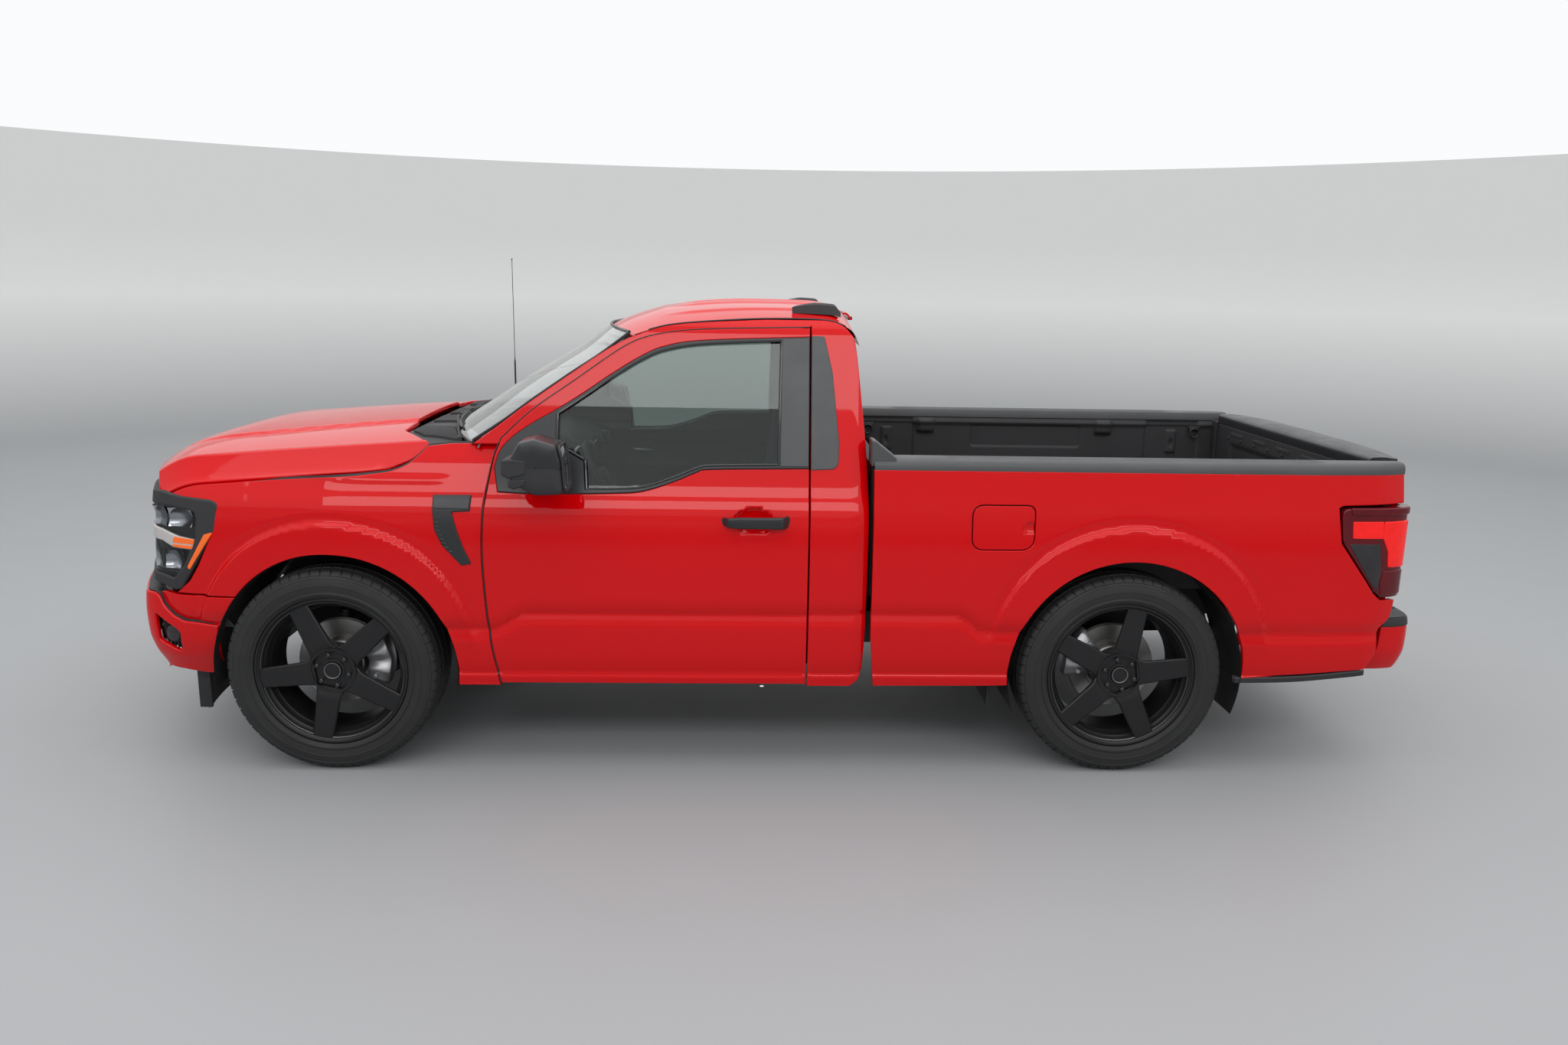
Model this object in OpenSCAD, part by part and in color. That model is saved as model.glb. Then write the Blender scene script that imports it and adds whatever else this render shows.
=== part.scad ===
// Regular-cab pickup truck, short bed, lowered, on five-spoke wheels.
// +X points forward, +Y to the left-hand side, +Z up. The origin is on the
// ground under the middle of the vehicle's length.

/* [Overall] */
// Distance between the front and rear axles
wheelbase = 3119; // [2950:10:3750]
// Front bumper's foremost point ahead of the front axle
front_overhang = 955; // [900:5:1000]
// Rear bumper's rearmost point behind the rear axle
rear_overhang = 1237; // [1150:5:1300]
// Width over the wheel arch flares
body_width = 2030; // [1850:10:2440]
// Height of the roof's crown above the ground
roof_height = 1845; // [1780:5:2000]
// Height of the body's bottom edge above the ground
sill_height = 362; // [330:2:380]

/* [Wheels] */
// Outer radius of a tyre
tyre_radius = 410; // [380:1:430]
// Width of a tyre
tyre_width = 285; // [225:5:305]
// Radius of the rim's outer lip
rim_radius = 297; // [230:1:310]
// How far a tyre's outer wall stands inside the arch flare
tyre_inset = 15; // [5:1:60]
// Radius of the wheel arch's lip
arch_radius = 474; // [468:1:480]
// Angle that a front wheel steers to each side
steer_angle = 32; // [20:1:32]
// Radius of a brake disc
disc_radius = 175; // [140:1:190]
// Radius of the spindle in a wheel's hub
spindle_radius = 32; // [20:1:38]
// Radial running clearance of every spindle and kingpin
running_clearance = 0.05; // [0.02:0.01:0.1]
// Radius of the steering kingpin
kingpin_radius = 14; // [10:1:18]

/* [Cab] */
// Door's foremost edge behind the front axle
door_front = 606; // [600:1:620]
// Length of a door
door_length = 1249; // [1150:1:1300]
// Cab's rear face behind a door's rear edge
quarter_length = 236; // [200:1:300]
// Height of the window sill's lowest line
belt_height = 1126; // [1100:1:1150]
// Gap around a door, the hood and other moving panels
panel_gap = 6; // [5:0.5:8]
// Thickness of a door below the window
door_thickness = 100; // [70:1:125]
// Thickness of a door's window frame and of the pillars
frame_thickness = 42; // [30:1:55]
// Thickness of a front fender
fender_thickness = 14; // [8:1:16]
// Thickness of the window glass
glass_thickness = 5; // [4:0.5:8]
// Thickness of the roof and the hood with their stiffeners
lid_thickness = 20; // [12:1:24]
// Opening angle of a door
door_angle = 65; // [45:1:70]
// Opening angle of the hood
hood_angle = 48; // [30:1:55]

/* [Load bed] */
// Height of the bed rails above the ground
rail_height = 1273; // [1200:1:1330]
// Depth of the bed from its rails to its floor
bed_depth = 544; // [480:1:560]
// Width of the bed between its side walls
bed_inner_width = 1656; // [1500:2:1660]
// Width of the bed between its wheelhouses
wheelhouse_gap = 1285; // [1100:1:1290]
// Gap between the cab and the bed
cab_bed_gap = 14; // [8:1:40]
// Thickness of the bed's inner walls
bed_wall = 40; // [20:1:45]
// Width of the tailgate
gate_width = 1532; // [1400:2:1540]
// Thickness of the tailgate
gate_thickness = 66; // [50:1:80]
// Opening angle of the tailgate
gate_angle = 90; // [60:1:90]

/* [Chassis] */
// Distance between the frame rails' centre lines
rail_spacing = 860; // [780:5:880]
// Height of a frame rail's section
frame_depth = 140; // [100:5:160]
// Width of a frame rail's section
frame_rail_width = 70; // [50:5:90]
// Inner width of the square receiver tube
receiver_bore = 51; // [38:1:64]
// Wall of the receiver tube
receiver_wall = 6; // [4:0.5:8]
// Radius of the receiver's cross-pin hole
hitch_pin_radius = 8; // [5:0.5:10]
// Distance between the rear plate's two fixing holes
plate_hole_spacing = 178; // [150:1:200]
// Radius of a plate fixing hole
plate_hole_radius = 3.5; // [2:0.5:5]

/* [Hidden] */

// Stations along the length
overall_length = wheelbase + front_overhang + rear_overhang;
fx = overall_length / 2 - front_overhang;
rx = fx - wheelbase;
nose_x = fx + front_overhang;
tail_x = rx - rear_overhang;
door_x0 = fx - door_front;
door_x1 = door_x0 - door_length;
cab_x1 = door_x1 - quarter_length;
bed_x0 = cab_x1 - cab_bed_gap;
bed_x1 = tail_x + 138;

// Widths, heights and other values that several pieces share
half_w = body_width / 2;
tyre_y = half_w - tyre_inset - tyre_width / 2;
kingpin_y = tyre_y - 70;
disc_r = min(disc_radius, rim_radius - 122);
axle_z = tyre_radius;
bed_floor_z = rail_height - bed_depth;
bed_half = bed_inner_width / 2;
eye_radius = kingpin_radius + running_clearance;
nominal_roof = 1845;
nominal_belt = 1126;

// Height in the greenhouse, which stretches between the belt and the roof
function gz(z) = z <= nominal_belt ? z + belt_height - nominal_belt
    : belt_height + (z - nominal_belt) * (roof_height - belt_height) / (nominal_roof - nominal_belt);

// Inset of the body side from the flare's outermost line, by height
LOWER_SIDE = [[sill_height, 46], [402, 34], [412, 39], [600, 18], [655, 29], [700, 17], [760, 14], [900, 15],
    [1000, 22], [1080, 40], [1126, 60]];
CAB_SIDE = concat(LOWER_SIDE, [[gz(1150), 69], [gz(1200), 84], [gz(1300), 110], [gz(1400), 136],
    [gz(1500), 163], [gz(1600), 191], [gz(1700), 221], [gz(1757), 242], [gz(1795), 275]]);
FENDER_SIDE = concat(LOWER_SIDE, [[1180, 84], [1240, 110], [1310, 150]]);
BED_SIDE = [[sill_height, 46], [402, 34], [412, 39], [600, 18], [655, 29], [700, 17], [760, 14], [900, 15],
    [1050, 25], [1150, 38], [rail_height - 38, 50]];

// Polygon points of a wall: its outer line, and that line moved in by t
function wall(side, out, t) = concat(
    [for (p = side) [half_w - p[1] - out, p[0]]],
    [for (i = [len(side) - 1:-1:0]) [half_w - side[i][1] - out - t, side[i][0]]]);

// Wall along X on the left, t thick, its skin moved in by out
module side_wall(side, out, t, x0, x1) {
    translate([x0, 0, 0]) rotate([90, 0, 90]) linear_extrude(x1 - x0) polygon(wall(side, out, t));
}

// Solid between the centre line and the left body side
module side_solid(side, inset, x0, x1) {
    points = concat([[0, side[0][0]]], [for (p = side) [half_w - p[1] - inset, p[0]]],
        [[0, side[len(side) - 1][0]]]);
    translate([x0, 0, 0]) rotate([90, 0, 90]) linear_extrude(x1 - x0) polygon(points);
}

// Side-view outline extruded from y0 to y1
module side_cut(points, y0, y1) {
    translate([0, y1, 0]) rotate([90, 0, 0]) linear_extrude(y1 - y0) polygon(points);
}

// Cylinder along Y
module y_cylinder(r, x, z, y0, y1) {
    translate([x, y1, z]) rotate([90, 0, 0]) cylinder(r = r, h = y1 - y0, $fn = 96);
}

// Block between two corners
module block(a, b) {
    translate(a) cube(b - a);
}

// Outline moved out by d along its own normals; its points run anticlockwise
function grown(points, d) = [for (i = [0:len(points) - 1]) let (
    p = points[i],
    a = p - points[(i + len(points) - 1) % len(points)],
    b = points[(i + 1) % len(points)] - p,
    na = [a[1], -a[0]] / norm(a),
    nb = [b[1], -b[0]] / norm(b)
) p + (na + nb) * d / (1 + na * nb)];

// The same piece on the left and, mirrored, on the right
module both_sides() {
    children();
    mirror([0, 1, 0]) children();
}

// Side-view points given from an axle: forward and up
function at_x(x, points) = [for (p = points) [x + p[0], p[1]]];

// Closed polyhedron between a grid of top points and the same grid of bottom points
module grid_solid(top, bottom) {
    nu = len(top);
    nv = len(top[0]);
    n = nu * nv;
    points = concat([for (r = top) each r], [for (r = bottom) each r]);
    function id(i, j) = i * nv + j;
    faces_top = [for (i = [0:nu - 2], j = [0:nv - 2])
        each [[id(i, j), id(i, j + 1), id(i + 1, j + 1)], [id(i, j), id(i + 1, j + 1), id(i + 1, j)]]];
    faces_bottom = [for (f = faces_top) [n + f[0], n + f[2], n + f[1]]];
    rim = concat([for (i = [0:nu - 2]) [id(i, 0), id(i + 1, 0)]],
        [for (j = [0:nv - 2]) [id(nu - 1, j), id(nu - 1, j + 1)]],
        [for (i = [nu - 1:-1:1]) [id(i, nv - 1), id(i - 1, nv - 1)]],
        [for (j = [nv - 1:-1:1]) [id(0, j), id(0, j - 1)]]);
    faces_rim = [for (e = rim) each [[e[0], e[1], n + e[1]], [e[0], n + e[1], n + e[0]]]];
    polyhedron(points, concat(faces_top, faces_bottom, faces_rim));
}

// ---------------------------------------------------------------- outlines

// Nose of the body in plan: distance ahead of the front axle, by distance from
// the flare's outermost line
NOSE = [[half_w, 905], [half_w - 300, 885], [half_w - 500, 843], [365, 793], [265, 752],
    [195, 720], [145, 695], [110, 640], [85, 560], [70, 440], [60, 300], [50, 120], [14, -60]];

// Plan of the left half of the nose, moved in by inset
module nose_plan(inset, z0, z1) {
    points = concat([[fx - 900, 0]], [for (p = NOSE) [fx + p[1] - inset, p[0] == half_w ? 0 : half_w - p[0] - inset]],
        [[fx - 900, half_w - 14 - inset]]);
    translate([0, 0, z0]) linear_extrude(z1 - z0) polygon(points);
}

// Door outline in side view
DOOR_EDGE = [[door_x0 - 51, sill_height + 4], [door_x0 - 19, 562], [door_x0, 839], [door_x0 - 3, 1019],
    [door_x0 - 16, belt_height + 12], [door_x0 - 39, gz(1256)], [door_x0 - 66, gz(1325)],
    [door_x0 - 182, gz(1432)], [door_x0 - 333, gz(1538)], [door_x0 - 483, gz(1644)],
    [door_x0 - 572, gz(1696)], [door_x0 - 661, gz(1723)], [door_x0 - 779, gz(1740)],
    [door_x0 - 957, gz(1749)], [door_x1, gz(1757)], [door_x1, sill_height + 4]];

// Daylight opening of the door window
WINDOW_EDGE = [[door_x0 - 290, belt_height + 24], [door_x0 - 290, gz(1404)], [door_x0 - 365, gz(1460)],
    [door_x0 - 484, gz(1540)], [door_x0 - 603, gz(1612)], [door_x0 - 692, gz(1648)],
    [door_x0 - 839, gz(1668)], [door_x1 + 118, gz(1680)], [door_x1 + 118, belt_height + 114],
    [door_x0 - 874, belt_height + 114], [door_x0 - 816, belt_height + 103],
    [door_x0 - 728, belt_height + 66], [door_x0 - 610, belt_height + 28]];

// Outer line of the cab in side view, without the fender ahead of the door
CAB_EDGE = [[door_x0 - 20, sill_height - 6], [door_x0 + 40, sill_height + 60], [door_x0 + 80, 900],
    [door_x0 + 110, gz(1285)], [door_x0 + 66, gz(1288)], [door_x0 - 51, gz(1373)], [door_x0 - 174, gz(1466)],
    [door_x0 - 357, gz(1594)], [door_x0 - 478, gz(1674)], [door_x0 - 568, gz(1719)],
    [door_x0 - 687, gz(1757)], [door_x0 - 836, gz(1774)], [door_x0 - 1076, gz(1787)],
    [cab_x1 + 140, gz(1790)], [cab_x1 + 79, gz(1748)], [cab_x1 + 53, gz(1694)],
    [cab_x1 + 30, gz(1475)], [cab_x1 + 9, gz(1269)], [cab_x1, 1089], [cab_x1, 844],
    [cab_x1 + 3, 656], [cab_x1 + 20, sill_height], [cab_x1 + 60, sill_height - 6]];

// Hood's centre line, measured from the front axle, and its half-width
HOOD_MID = [[-380, 1336], [-190, 1323], [108, 1301], [405, 1276], [583, 1260], [750, 1222], [850, 1187], [908, 1150]];
hood_side = half_w - 131;
hood_rear_side = half_w - 205;
function nose_x_at(y) = lookup(half_w - abs(y), NOSE_BY_INSET);
NOSE_BY_INSET = [for (i = [len(NOSE) - 1:-1:0]) NOSE[i]];
function hood_drop(y) = let (a = abs(y), crease = half_w - 215) 40 * pow(min(a, crease) / crease, 2.5)
    + max(a - crease, 0) * 1.08;
function hood_rear(v) = let (a = abs(v)) a < 0.7 ? -203 - 12 * a : -211 - (a - 0.7) / 0.3 * 160;
function hood_half(x) = lookup(x, [[-372, hood_rear_side], [-300, hood_side - 30], [-180, hood_side - 6],
    [-100, hood_side], [1000, hood_side]]);
function hood_z(x, y) = lookup(x, HOOD_MID) - hood_drop(y);

// Headlight outline in side view
LAMP_EDGE = at_x(fx, [[1000, 1098], [647, 1096], [558, 1068], [463, 1060], [434, 1027], [440, 960],
    [507, 822], [547, 760], [596, 713], [654, 719], [1000, 735]]);

// Line between the fender and the bumper in side view
BUMPER_EDGE = at_x(fx, [[1000, 697], [715, 697], [690, 651], [636, 595], [579, 564], [464, 558],
    [501, 336], [525, 329], [655, 372], [1000, 400]]);

// ---------------------------------------------------------------- chassis

// Ladder frame: two rails with a kick-up over the rear axle, joined by cross tubes
module frame_rails() {
    low = 380;
    high = 520;
    bottom = [[fx + 780, low + 60], [fx - 250, low + 60], [fx - 500, low],
        [rx + 800, low], [rx + 480, high], [rx - 1010, high]];
    top = [for (i = [len(bottom) - 1:-1:0]) [bottom[i][0], bottom[i][1] + frame_depth]];
    rail_y = rail_spacing / 2;
    color("black") union() {
        for (s = [-1, 1])
            side_cut(concat(bottom, top), s * rail_y - frame_rail_width / 2, s * rail_y + frame_rail_width / 2);
        y_cylinder(32, fx + 700, low + 130, -rail_y, rail_y);
        y_cylinder(24, fx - 1250, low + 16, -rail_y, rail_y);
        y_cylinder(32, rx + 515, high + 50, -rail_y, rail_y);
        y_cylinder(32, rx - 560, high + 60, -rail_y, rail_y);
        y_cylinder(32, rx - 960, high + 60, -rail_y, rail_y);
        receiver();
    }
}

receiver_z = 445;
receiver_x0 = tail_x + 62;
pin_x = receiver_x0 + 60;
// Square receiver tube on two hangers, with its cross-pin hole
module receiver() {
    outer = receiver_bore / 2 + receiver_wall;
    inner = receiver_bore / 2;
    difference() {
        union() {
            block([receiver_x0, -outer, receiver_z - outer], [rx - 900, outer, receiver_z + outer]);
            for (s = [-1, 1]) block([rx - 985, s * outer - 6, receiver_z], [rx - 935, s * outer + 6, 575]);
        }
        block([receiver_x0 - 1, -inner, receiver_z - inner], [rx - 899, inner, receiver_z + inner]);
        y_cylinder(hitch_pin_radius, pin_x, receiver_z, -outer - 1, outer + 1);
    }
}

// Engine as one plain block with its sump
module engine_block() {
    color("gray") union() {
        block([fx - 420, -260, 560], [fx + 260, 260, 960]);
        block([fx - 360, -150, 450], [fx + 160, 150, 560]);
    }
}

gearbox_x = fx - 421;
// Gearbox and propeller shaft down to the rear axle
module driveline() {
    length = gearbox_x - 760 - (rx + 190);
    drop = 480 - axle_z;
    color("silver") union() {
        translate([gearbox_x - 560, 0, 480]) rotate([0, 90, 0]) cylinder(r1 = 80, r2 = 150, h = 560, $fn = 64);
        translate([gearbox_x - 760, 0, 480]) rotate([0, 90, 0]) cylinder(r = 70, h = 210, $fn = 64);
        translate([rx + 178, 0, axle_z]) rotate([0, 90 - atan(drop / length), 0])
            cylinder(r = 44, h = length + 40, $fn = 48);
    }
}

// Rear axle: tube, differential housing, brake backing plates and hub spindles
module rear_axle() {
    inner = tyre_y - tyre_width / 2 + 25;
    color("dimgray") union() {
        y_cylinder(42, rx, axle_z, -inner, inner);
        translate([rx, 0, axle_z]) sphere(r = 150, $fn = 64);
        translate([rx, 0, axle_z]) rotate([0, 90, 0]) cylinder(r = 60, h = 171, $fn = 48);
        both_sides() {
            y_cylinder(150, rx, axle_z, inner - 12, inner);
            y_cylinder(spindle_radius, rx, axle_z, inner, tyre_y + 70);
            block([rx - 60, 470, axle_z - 30], [rx + 60, 560, axle_z + 50]);
        }
    }
}

spring_y = 515;
// Leaf springs on the axle's pads, with their hangers on the frame rails
module leaf_springs() {
    color("dimgray") both_sides() union() {
        for (leaf = [0:2])
            side_cut([[rx - 620 + leaf * 150, 472 + leaf * 8], [rx, 460.5 + leaf * 8],
                [rx + 640 - leaf * 150, 472 + leaf * 8], [rx + 640 - leaf * 150, 480 + leaf * 8],
                [rx, 468.5 + leaf * 8], [rx - 620 + leaf * 150, 480 + leaf * 8]], spring_y - 32, spring_y + 32);
        block([rx + 600, spring_y - 50, 440], [rx + 660, spring_y + 32, 500]);
        block([rx - 640, spring_y - 50, 470], [rx - 600, spring_y + 32, 560]);
    }
}

// Fuel tank between the propeller shaft and the left frame rail
module fuel_tank() {
    color("black") side_cut([[rx + 560, 470], [rx + 600, 390], [rx + 660, 350], [rx + 1440, 350],
        [rx + 1490, 390], [rx + 1490, 490], [rx + 1460, 515], [rx + 640, 515]], 90, 380);
}

// Silencer, pipe along the right-hand side and tail pipe behind the rear wheel
module exhaust() {
    y = -250;
    r = 32;
    color("silver") union() {
        translate([gearbox_x - 320, y, 470]) rotate([0, -90, 0]) cylinder(r = r, h = gearbox_x - 320 - rx - 1400, $fn = 48);
        translate([rx + 1410, y, 425]) rotate([0, -90, 0]) cylinder(r = 90, h = 620, $fn = 64);
        translate([rx + 800, y, 470]) rotate([0, -90, 0]) cylinder(r = r, h = 460, $fn = 48);
        translate([rx + 340, y, 470]) sphere(r = r, $fn = 48);
        y_cylinder(r, rx + 340, 470, y - 150, y);
    }
}

arm_low_z = 255;
arm_high_z = 575;
// One control arm: an A shape from two inner pivots to the kingpin's eye
module control_arm(z, thick, inner_y) {
    difference() {
        union() {
            translate([fx, kingpin_y, z]) cylinder(r = kingpin_radius + 12, h = thick, $fn = 64);
            for (s = [-1, 1])
                translate([0, 0, z]) linear_extrude(thick) polygon([[fx + s * 150, inner_y],
                    [fx + s * 150, inner_y + 50], [fx + s * 12, kingpin_y], [fx - s * 18, kingpin_y - 6],
                    [fx + s * 95, inner_y]]);
        }
        translate([fx, kingpin_y, z - 1]) cylinder(r = eye_radius, h = thick + 2, $fn = 64);
    }
}

// Front crossmember with the control arms that hold both kingpins
module front_suspension() {
    color("dimgray") union() {
        block([fx - 150, -500, 270], [fx + 150, 500, 330]);
        both_sides() {
            control_arm(arm_low_z, 30, 380);
            control_arm(arm_high_z, 24, 470);
            for (s = [-1, 1]) block([fx + s * 122 - 28, 469, 300], [fx + s * 122 + 28, 500, arm_high_z + 24]);
        }
    }
}

// ---------------------------------------------------------------- wheels

// Tyre with rounded shoulders, centred on the wheel's middle plane
module tyre() {
    w = tyre_width / 2;
    bead = rim_radius - 13.7;
    color([0.06, 0.06, 0.06]) rotate([90, 0, 0]) rotate_extrude($fn = 120) difference() {
        polygon([[bead, -w + 30], [rim_radius + 2, -w + 30], [rim_radius + 2, -w + 8], [bead + 60, -w], [tyre_radius - 45, -w + 3],
            [tyre_radius - 16, -w + 13], [tyre_radius - 4, -w + 30], [tyre_radius, -w + 55],
            [tyre_radius, w - 55], [tyre_radius - 4, w - 30], [tyre_radius - 16, w - 13],
            [tyre_radius - 45, w - 3], [bead + 60, w], [rim_radius + 2, w - 8], [rim_radius + 2, w - 30], [bead, w - 30]]);
        translate([bead - 1, -w + 46]) square([60, tyre_width - 92]);
    }
}

spoke_count = 5;
// Alloy wheel with its brake disc: barrel, five flat spokes, hub and lug circle
module rim(turn) {
    w = tyre_width / 2;
    lip = w - 8;
    barrel = rim_radius - 14;
    face = w - 18;
    color([0.12, 0.12, 0.13]) difference() {
        union() {
            rotate([90, 0, 0]) rotate_extrude($fn = 120) {
                polygon([[barrel - 12, -lip], [rim_radius, -lip], [rim_radius, -lip + 8], [barrel, -w + 22],
                    [barrel, -w + 50], [barrel - 26, -w + 70], [barrel - 26, w - 60], [barrel, w - 44],
                    [barrel, w - 22], [rim_radius, lip - 8], [rim_radius, lip], [rim_radius - 10, lip],
                    [barrel - 16, w - 34], [barrel - 38, w - 60], [barrel - 38, -w + 66], [barrel - 12, -w + 46]]);
            }
            for (i = [0:spoke_count - 1])
                rotate([0, turn + i * 360 / spoke_count, 0]) hull() {
                    translate([-45, face - 44, 64]) cube([90, 40, 16]);
                    translate([-41, face - 26, barrel - 34]) cube([82, 24, 25]);
                }
            rotate([-90, 0, 0]) translate([0, 0, face - 62]) cylinder(r = 88, h = 62, $fn = 96);
            rotate([-90, 0, 0]) translate([0, 0, -36]) cylinder(r = 70, h = face - 10, $fn = 96);
            rotate([-90, 0, 0]) translate([0, 0, -36]) cylinder(r = disc_r, h = 28, $fn = 96);
        }
        rotate([-90, 0, 0]) translate([0, 0, -w]) cylinder(r = spindle_radius + running_clearance,
            h = w + 80, $fn = 96);
    }
}

// Steering knuckle: upright, kingpin, spindle, steering arm and brake caliper
module knuckle() {
    upright_y = tyre_y - 42;
    color("gray") difference() {
        union() {
            translate([fx, kingpin_y, arm_low_z - 12]) cylinder(r = kingpin_radius,
                h = arm_high_z - arm_low_z + 44, $fn = 64);
            block([fx - 32, kingpin_y - 40, arm_low_z + 36], [fx + 32, kingpin_y + 14, arm_high_z - 6]);
            y_cylinder(70, fx, axle_z, kingpin_y - 30, upright_y);
            y_cylinder(spindle_radius, fx, axle_z, upright_y, tyre_y + 70);
            block([fx - 150, kingpin_y - 34, axle_z - 70], [fx, kingpin_y - 12, axle_z - 30]);
            caliper();
        }
    }
}

// Brake caliper astride the disc, behind the spindle
module caliper() {
    disc_y = tyre_y - 22;
    difference() {
        union() {
            block([fx - disc_r - 42, disc_y - 52, axle_z - 75], [fx - disc_r + 45, disc_y + 48, axle_z + 75]);
            block([fx - disc_r + 20, disc_y - 52, axle_z - 40], [fx - 40, disc_y - 30, axle_z + 40]);
        }
        y_cylinder(disc_r + 5, fx, axle_z, disc_y - 20, disc_y + 20);
    }
}

// ---------------------------------------------------------------- cab

// Floor pan with its tunnel, sills and the firewall
module cab_floor() {
    x0 = door_x0 + 30;
    inner = half_w - 190;
    tunnel = 172;
    tunnel_x = door_x1 + 640;
    color("dimgray") difference() {
        union() {
            block([cab_x1 + 50, -inner, 525], [x0 + 60, inner, 550]);
            block([x0 + 30, -inner + 40, 525], [x0 + 60, inner - 40, 1180]);
            both_sides() block([cab_x1 + 50, inner - 70, 400], [x0 + 60, inner, 540]);
            block([tunnel_x, -tunnel, 540], [x0 + 40, tunnel, 655]);
        }
        translate([tunnel_x + 15, 0, 480]) rotate([0, 90, 0]) cylinder(r = 158, h = 1200, $fn = 64);
    }
}

// Cab's side frame: windshield pillar, roof rail, quarter panel and hinge pillar
module cab_sides() {
    inner = half_w - 190;
    jamb_x = door_x1 - panel_gap - 24;
    opening = grown(DOOR_EDGE, panel_gap);
    color("red") both_sides() difference() {
        union() {
            difference() {
                intersection() {
                    side_wall(CAB_SIDE, 0, frame_thickness, cab_x1, fx - 480);
                    side_cut(CAB_EDGE, 0, half_w);
                }
                block([door_x0 - 60, 0, 0], [fx, half_w, gz(1304)]);
                intersection() {
                    side_cut(opening, 0, half_w);
                    block([door_x1 - panel_gap, 0, 1080], [fx, half_w, roof_height]);
                }
            }
            block([cab_x1 + 60, inner, 420], [jamb_x, half_w - 75, 1080]);
            block([door_x0 + 12, inner, 552], [door_x0 + 40, inner + 22, gz(1309)]);
            block([door_x0 + 12, inner, gz(1303)], [door_x0 + 40, half_w - 125, gz(1309)]);
            block([cab_x1 + 60, inner, 420], [door_x0 + 40, inner + 20, 560]);
        }
        side_cut(opening, inner + 28, half_w);
        block([door_x1 - panel_gap, inner + 28, 0], [door_x0 + 10, half_w, sill_height + 20]);
    }
}

// Rear wall of the cab, with its window opening
module cab_back() {
    t = 40;
    outer = [[cab_x1 + 6, 526], [cab_x1 + 2, 844], [cab_x1 + 2, 1089], [cab_x1 + 11, gz(1269)],
        [cab_x1 + 32, gz(1475)], [cab_x1 + 54, gz(1664)]];
    inner = [for (i = [len(outer) - 1:-1:0]) outer[i] + [t, 0]];
    color("red") difference() {
        intersection() {
            side_cut(concat(inner, outer), -half_w, half_w);
            both_sides() side_solid(CAB_SIDE, frame_thickness, cab_x1 - 10, cab_x1 + 200);
        }
        block([cab_x1 - 20, -rear_window_half, gz(1300)], [cab_x1 + 200, rear_window_half, gz(1620)]);
    }
}

rear_window_half = half_w - 345;
shield_base_z = gz(1316);
shield_top_z = gz(1722);
// Windshield's centre line and how far its edges lie behind it, by height
SHIELD_X = [[gz(1312), -345], [gz(1377), -450], [gz(1480), -603], [gz(1562), -737], [gz(1644), -878],
    [gz(1728), -1020]];
SHIELD_BOW = [[gz(1312), 208], [gz(1480), 192], [gz(1600), 168], [gz(1728), 142]];
function shield_half(z) = half_w - lookup(z, CAB_SIDE) - frame_thickness - 4;
function shield_point(u, v, t) = let (z = shield_base_z + u * (shield_top_z - shield_base_z))
    [fx + lookup(z, SHIELD_X) - lookup(z, SHIELD_BOW) * v * v - t, v * shield_half(z), z - t * 0.8];

// Windshield and rear window
module cab_glass() {
    steps = 8;
    top = [for (u = [0:steps]) [for (v = [-steps:steps]) shield_point(u / steps, -v / steps, 0)]];
    bottom = [for (u = [0:steps]) [for (v = [-steps:steps]) shield_point(u / steps, -v / steps, glass_thickness)]];
    color([0.2, 0.25, 0.25, 0.5]) {
        grid_solid(top, bottom);
        side_cut([[cab_x1 + 26, gz(1300)], [cab_x1 + 26 + glass_thickness, gz(1300)],
            [cab_x1 + 62 + glass_thickness, gz(1620)], [cab_x1 + 62, gz(1620)]], -rear_window_half, rear_window_half);
    }
}

// Roof crown line and side line, measured from the front axle
ROOF_MID = [[-2060, gz(1693)], [-2045, gz(1765)], [-2020, gz(1806)], [-1985, gz(1828)], [-1902, gz(1842)], [-1554, gz(1845)],
    [-1277, gz(1822)], [-1208, gz(1808)], [-1104, gz(1775)], [-1020, gz(1738)]];
ROOF_SIDE = [[-2060, gz(1693)], [-2035, gz(1728)], [-1990, gz(1762)], [-1902, gz(1786)], [-1682, gz(1786)],
    [-1442, gz(1773)], [-1293, gz(1756)], [-1174, gz(1722)]];
function roof_half(x) = half_w - lookup(lookup(x, ROOF_SIDE), CAB_SIDE) - frame_thickness - 1;
function roof_z(x, v) = let (m = lookup(x, ROOF_MID), s = lookup(x, ROOF_SIDE)) s + (m - s) * (1 - pow(abs(v), 2.4));
function roof_point(u, v, t) = let (front = -1024 - 142 * v * v, x = front + u * (-2058 - front))
    [fx + x, v * roof_half(x), roof_z(x, v) - t];

// Roof panel with its headliner
module roof() {
    nu = 14;
    nv = 8;
    color("red") grid_solid([for (u = [0:nu]) [for (v = [-nv:nv]) roof_point(u / nu, -v / nv, 0)]],
        [for (u = [0:nu]) [for (v = [-nv:nv]) roof_point(u / nu, -v / nv, lid_thickness)]]);
}

cowl_half = half_w - 172;
// Cowl panel between the hood and the windshield
module cowl_panel() {
    front = [for (v = [0:0.1:1]) [fx + hood_rear(v) - panel_gap, v * hood_rear_side]];
    color([0.05, 0.05, 0.05]) intersection() {
        side_cut([[fx - 200, 1255], [fx - 200, 1268], [fx - 330, 1292], [fx - 372, 1290], [fx - 420, 1278],
            [fx - 560, 1268], [fx - 560, 1240], [fx - 400, 1240]], -cowl_half, cowl_half);
        linear_extrude(2000) polygon(concat(front, [[fx - 386, cowl_half], [fx - 560, cowl_half],
            [fx - 560, -cowl_half], [fx - 386, -cowl_half]], [for (i = [len(front) - 1:-1:1]) [front[i][0], -front[i][1]]]));
    }
}

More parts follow.
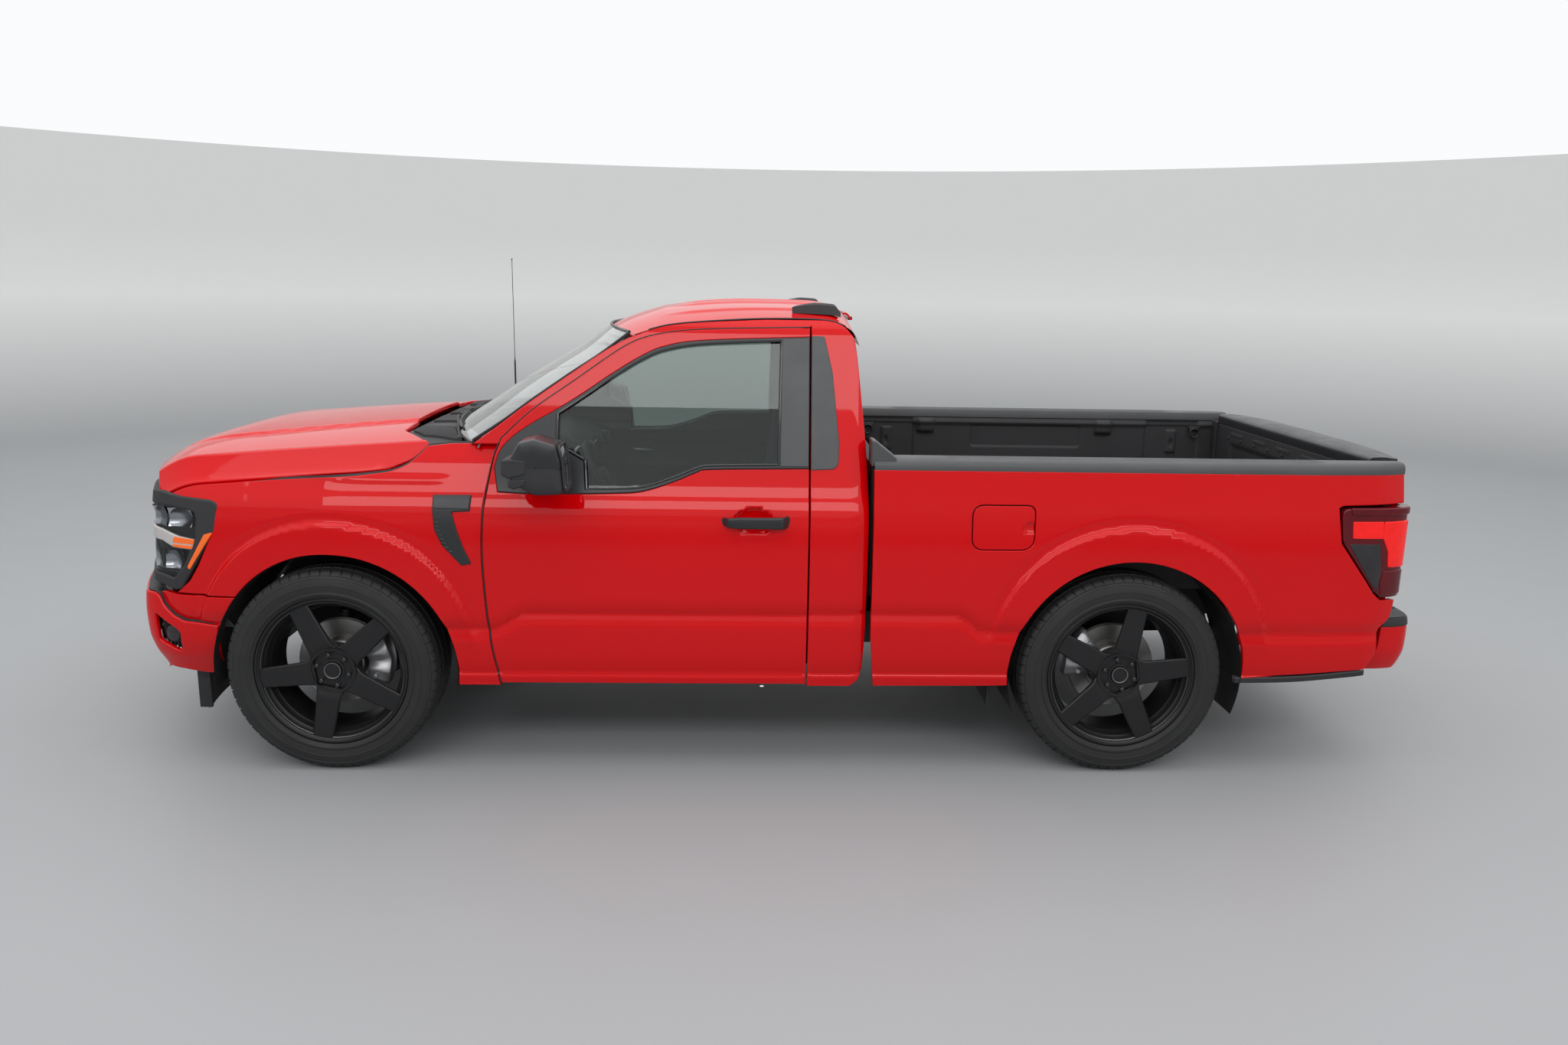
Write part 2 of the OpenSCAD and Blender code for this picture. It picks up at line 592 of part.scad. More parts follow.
// Dashboard across the cab
module dashboard() {
    edge = half_w - 205;
    color([0.1, 0.1, 0.1]) side_cut([[door_x0 + 20, 900], [door_x0 + 20, 1210], [door_x0 - 60, 1228],
        [door_x0 - 190, 1200], [door_x0 - 270, 1120], [door_x0 - 250, 960], [door_x0 - 120, 760],
        [door_x0 - 60, 740]], -edge, edge);
}

wheel_centre = [door_x0 - 400, 370, 1075];
column_tilt = 62;
// Steering wheel on its column stub
module steering_wheel() {
    color([0.08, 0.08, 0.08]) translate(wheel_centre) rotate([0, -column_tilt, 0]) union() {
        rotate_extrude($fn = 96) translate([176, 0]) circle(r = 15, $fn = 32);
        cylinder(r = 68, h = 34, $fn = 64, center = true);
        for (a = [0, 90, 180]) rotate([0, 0, a - 90]) translate([50, -18, -8]) cube([120, 36, 14]);
    }
}

// Bench seat: cushion, backrest and head restraints
module seat() {
    edge = half_w - 275;
    x = door_x1 + 630;
    color([0.25, 0.25, 0.26]) union() {
        side_cut([[x, 600], [x, 780], [x - 30, 812], [x - 430, 790], [x - 520, 770], [x - 560, 600]], -edge, edge);
        side_cut([[x - 440, 785], [x - 520, 1340], [x - 545, 1372], [x - 620, 1372], [x - 650, 1330],
            [x - 560, 700]], -edge, edge);
        for (s = [-1, 1]) block([x - 640, s * 370 - 130, 1365], [x - 550, s * 370 + 130, 1540]);
        for (s = [-1, 1]) block([x - 500, s * 400 - 60, 552], [x - 60, s * 400 + 60, 605]);
    }
}

antenna_top = 2020;
// Antenna rod on the right fender
module antenna() {
    x = fx - 395;
    y = -half_w + 196;
    color("black") union() {
        translate([x, y, 1288]) cylinder(r = 13, h = 22, $fn = 48);
        translate([x, y, 1300]) cylinder(r = 5, h = 220, $fn = 32);
        translate([x, y, 1500]) cylinder(r = 2.5, h = antenna_top - 1500, $fn = 32);
    }
}

// ---------------------------------------------------------------- front end

// Side-view outline of a fender, behind the headlight and above the bumper
FENDER_EDGE = concat([for (x = [640, 553, 377, 85, -149, -267, -343])
    [fx + x, hood_z(x, hood_half(x)) - 5 - panel_gap]],
    at_x(fx, [[-384, 1290], [-470, 1300], [-560, 1302]]),
    [[door_x0 - 34 + panel_gap, gz(1302)], [door_x0 - 16 + panel_gap, belt_height + 12],
    [door_x0 - 3 + panel_gap, 1019], [door_x0 + panel_gap, 839], [door_x0 - 19 + panel_gap, 562],
    [door_x0 - 51 + panel_gap, sill_height - 8]],
    at_x(fx, [[-440, sill_height - 11], [-440, 300], [405, 300], [405, 600], [470, 563], [579, 569], [636, 600],
    [686, 655], [676, 705], [654, 712], [596, 706], [538, 758], [499, 820], [431, 960], [424, 1027],
    [458, 1066], [556, 1074], [620, 1094]]));

// Front fenders: skin, wheel arch flare and the return flange under the hood
module fenders() {
    color("red") both_sides() difference() {
        union() {
            intersection() {
                difference() {
                    intersection() {
                        side_solid(FENDER_SIDE, 0, fx - 700, fx + 800);
                        nose_plan(0, 0, 1400);
                    }
                    intersection() {
                        side_solid(FENDER_SIDE, fender_thickness, fx - 701, fx + 800);
                        nose_plan(fender_thickness, -1, 1401);
                    }
                }
                side_cut(FENDER_EDGE, 0, half_w);
            }
            flare(fx, fx - 478);
        }
        y_cylinder(arch_radius, fx - 18, axle_z, 0, half_w + 1);
        block([fx - 500, 0, 0], [fx + 460, half_w + 1, sill_height - 8]);
    }
}

// Raised ring around a wheel arch, cut off where the arch ends
module flare(x, x1) {
    translate([x - 18, half_w, axle_z]) rotate([90, 0, 0]) difference() {
        rotate_extrude($fn = 120) polygon([[arch_radius - 5, 0], [arch_radius + 20, 0], [arch_radius + 75, 16],
            [arch_radius + 108, 34], [arch_radius + 100, 50], [arch_radius - 5, 50]]);
        translate([-700, -1400, -1]) cube([1400, 1440, 60]);
    }
}

liner_radius = arch_radius + 12;
// Liners over the front wheels
module wheel_liners() {
    inner = (rail_spacing + frame_rail_width) / 2 + 5;
    color([0.04, 0.04, 0.04]) both_sides() intersection() {
        difference() {
            y_cylinder(liner_radius + 5, fx - 12, axle_z, inner, half_w - 95);
            y_cylinder(liner_radius, fx - 12, axle_z, inner - 1, half_w - 94);
        }
        block([fx - 520, 0, axle_z + 60], [fx + 520, half_w, 960]);
    }
}

// Radiator support frame behind the grille
module radiator_support() {
    edge = half_w - 330;
    color("black") difference() {
        block([fx + 560, -edge, 590], [fx + 620, edge, 1040]);
        block([fx + 559, -edge + 60, 650], [fx + 580, edge - 60, 980]);
    }
}

grille_half = half_w - 392;
// Grille between the headlights
module grille() {
    color([0.05, 0.05, 0.05]) both_sides() intersection() {
        difference() {
            nose_plan(6, 706, 1090);
            nose_plan(66, 705, 1091);
        }
        block([fx + 500, 0, 700], [nose_x, grille_half, 1100]);
    }
}

// Headlights, wrapping from the grille to the side
module headlights() {
    color([0.8, 0.8, 0.8]) both_sides() intersection() {
        difference() {
            nose_plan(4, 700, 1110);
            nose_plan(104, 699, 1111);
        }
        side_cut(LAMP_EDGE, grille_half + 3, half_w);
    }
}

bumper_grow = 46;
// Front bumper shell, wrapping to the wheel arches
module front_bumper() {
    color("red") both_sides() intersection() {
        difference() {
            translate([bumper_grow, 0, 0]) nose_plan(-4, 330, 697);
            translate([bumper_grow, 0, 0]) nose_plan(86, 329, 698);
        }
        side_cut(BUMPER_EDGE, 0, half_w);
    }
}

// Air dam below the bumper
module air_dam() {
    color([0.04, 0.04, 0.04]) side_cut(at_x(fx, [[590, 170], [610, 184], [640, 390], [560, 390], [544, 200]]),
        -half_w + 225, half_w - 225);
}

// ---------------------------------------------------------------- hood

function hood_point(u, v, t) = let (
    rear = hood_rear(v),
    front = nose_x_at(v * hood_side) - 8,
    x = rear + (1 - pow(1 - u, 1.4)) * (front - rear),
    y = v * hood_half(x),
    z = hood_z(x, y)
) [fx + x - (u == 1 ? t * 0.3 : 0), y, z - t];

// The hood is thin along its edges and thicker inside
function hood_t(u, v) = u == 0 || u == 1 || abs(v) == 1 ? 5 : lid_thickness;

// Hood panel with its inner frame
module hood() {
    nu = 14;
    nv = 12;
    color("red") grid_solid([for (u = [0:nu]) [for (v = [-nv:nv]) hood_point(u / nu, v / nv, 0)]],
        [for (u = [0:nu]) [for (v = [-nv:nv]) hood_point(u / nu, v / nv, hood_t(u / nu, v / nv))]]);
}

// ---------------------------------------------------------------- doors

// Door on the left: skin and inner panel in one, with the window cut out
module door() {
    rear = door_x1;
    color("red") difference() {
        intersection() {
            union() {
                side_wall(CAB_SIDE, 0, frame_thickness, rear, door_x0 + 5);
                intersection() {
                    side_wall(CAB_SIDE, 0, door_thickness, rear, door_x0 + 5);
                    block([rear, 0, 0], [door_x0 + 5, half_w, belt_height - 40]);
                }
            }
            side_cut(DOOR_EDGE, 0, half_w);
        }
        side_cut(WINDOW_EDGE, 0, half_w);
        linear_extrude(2000) polygon([[rear - 1, half_w - 60], [rear, half_w - 60], [rear + 20, half_w - 340],
            [rear - 1, half_w - 340]]);
    }
}

// Window glass of the left door
module door_glass() {
    color([0.1, 0.12, 0.12, 0.6]) intersection() {
        side_wall(CAB_SIDE, 14, glass_thickness, door_x1, door_x0);
        side_cut(WINDOW_EDGE, 0, half_w);
    }
}

// Door mirror on the left, on its arm
module mirror_housing() {
    x = door_x0;
    color([0.04, 0.04, 0.04]) union() {
        side_cut([[x - 146, 1283], [x - 187, 1354], [x - 242, 1366], [x - 324, 1342], [x - 340, 1286],
            [x - 348, 1158], [x - 237, 1157], [x - 155, 1204]], half_w + 20, half_w + 200);
        difference() {
            side_cut([[x - 160, 1172], [x - 165, 1225], [x - 250, 1225], [x - 260, 1165]], half_w - 120, half_w + 21);
            side_solid(CAB_SIDE, 0, x - 300, x - 100);
        }
    }
}

// ---------------------------------------------------------------- load bed

gate_x = bed_x1 + 36;
gate_axis_z = bed_floor_z + 8;
wheelhouse_radius = arch_radius + 10;

// Inner bed: floor, front wall, side walls and wheelhouses
module bed_box() {
    floor_t = 28;
    x1 = gate_x + gate_thickness / 2 + 10;
    color([0.07, 0.07, 0.07]) difference() {
        union() {
            block([x1, -bed_half - bed_wall, bed_floor_z - floor_t], [bed_x0, bed_half + bed_wall, bed_floor_z]);
            block([bed_x0 - 50, -bed_half - bed_wall, bed_floor_z - 1], [bed_x0, bed_half + bed_wall, rail_height - 42]);
            both_sides() {
                block([x1, bed_half, bed_floor_z - floor_t], [bed_x0, bed_half + bed_wall, rail_height - 42]);
                y_cylinder(wheelhouse_radius + 16, rx, axle_z, wheelhouse_gap / 2, bed_half + 1);
            }
        }
        both_sides() y_cylinder(wheelhouse_radius, rx, axle_z, wheelhouse_gap / 2 + 16, half_w);
        block([rx - 700, -half_w, -tyre_radius], [rx + 700, half_w, bed_floor_z - floor_t]);
    }
}

// Side-view outline of a bed side
BED_EDGE = [[bed_x0 - 2, sill_height + 30], [bed_x0, 571], [bed_x0, rail_height - 41], [bed_x1 + 8, rail_height - 41],
    [bed_x1, 1124], [bed_x1, 763], [bed_x1 + 6, 699], [bed_x1 + 17, 651], [bed_x1 + 60, 609],
    [bed_x1 + 62, 505], [bed_x1 + 100, 432], [rx - 470, 401], [rx - 470, 300], [rx + 470, 300],
    [rx + 470, 405], [rx + 562, sill_height + 2], [bed_x0 - 20, sill_height - 2]];

// Taillight outline in side view
TAIL_EDGE = [[bed_x1 + 281, 1105], [bed_x1 - 60, 1116], [bed_x1 - 60, 730], [bed_x1 + 71, 732],
    [bed_x1 + 106, 762], [bed_x1 + 262, 966]];

// Bed sides: outer skin to inner wall, with the arches and lamp pockets cut
module bed_sides() {
    thick = half_w - bed_half - bed_wall + 3;
    color("red") both_sides() difference() {
        union() {
            intersection() {
                difference() {
                    side_wall(BED_SIDE, 0, thick, bed_x1, bed_x0);
                    block([bed_x1 - 1, 0, 0], [bed_x0 + 1, bed_half + bed_wall, 2000]);
                }
                side_cut([for (i = [len(BED_EDGE) - 1:-1:0]) BED_EDGE[i]], 0, half_w);
                linear_extrude(2000) polygon([[bed_x0 + 1, 0], [bed_x0 + 1, half_w], [bed_x1 + 360, half_w],
                    [bed_x1 + 160, half_w - 24], [bed_x1 - 1, half_w - 62], [bed_x1 - 1, 0]]);
            }
            flare(rx, rx - 478);
        }
        y_cylinder(arch_radius, rx - 18, axle_z, 0, half_w + 1);
        side_cut(grown([for (i = [0:len(TAIL_EDGE) - 1]) TAIL_EDGE[len(TAIL_EDGE) - 1 - i]], 0) , half_w - 130, half_w);
        block([rx - 465, 0, 0], [rx + 465, half_w + 1, axle_z]);
        fuel_pocket();
    }
}

fuel_x0 = rx + 627;
fuel_x1 = rx + 387;
fuel_z0 = 928;
fuel_z1 = 1098;
// Pocket of the fuel door, on the left side only
module fuel_pocket() {
    block([fuel_x1 - panel_gap, half_w - 58, fuel_z0 - panel_gap], [fuel_x0 + panel_gap, half_w, fuel_z1 + panel_gap]);
}

// Fuel door in its pocket
module fuel_door() {
    color("red") intersection() {
        side_wall(BED_SIDE, 0, 5, fuel_x1, fuel_x0);
        block([fuel_x1, 0, fuel_z0], [fuel_x0, half_w, fuel_z1]);
    }
}

// Caps along both bed rails
module rail_caps() {
    color([0.05, 0.05, 0.05]) both_sides() intersection() {
        block([bed_x1 + 4, bed_half - 4, rail_height - 41], [bed_x0, half_w - 50, rail_height]);
        linear_extrude(2000) polygon([[bed_x0 + 1, 0], [bed_x0 + 1, half_w], [bed_x1 + 360, half_w - 50],
            [bed_x1, half_w - 112], [bed_x1, 0]]);
    }
}

// Taillights at the rear corners of the bed
module taillights() {
    color([0.6, 0.02, 0.02]) both_sides() difference() {
        intersection() {
            side_cut([for (i = [0:len(TAIL_EDGE) - 1]) TAIL_EDGE[len(TAIL_EDGE) - 1 - i]], half_w - 129, half_w);
            linear_extrude(2000) polygon([[bed_x1 + 400, half_w - 16], [bed_x1 + 160, half_w - 22],
                [bed_x1, half_w - 60], [bed_x1 - 22, half_w - 90], [bed_x1 - 22, half_w - 129],
                [bed_x1 + 400, half_w - 129]]);
        }
    }
}

// Tailgate with its spoiler top, hinged along its bottom edge
module tailgate() {
    half = gate_width / 2;
    t = gate_thickness / 2;
    color("red") union() {
        y_cylinder(t, gate_x, gate_axis_z, -half, half);
        side_cut([[gate_x - t, gate_axis_z], [gate_x + t, gate_axis_z], [gate_x + t, rail_height - 2],
            [gate_x - 10, rail_height + 17], [gate_x - t - 90, rail_height - 4], [gate_x - t - 86, rail_height - 24],
            [gate_x - t, rail_height - 70]], -half, half);
    }
}

plate_recess = 16;
plate_hole_z = 570;
// Rear bumper with its plate recess, wrapped around the corners
module rear_bumper() {
    edge = half_w - 90;
    color("red") difference() {
        intersection() {
            side_cut([[tail_x + 46, 612], [tail_x + 40, 640], [tail_x + 4, 632], [tail_x, 520], [tail_x + 22, 430],
                [tail_x + 70, 408], [tail_x + 200, 420], [tail_x + 190, 596]], -edge, edge);
            linear_extrude(2000) polygon([[tail_x + 30, -edge], [tail_x + 200, -edge], [tail_x + 200, edge],
                [tail_x + 30, edge], [tail_x + 8, edge - 160], [tail_x, edge - 400], [tail_x, -edge + 400],
                [tail_x + 8, -edge + 160]]);
        }
        block([tail_x + 60, -edge + 60, 380], [tail_x + 201, edge - 60, 585]);
        block([tail_x - 1, -165, 492], [tail_x + plate_recess, 165, 700]);
        block([tail_x - 1, -receiver_bore, 300], [tail_x + 61, receiver_bore, receiver_z + receiver_bore / 2 + 14]);
        for (s = [-1, 1]) translate([tail_x + plate_recess - 1, s * plate_hole_spacing / 2, plate_hole_z])
            rotate([0, 90, 0]) cylinder(r = plate_hole_radius, h = 80, $fn = 32);
    }
}

// ---------------------------------------------------------------- placing

module tyre_front_left() {
    translate([fx, tyre_y, axle_z]) tyre();
}

module wheel_front_left() {
    translate([fx, tyre_y, axle_z]) rim(97);
}

module tyre_front_right() {
    mirror([0, 1, 0]) translate([fx, tyre_y, axle_z]) tyre();
}

module wheel_front_right() {
    mirror([0, 1, 0]) translate([fx, tyre_y, axle_z]) rim(97);
}

module tyre_rear_left() {
    translate([rx, tyre_y, axle_z]) tyre();
}

module wheel_rear_left() {
    translate([rx, tyre_y, axle_z]) rim(-83);
}

module tyre_rear_right() {
    mirror([0, 1, 0]) translate([rx, tyre_y, axle_z]) tyre();
}

module wheel_rear_right() {
    mirror([0, 1, 0]) translate([rx, tyre_y, axle_z]) rim(-83);
}

module door_left() {
    door();
}

module door_right() {
    mirror([0, 1, 0]) door();
}

module door_glass_left() {
    door_glass();
}

module door_glass_right() {
    mirror([0, 1, 0]) door_glass();
}

module mirror_left() {
    mirror_housing();
}

module mirror_right() {
    mirror([0, 1, 0]) mirror_housing();
}

module knuckle_left() {
    knuckle();
}

module knuckle_right() {
    mirror([0, 1, 0]) knuckle();
}

frame_rails();
engine_block();
driveline();
rear_axle();
leaf_springs();
fuel_tank();
exhaust();
front_suspension();
radiator_support();
cab_floor();
cab_sides();
cab_back();
roof();
cab_glass();
cowl_panel();
dashboard();
seat();
antenna();
fenders();
wheel_liners();
grille();
front_bumper();
air_dam();
headlights();
bed_box();
bed_sides();
rail_caps();
taillights();
rear_bumper();
door_left();
door_right();
door_glass_left();
door_glass_right();
mirror_left();
mirror_right();
hood();
tailgate();
fuel_door();
knuckle_left();
knuckle_right();
tyre_front_left();
tyre_front_right();
tyre_rear_left();
tyre_rear_right();
wheel_front_left();
wheel_front_right();
wheel_rear_left();
wheel_rear_right();
steering_wheel();
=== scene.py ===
"""Looks of the lowered regular-cab pickup truck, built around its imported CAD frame.

Frame: +X is forward, +Y is the truck's left, +Z is up, in metres. Outlines are in metres, or in
millimetres from a named station of the frame where mm() turns them into metres.
"""
import math

import bmesh
import bpy
import numpy as np
from mathutils import Matrix, Vector
from mathutils.geometry import delaunay_2d_cdt


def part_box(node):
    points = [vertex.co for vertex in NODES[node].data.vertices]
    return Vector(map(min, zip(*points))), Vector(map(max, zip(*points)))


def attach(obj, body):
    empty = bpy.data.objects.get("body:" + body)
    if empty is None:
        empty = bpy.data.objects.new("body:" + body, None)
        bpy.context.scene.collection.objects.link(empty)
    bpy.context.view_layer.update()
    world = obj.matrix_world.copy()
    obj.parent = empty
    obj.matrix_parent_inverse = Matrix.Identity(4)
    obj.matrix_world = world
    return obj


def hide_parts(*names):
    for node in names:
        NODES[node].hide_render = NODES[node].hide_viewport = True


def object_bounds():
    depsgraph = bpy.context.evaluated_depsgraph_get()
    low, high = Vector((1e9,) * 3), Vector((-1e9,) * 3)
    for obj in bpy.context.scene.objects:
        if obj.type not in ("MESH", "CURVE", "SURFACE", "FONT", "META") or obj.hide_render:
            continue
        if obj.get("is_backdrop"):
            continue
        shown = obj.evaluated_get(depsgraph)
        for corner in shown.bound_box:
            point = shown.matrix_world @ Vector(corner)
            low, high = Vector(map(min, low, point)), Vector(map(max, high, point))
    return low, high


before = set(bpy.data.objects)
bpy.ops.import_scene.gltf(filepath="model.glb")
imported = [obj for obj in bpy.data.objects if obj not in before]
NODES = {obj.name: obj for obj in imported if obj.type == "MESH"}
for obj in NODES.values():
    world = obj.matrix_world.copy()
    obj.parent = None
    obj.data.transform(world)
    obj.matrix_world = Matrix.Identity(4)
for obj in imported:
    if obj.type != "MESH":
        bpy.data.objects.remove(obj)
CAD_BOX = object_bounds()

# ---------------------------------------------------------------- stations from the frame


def middle(node, axis):
    low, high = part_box(node)
    return (low[axis] + high[axis]) / 2


FRONT_X = middle("tyre_front_left", 0)
REAR_X = middle("tyre_rear_left", 0)
TYRE_Y = middle("tyre_front_left", 1)
AXLE_Z = middle("tyre_front_left", 2)
TYRE_R = (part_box("tyre_front_left")[1].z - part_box("tyre_front_left")[0].z) / 2
TYRE_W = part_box("tyre_front_left")[1].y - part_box("tyre_front_left")[0].y
HALF_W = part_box("fenders")[1].y
DOOR_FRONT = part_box("door_left")[1].x
DOOR_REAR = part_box("door_left")[0].x
CAB_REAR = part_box("cab_sides")[0].x
BED_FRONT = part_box("bed_box")[1].x
BED_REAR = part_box("bed_sides")[0].x
TAIL_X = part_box("rear_bumper")[0].x
RAIL_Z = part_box("rail_caps")[1].z
BED_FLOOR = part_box("bed_box")[0].z + 0.028
GAP = 0.006
ARCH_R = 0.475
# The truck's left and right, as signs alone and with their names
SIDES = (1, -1)
HANDS = ((1, "left"), (-1, "right"))
# How far an arch's centre is behind its wheel's, the bed wall's half-width, and the step over
# which a surface's tangents are taken
ARCH_BACK, WALL_IN, TANGENT_STEP = 0.018, 0.828, 0.0012


def mm(points, x0=0.0, z0=0.0):
    """Points in millimetres, measured from stations x0 and z0, as metres."""
    return [(x0 + a / 1000, z0 + b / 1000) for a, b in points]


def rect(x0, y0, x1, y1):
    """Outline of a rectangle between two of its corners."""
    return [(x0, y0), (x1, y0), (x1, y1), (x0, y1)]


def lattice(a, b):
    return np.meshgrid(a, b, indexing="ij")


def facing(faces, keep):
    """The faces as they are, or turned over."""
    return faces if keep else [f[::-1] for f in faces]


# ---------------------------------------------------------------- curves


def curve(points):
    """Smooth line through a few (place, value) points, level beyond its ends."""
    x, y = np.array(sorted(points), float).T
    h = np.diff(x)
    d = np.diff(y) / h
    m = np.zeros_like(x)
    m[0], m[-1] = d[0], d[-1]
    same = d[:-1] * d[1:] > 0
    w1, w2 = 2 * h[1:] + h[:-1], h[1:] + 2 * h[:-1]
    m[1:-1][same] = (w1 + w2)[same] / (w1[same] / d[:-1][same] + w2[same] / d[1:][same])

    def at(t):
        t = np.clip(np.asarray(t, float), x[0], x[-1])
        i = np.clip(np.searchsorted(x, t, side="right") - 1, 0, len(h) - 1)
        s = (t - x[i]) / h[i]
        return (
            (1 + 2 * s) * (1 - s) ** 2 * y[i]
            + s * (1 - s) ** 2 * h[i] * m[i]
            + s * s * (3 - 2 * s) * y[i + 1]
            + s * s * (s - 1) * h[i] * m[i + 1]
        )

    return at


def smooth(t, a, b):
    """0 before a and 1 after b, smoothly."""
    s = np.clip((np.asarray(t, float) - a) / (b - a), 0, 1)
    return s * s * (3 - 2 * s)


def spline(points, per=8):
    """Open smooth line through 2-D or 3-D points."""
    p = np.array(points, float)
    if len(p) < 3:
        return p
    q = np.vstack([2 * p[0] - p[1], p, 2 * p[-1] - p[-2]])
    out = []
    for i in range(1, len(q) - 2):
        for s in np.arange(per) / per:
            a, b, c, d = q[i - 1], q[i], q[i + 1], q[i + 2]
            out.append(
                0.5 * (2 * b + (c - a) * s + (2 * a - 5 * b + 4 * c - d) * s * s
                       + (3 * b - a - 3 * c + d) * s ** 3)
            )
    out.append(p[-1])
    return np.array(out)


def rounded(points, radius, per=5):
    """Closed outline with its corners rounded; radius is one value or one per corner."""
    p = np.array(points, float)
    n = len(p)
    radii = [radius] * n if np.isscalar(radius) else radius
    out = []
    for i in range(n):
        a, b, c = p[i - 1], p[i], p[(i + 1) % n]
        u, v = a - b, c - b
        lu, lv = np.linalg.norm(u), np.linalg.norm(v)
        u, v = u / lu, v / lv
        cos = float(np.clip(u @ v, -1, 1))
        half = math.acos(cos) / 2
        if radii[i] <= 0 or half > 1.5:
            out.append(b)
            continue
        cut = min(radii[i] / math.tan(half), lu * 0.48, lv * 0.48)
        for k in range(per + 1):
            s = k / per
            out.append((1 - s) ** 2 * (b + u * cut) + 2 * s * (1 - s) * b + s * s * (b + v * cut))
    return np.array(out)


def resample(points, step, closed=True):
    """Outline with points no further apart than step; its own points stay."""
    p = np.array(points, float)
    out = []
    count = len(p) if closed else len(p) - 1
    for i in range(count):
        a, b = p[i], p[(i + 1) % len(p)]
        length = np.linalg.norm(b - a)
        if length < 1e-7:
            continue
        k = max(1, int(math.ceil(length / step)))
        out.extend(a + (b - a) * j / k for j in range(k))
    if not closed:
        out.append(p[-1])
    return np.array(out)


def signed_area(p):
    x, y = p[:, 0], p[:, 1]
    return 0.5 * float(np.sum(x * np.roll(y, -1) - np.roll(x, -1) * y))


def inward(p, d):
    """Closed anticlockwise outline moved inward by d."""
    a, c = np.roll(p, 1, 0), np.roll(p, -1, 0)
    e1, e2 = p - a, c - p
    e1 /= np.maximum(np.linalg.norm(e1, axis=1, keepdims=True), 1e-9)
    e2 /= np.maximum(np.linalg.norm(e2, axis=1, keepdims=True), 1e-9)
    n1 = np.stack([-e1[:, 1], e1[:, 0]], 1)
    n2 = np.stack([-e2[:, 1], e2[:, 0]], 1)
    k = 1 + np.sum(n1 * n2, 1, keepdims=True)
    return p + (n1 + n2) * d / np.maximum(k, 0.35)


def shrunk(p, d):
    """Closed outline moved inward by d, whichever way round it runs."""
    return inward(p, d if signed_area(p) > 0 else -d)


def inside(points, outline):
    """Which points lie inside a closed outline."""
    x, y = points[:, 0:1], points[:, 1:2]
    ax, ay = outline[:, 0][None], outline[:, 1][None]
    bx, by = np.roll(ax, -1, 1), np.roll(ay, -1, 1)
    hit = (ay > y) != (by > y)
    with np.errstate(divide="ignore", invalid="ignore"):
        cross = x < (bx - ax) * (y - ay) / (by - ay) + ax
    return (np.sum(hit & cross, 1) % 2) == 1


# ---------------------------------------------------------------- mesh building


class Shape:
    """Collects vertices, faces and, where they are known, exact normals."""

    def __init__(self):
        self.v, self.f, self.n = [], [], []
        self.count = 0

    def add(self, verts, faces, normals=None):
        verts = np.asarray(verts, float).reshape(-1, 3)
        self.v.append(verts)
        self.n.append(np.full(verts.shape, np.nan) if normals is None else np.asarray(normals, float))
        self.f.extend([tuple(int(i) + self.count for i in f) for f in faces])
        self.count += len(verts)

    def piece(self, name, body, finish, slot, replaces=(), angle=32):
        """Makes the object, sets its normals, and has it ride its body."""
        mesh = bpy.data.meshes.new(name)
        v, n = np.vstack(self.v), np.vstack(self.n)
        mesh.from_pydata([tuple(p) for p in v], [], self.f)
        mesh.materials.append(finish)
        mesh.polygons.foreach_set("use_smooth", [True] * len(mesh.polygons))
        known = ~np.isnan(n[:, 0])
        if not known.all():
            mesh.set_sharp_from_angle(angle=math.radians(angle))
        if known.any():
            loops = np.zeros(len(mesh.loops) * 3)
            mesh.corner_normals.foreach_get("vector", loops)
            loops = loops.reshape(-1, 3)
            index = np.zeros(len(mesh.loops), np.int32)
            mesh.loops.foreach_get("vertex_index", index)
            pick = known[index]
            loops[pick] = n[index[pick]]
            mesh.normals_split_custom_set([tuple(p) for p in loops])
        mesh.validate()
        mesh.update()
        obj = bpy.data.objects.new(name, mesh)
        bpy.context.scene.collection.objects.link(obj)
        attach(obj, body)
        if replaces:
            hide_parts(*replaces)
        return obj


def grid_faces(nu, nv, closed_u=False, closed_v=False):
    faces = []
    for i in range(nu if closed_u else nu - 1):
        for j in range(nv if closed_v else nv - 1):
            a, b = i * nv + j, i * nv + (j + 1) % nv
            c, d = ((i + 1) % nu) * nv + (j + 1) % nv, ((i + 1) % nu) * nv + j
            faces.append((a, d, c, b))
    return faces


def unit(a):
    return a / np.maximum(np.linalg.norm(a, axis=-1, keepdims=True), 1e-12)


def frame_of(point, u, v):
    """Place, outward normal and the two tangents of a surface given by point(u, v)."""
    e = TANGENT_STEP
    du = point(u + e, v) - point(u - e, v)
    dv = point(u, v + e) - point(u, v - e)
    return point(u, v), unit(np.cross(du, dv)), unit(du), unit(dv)


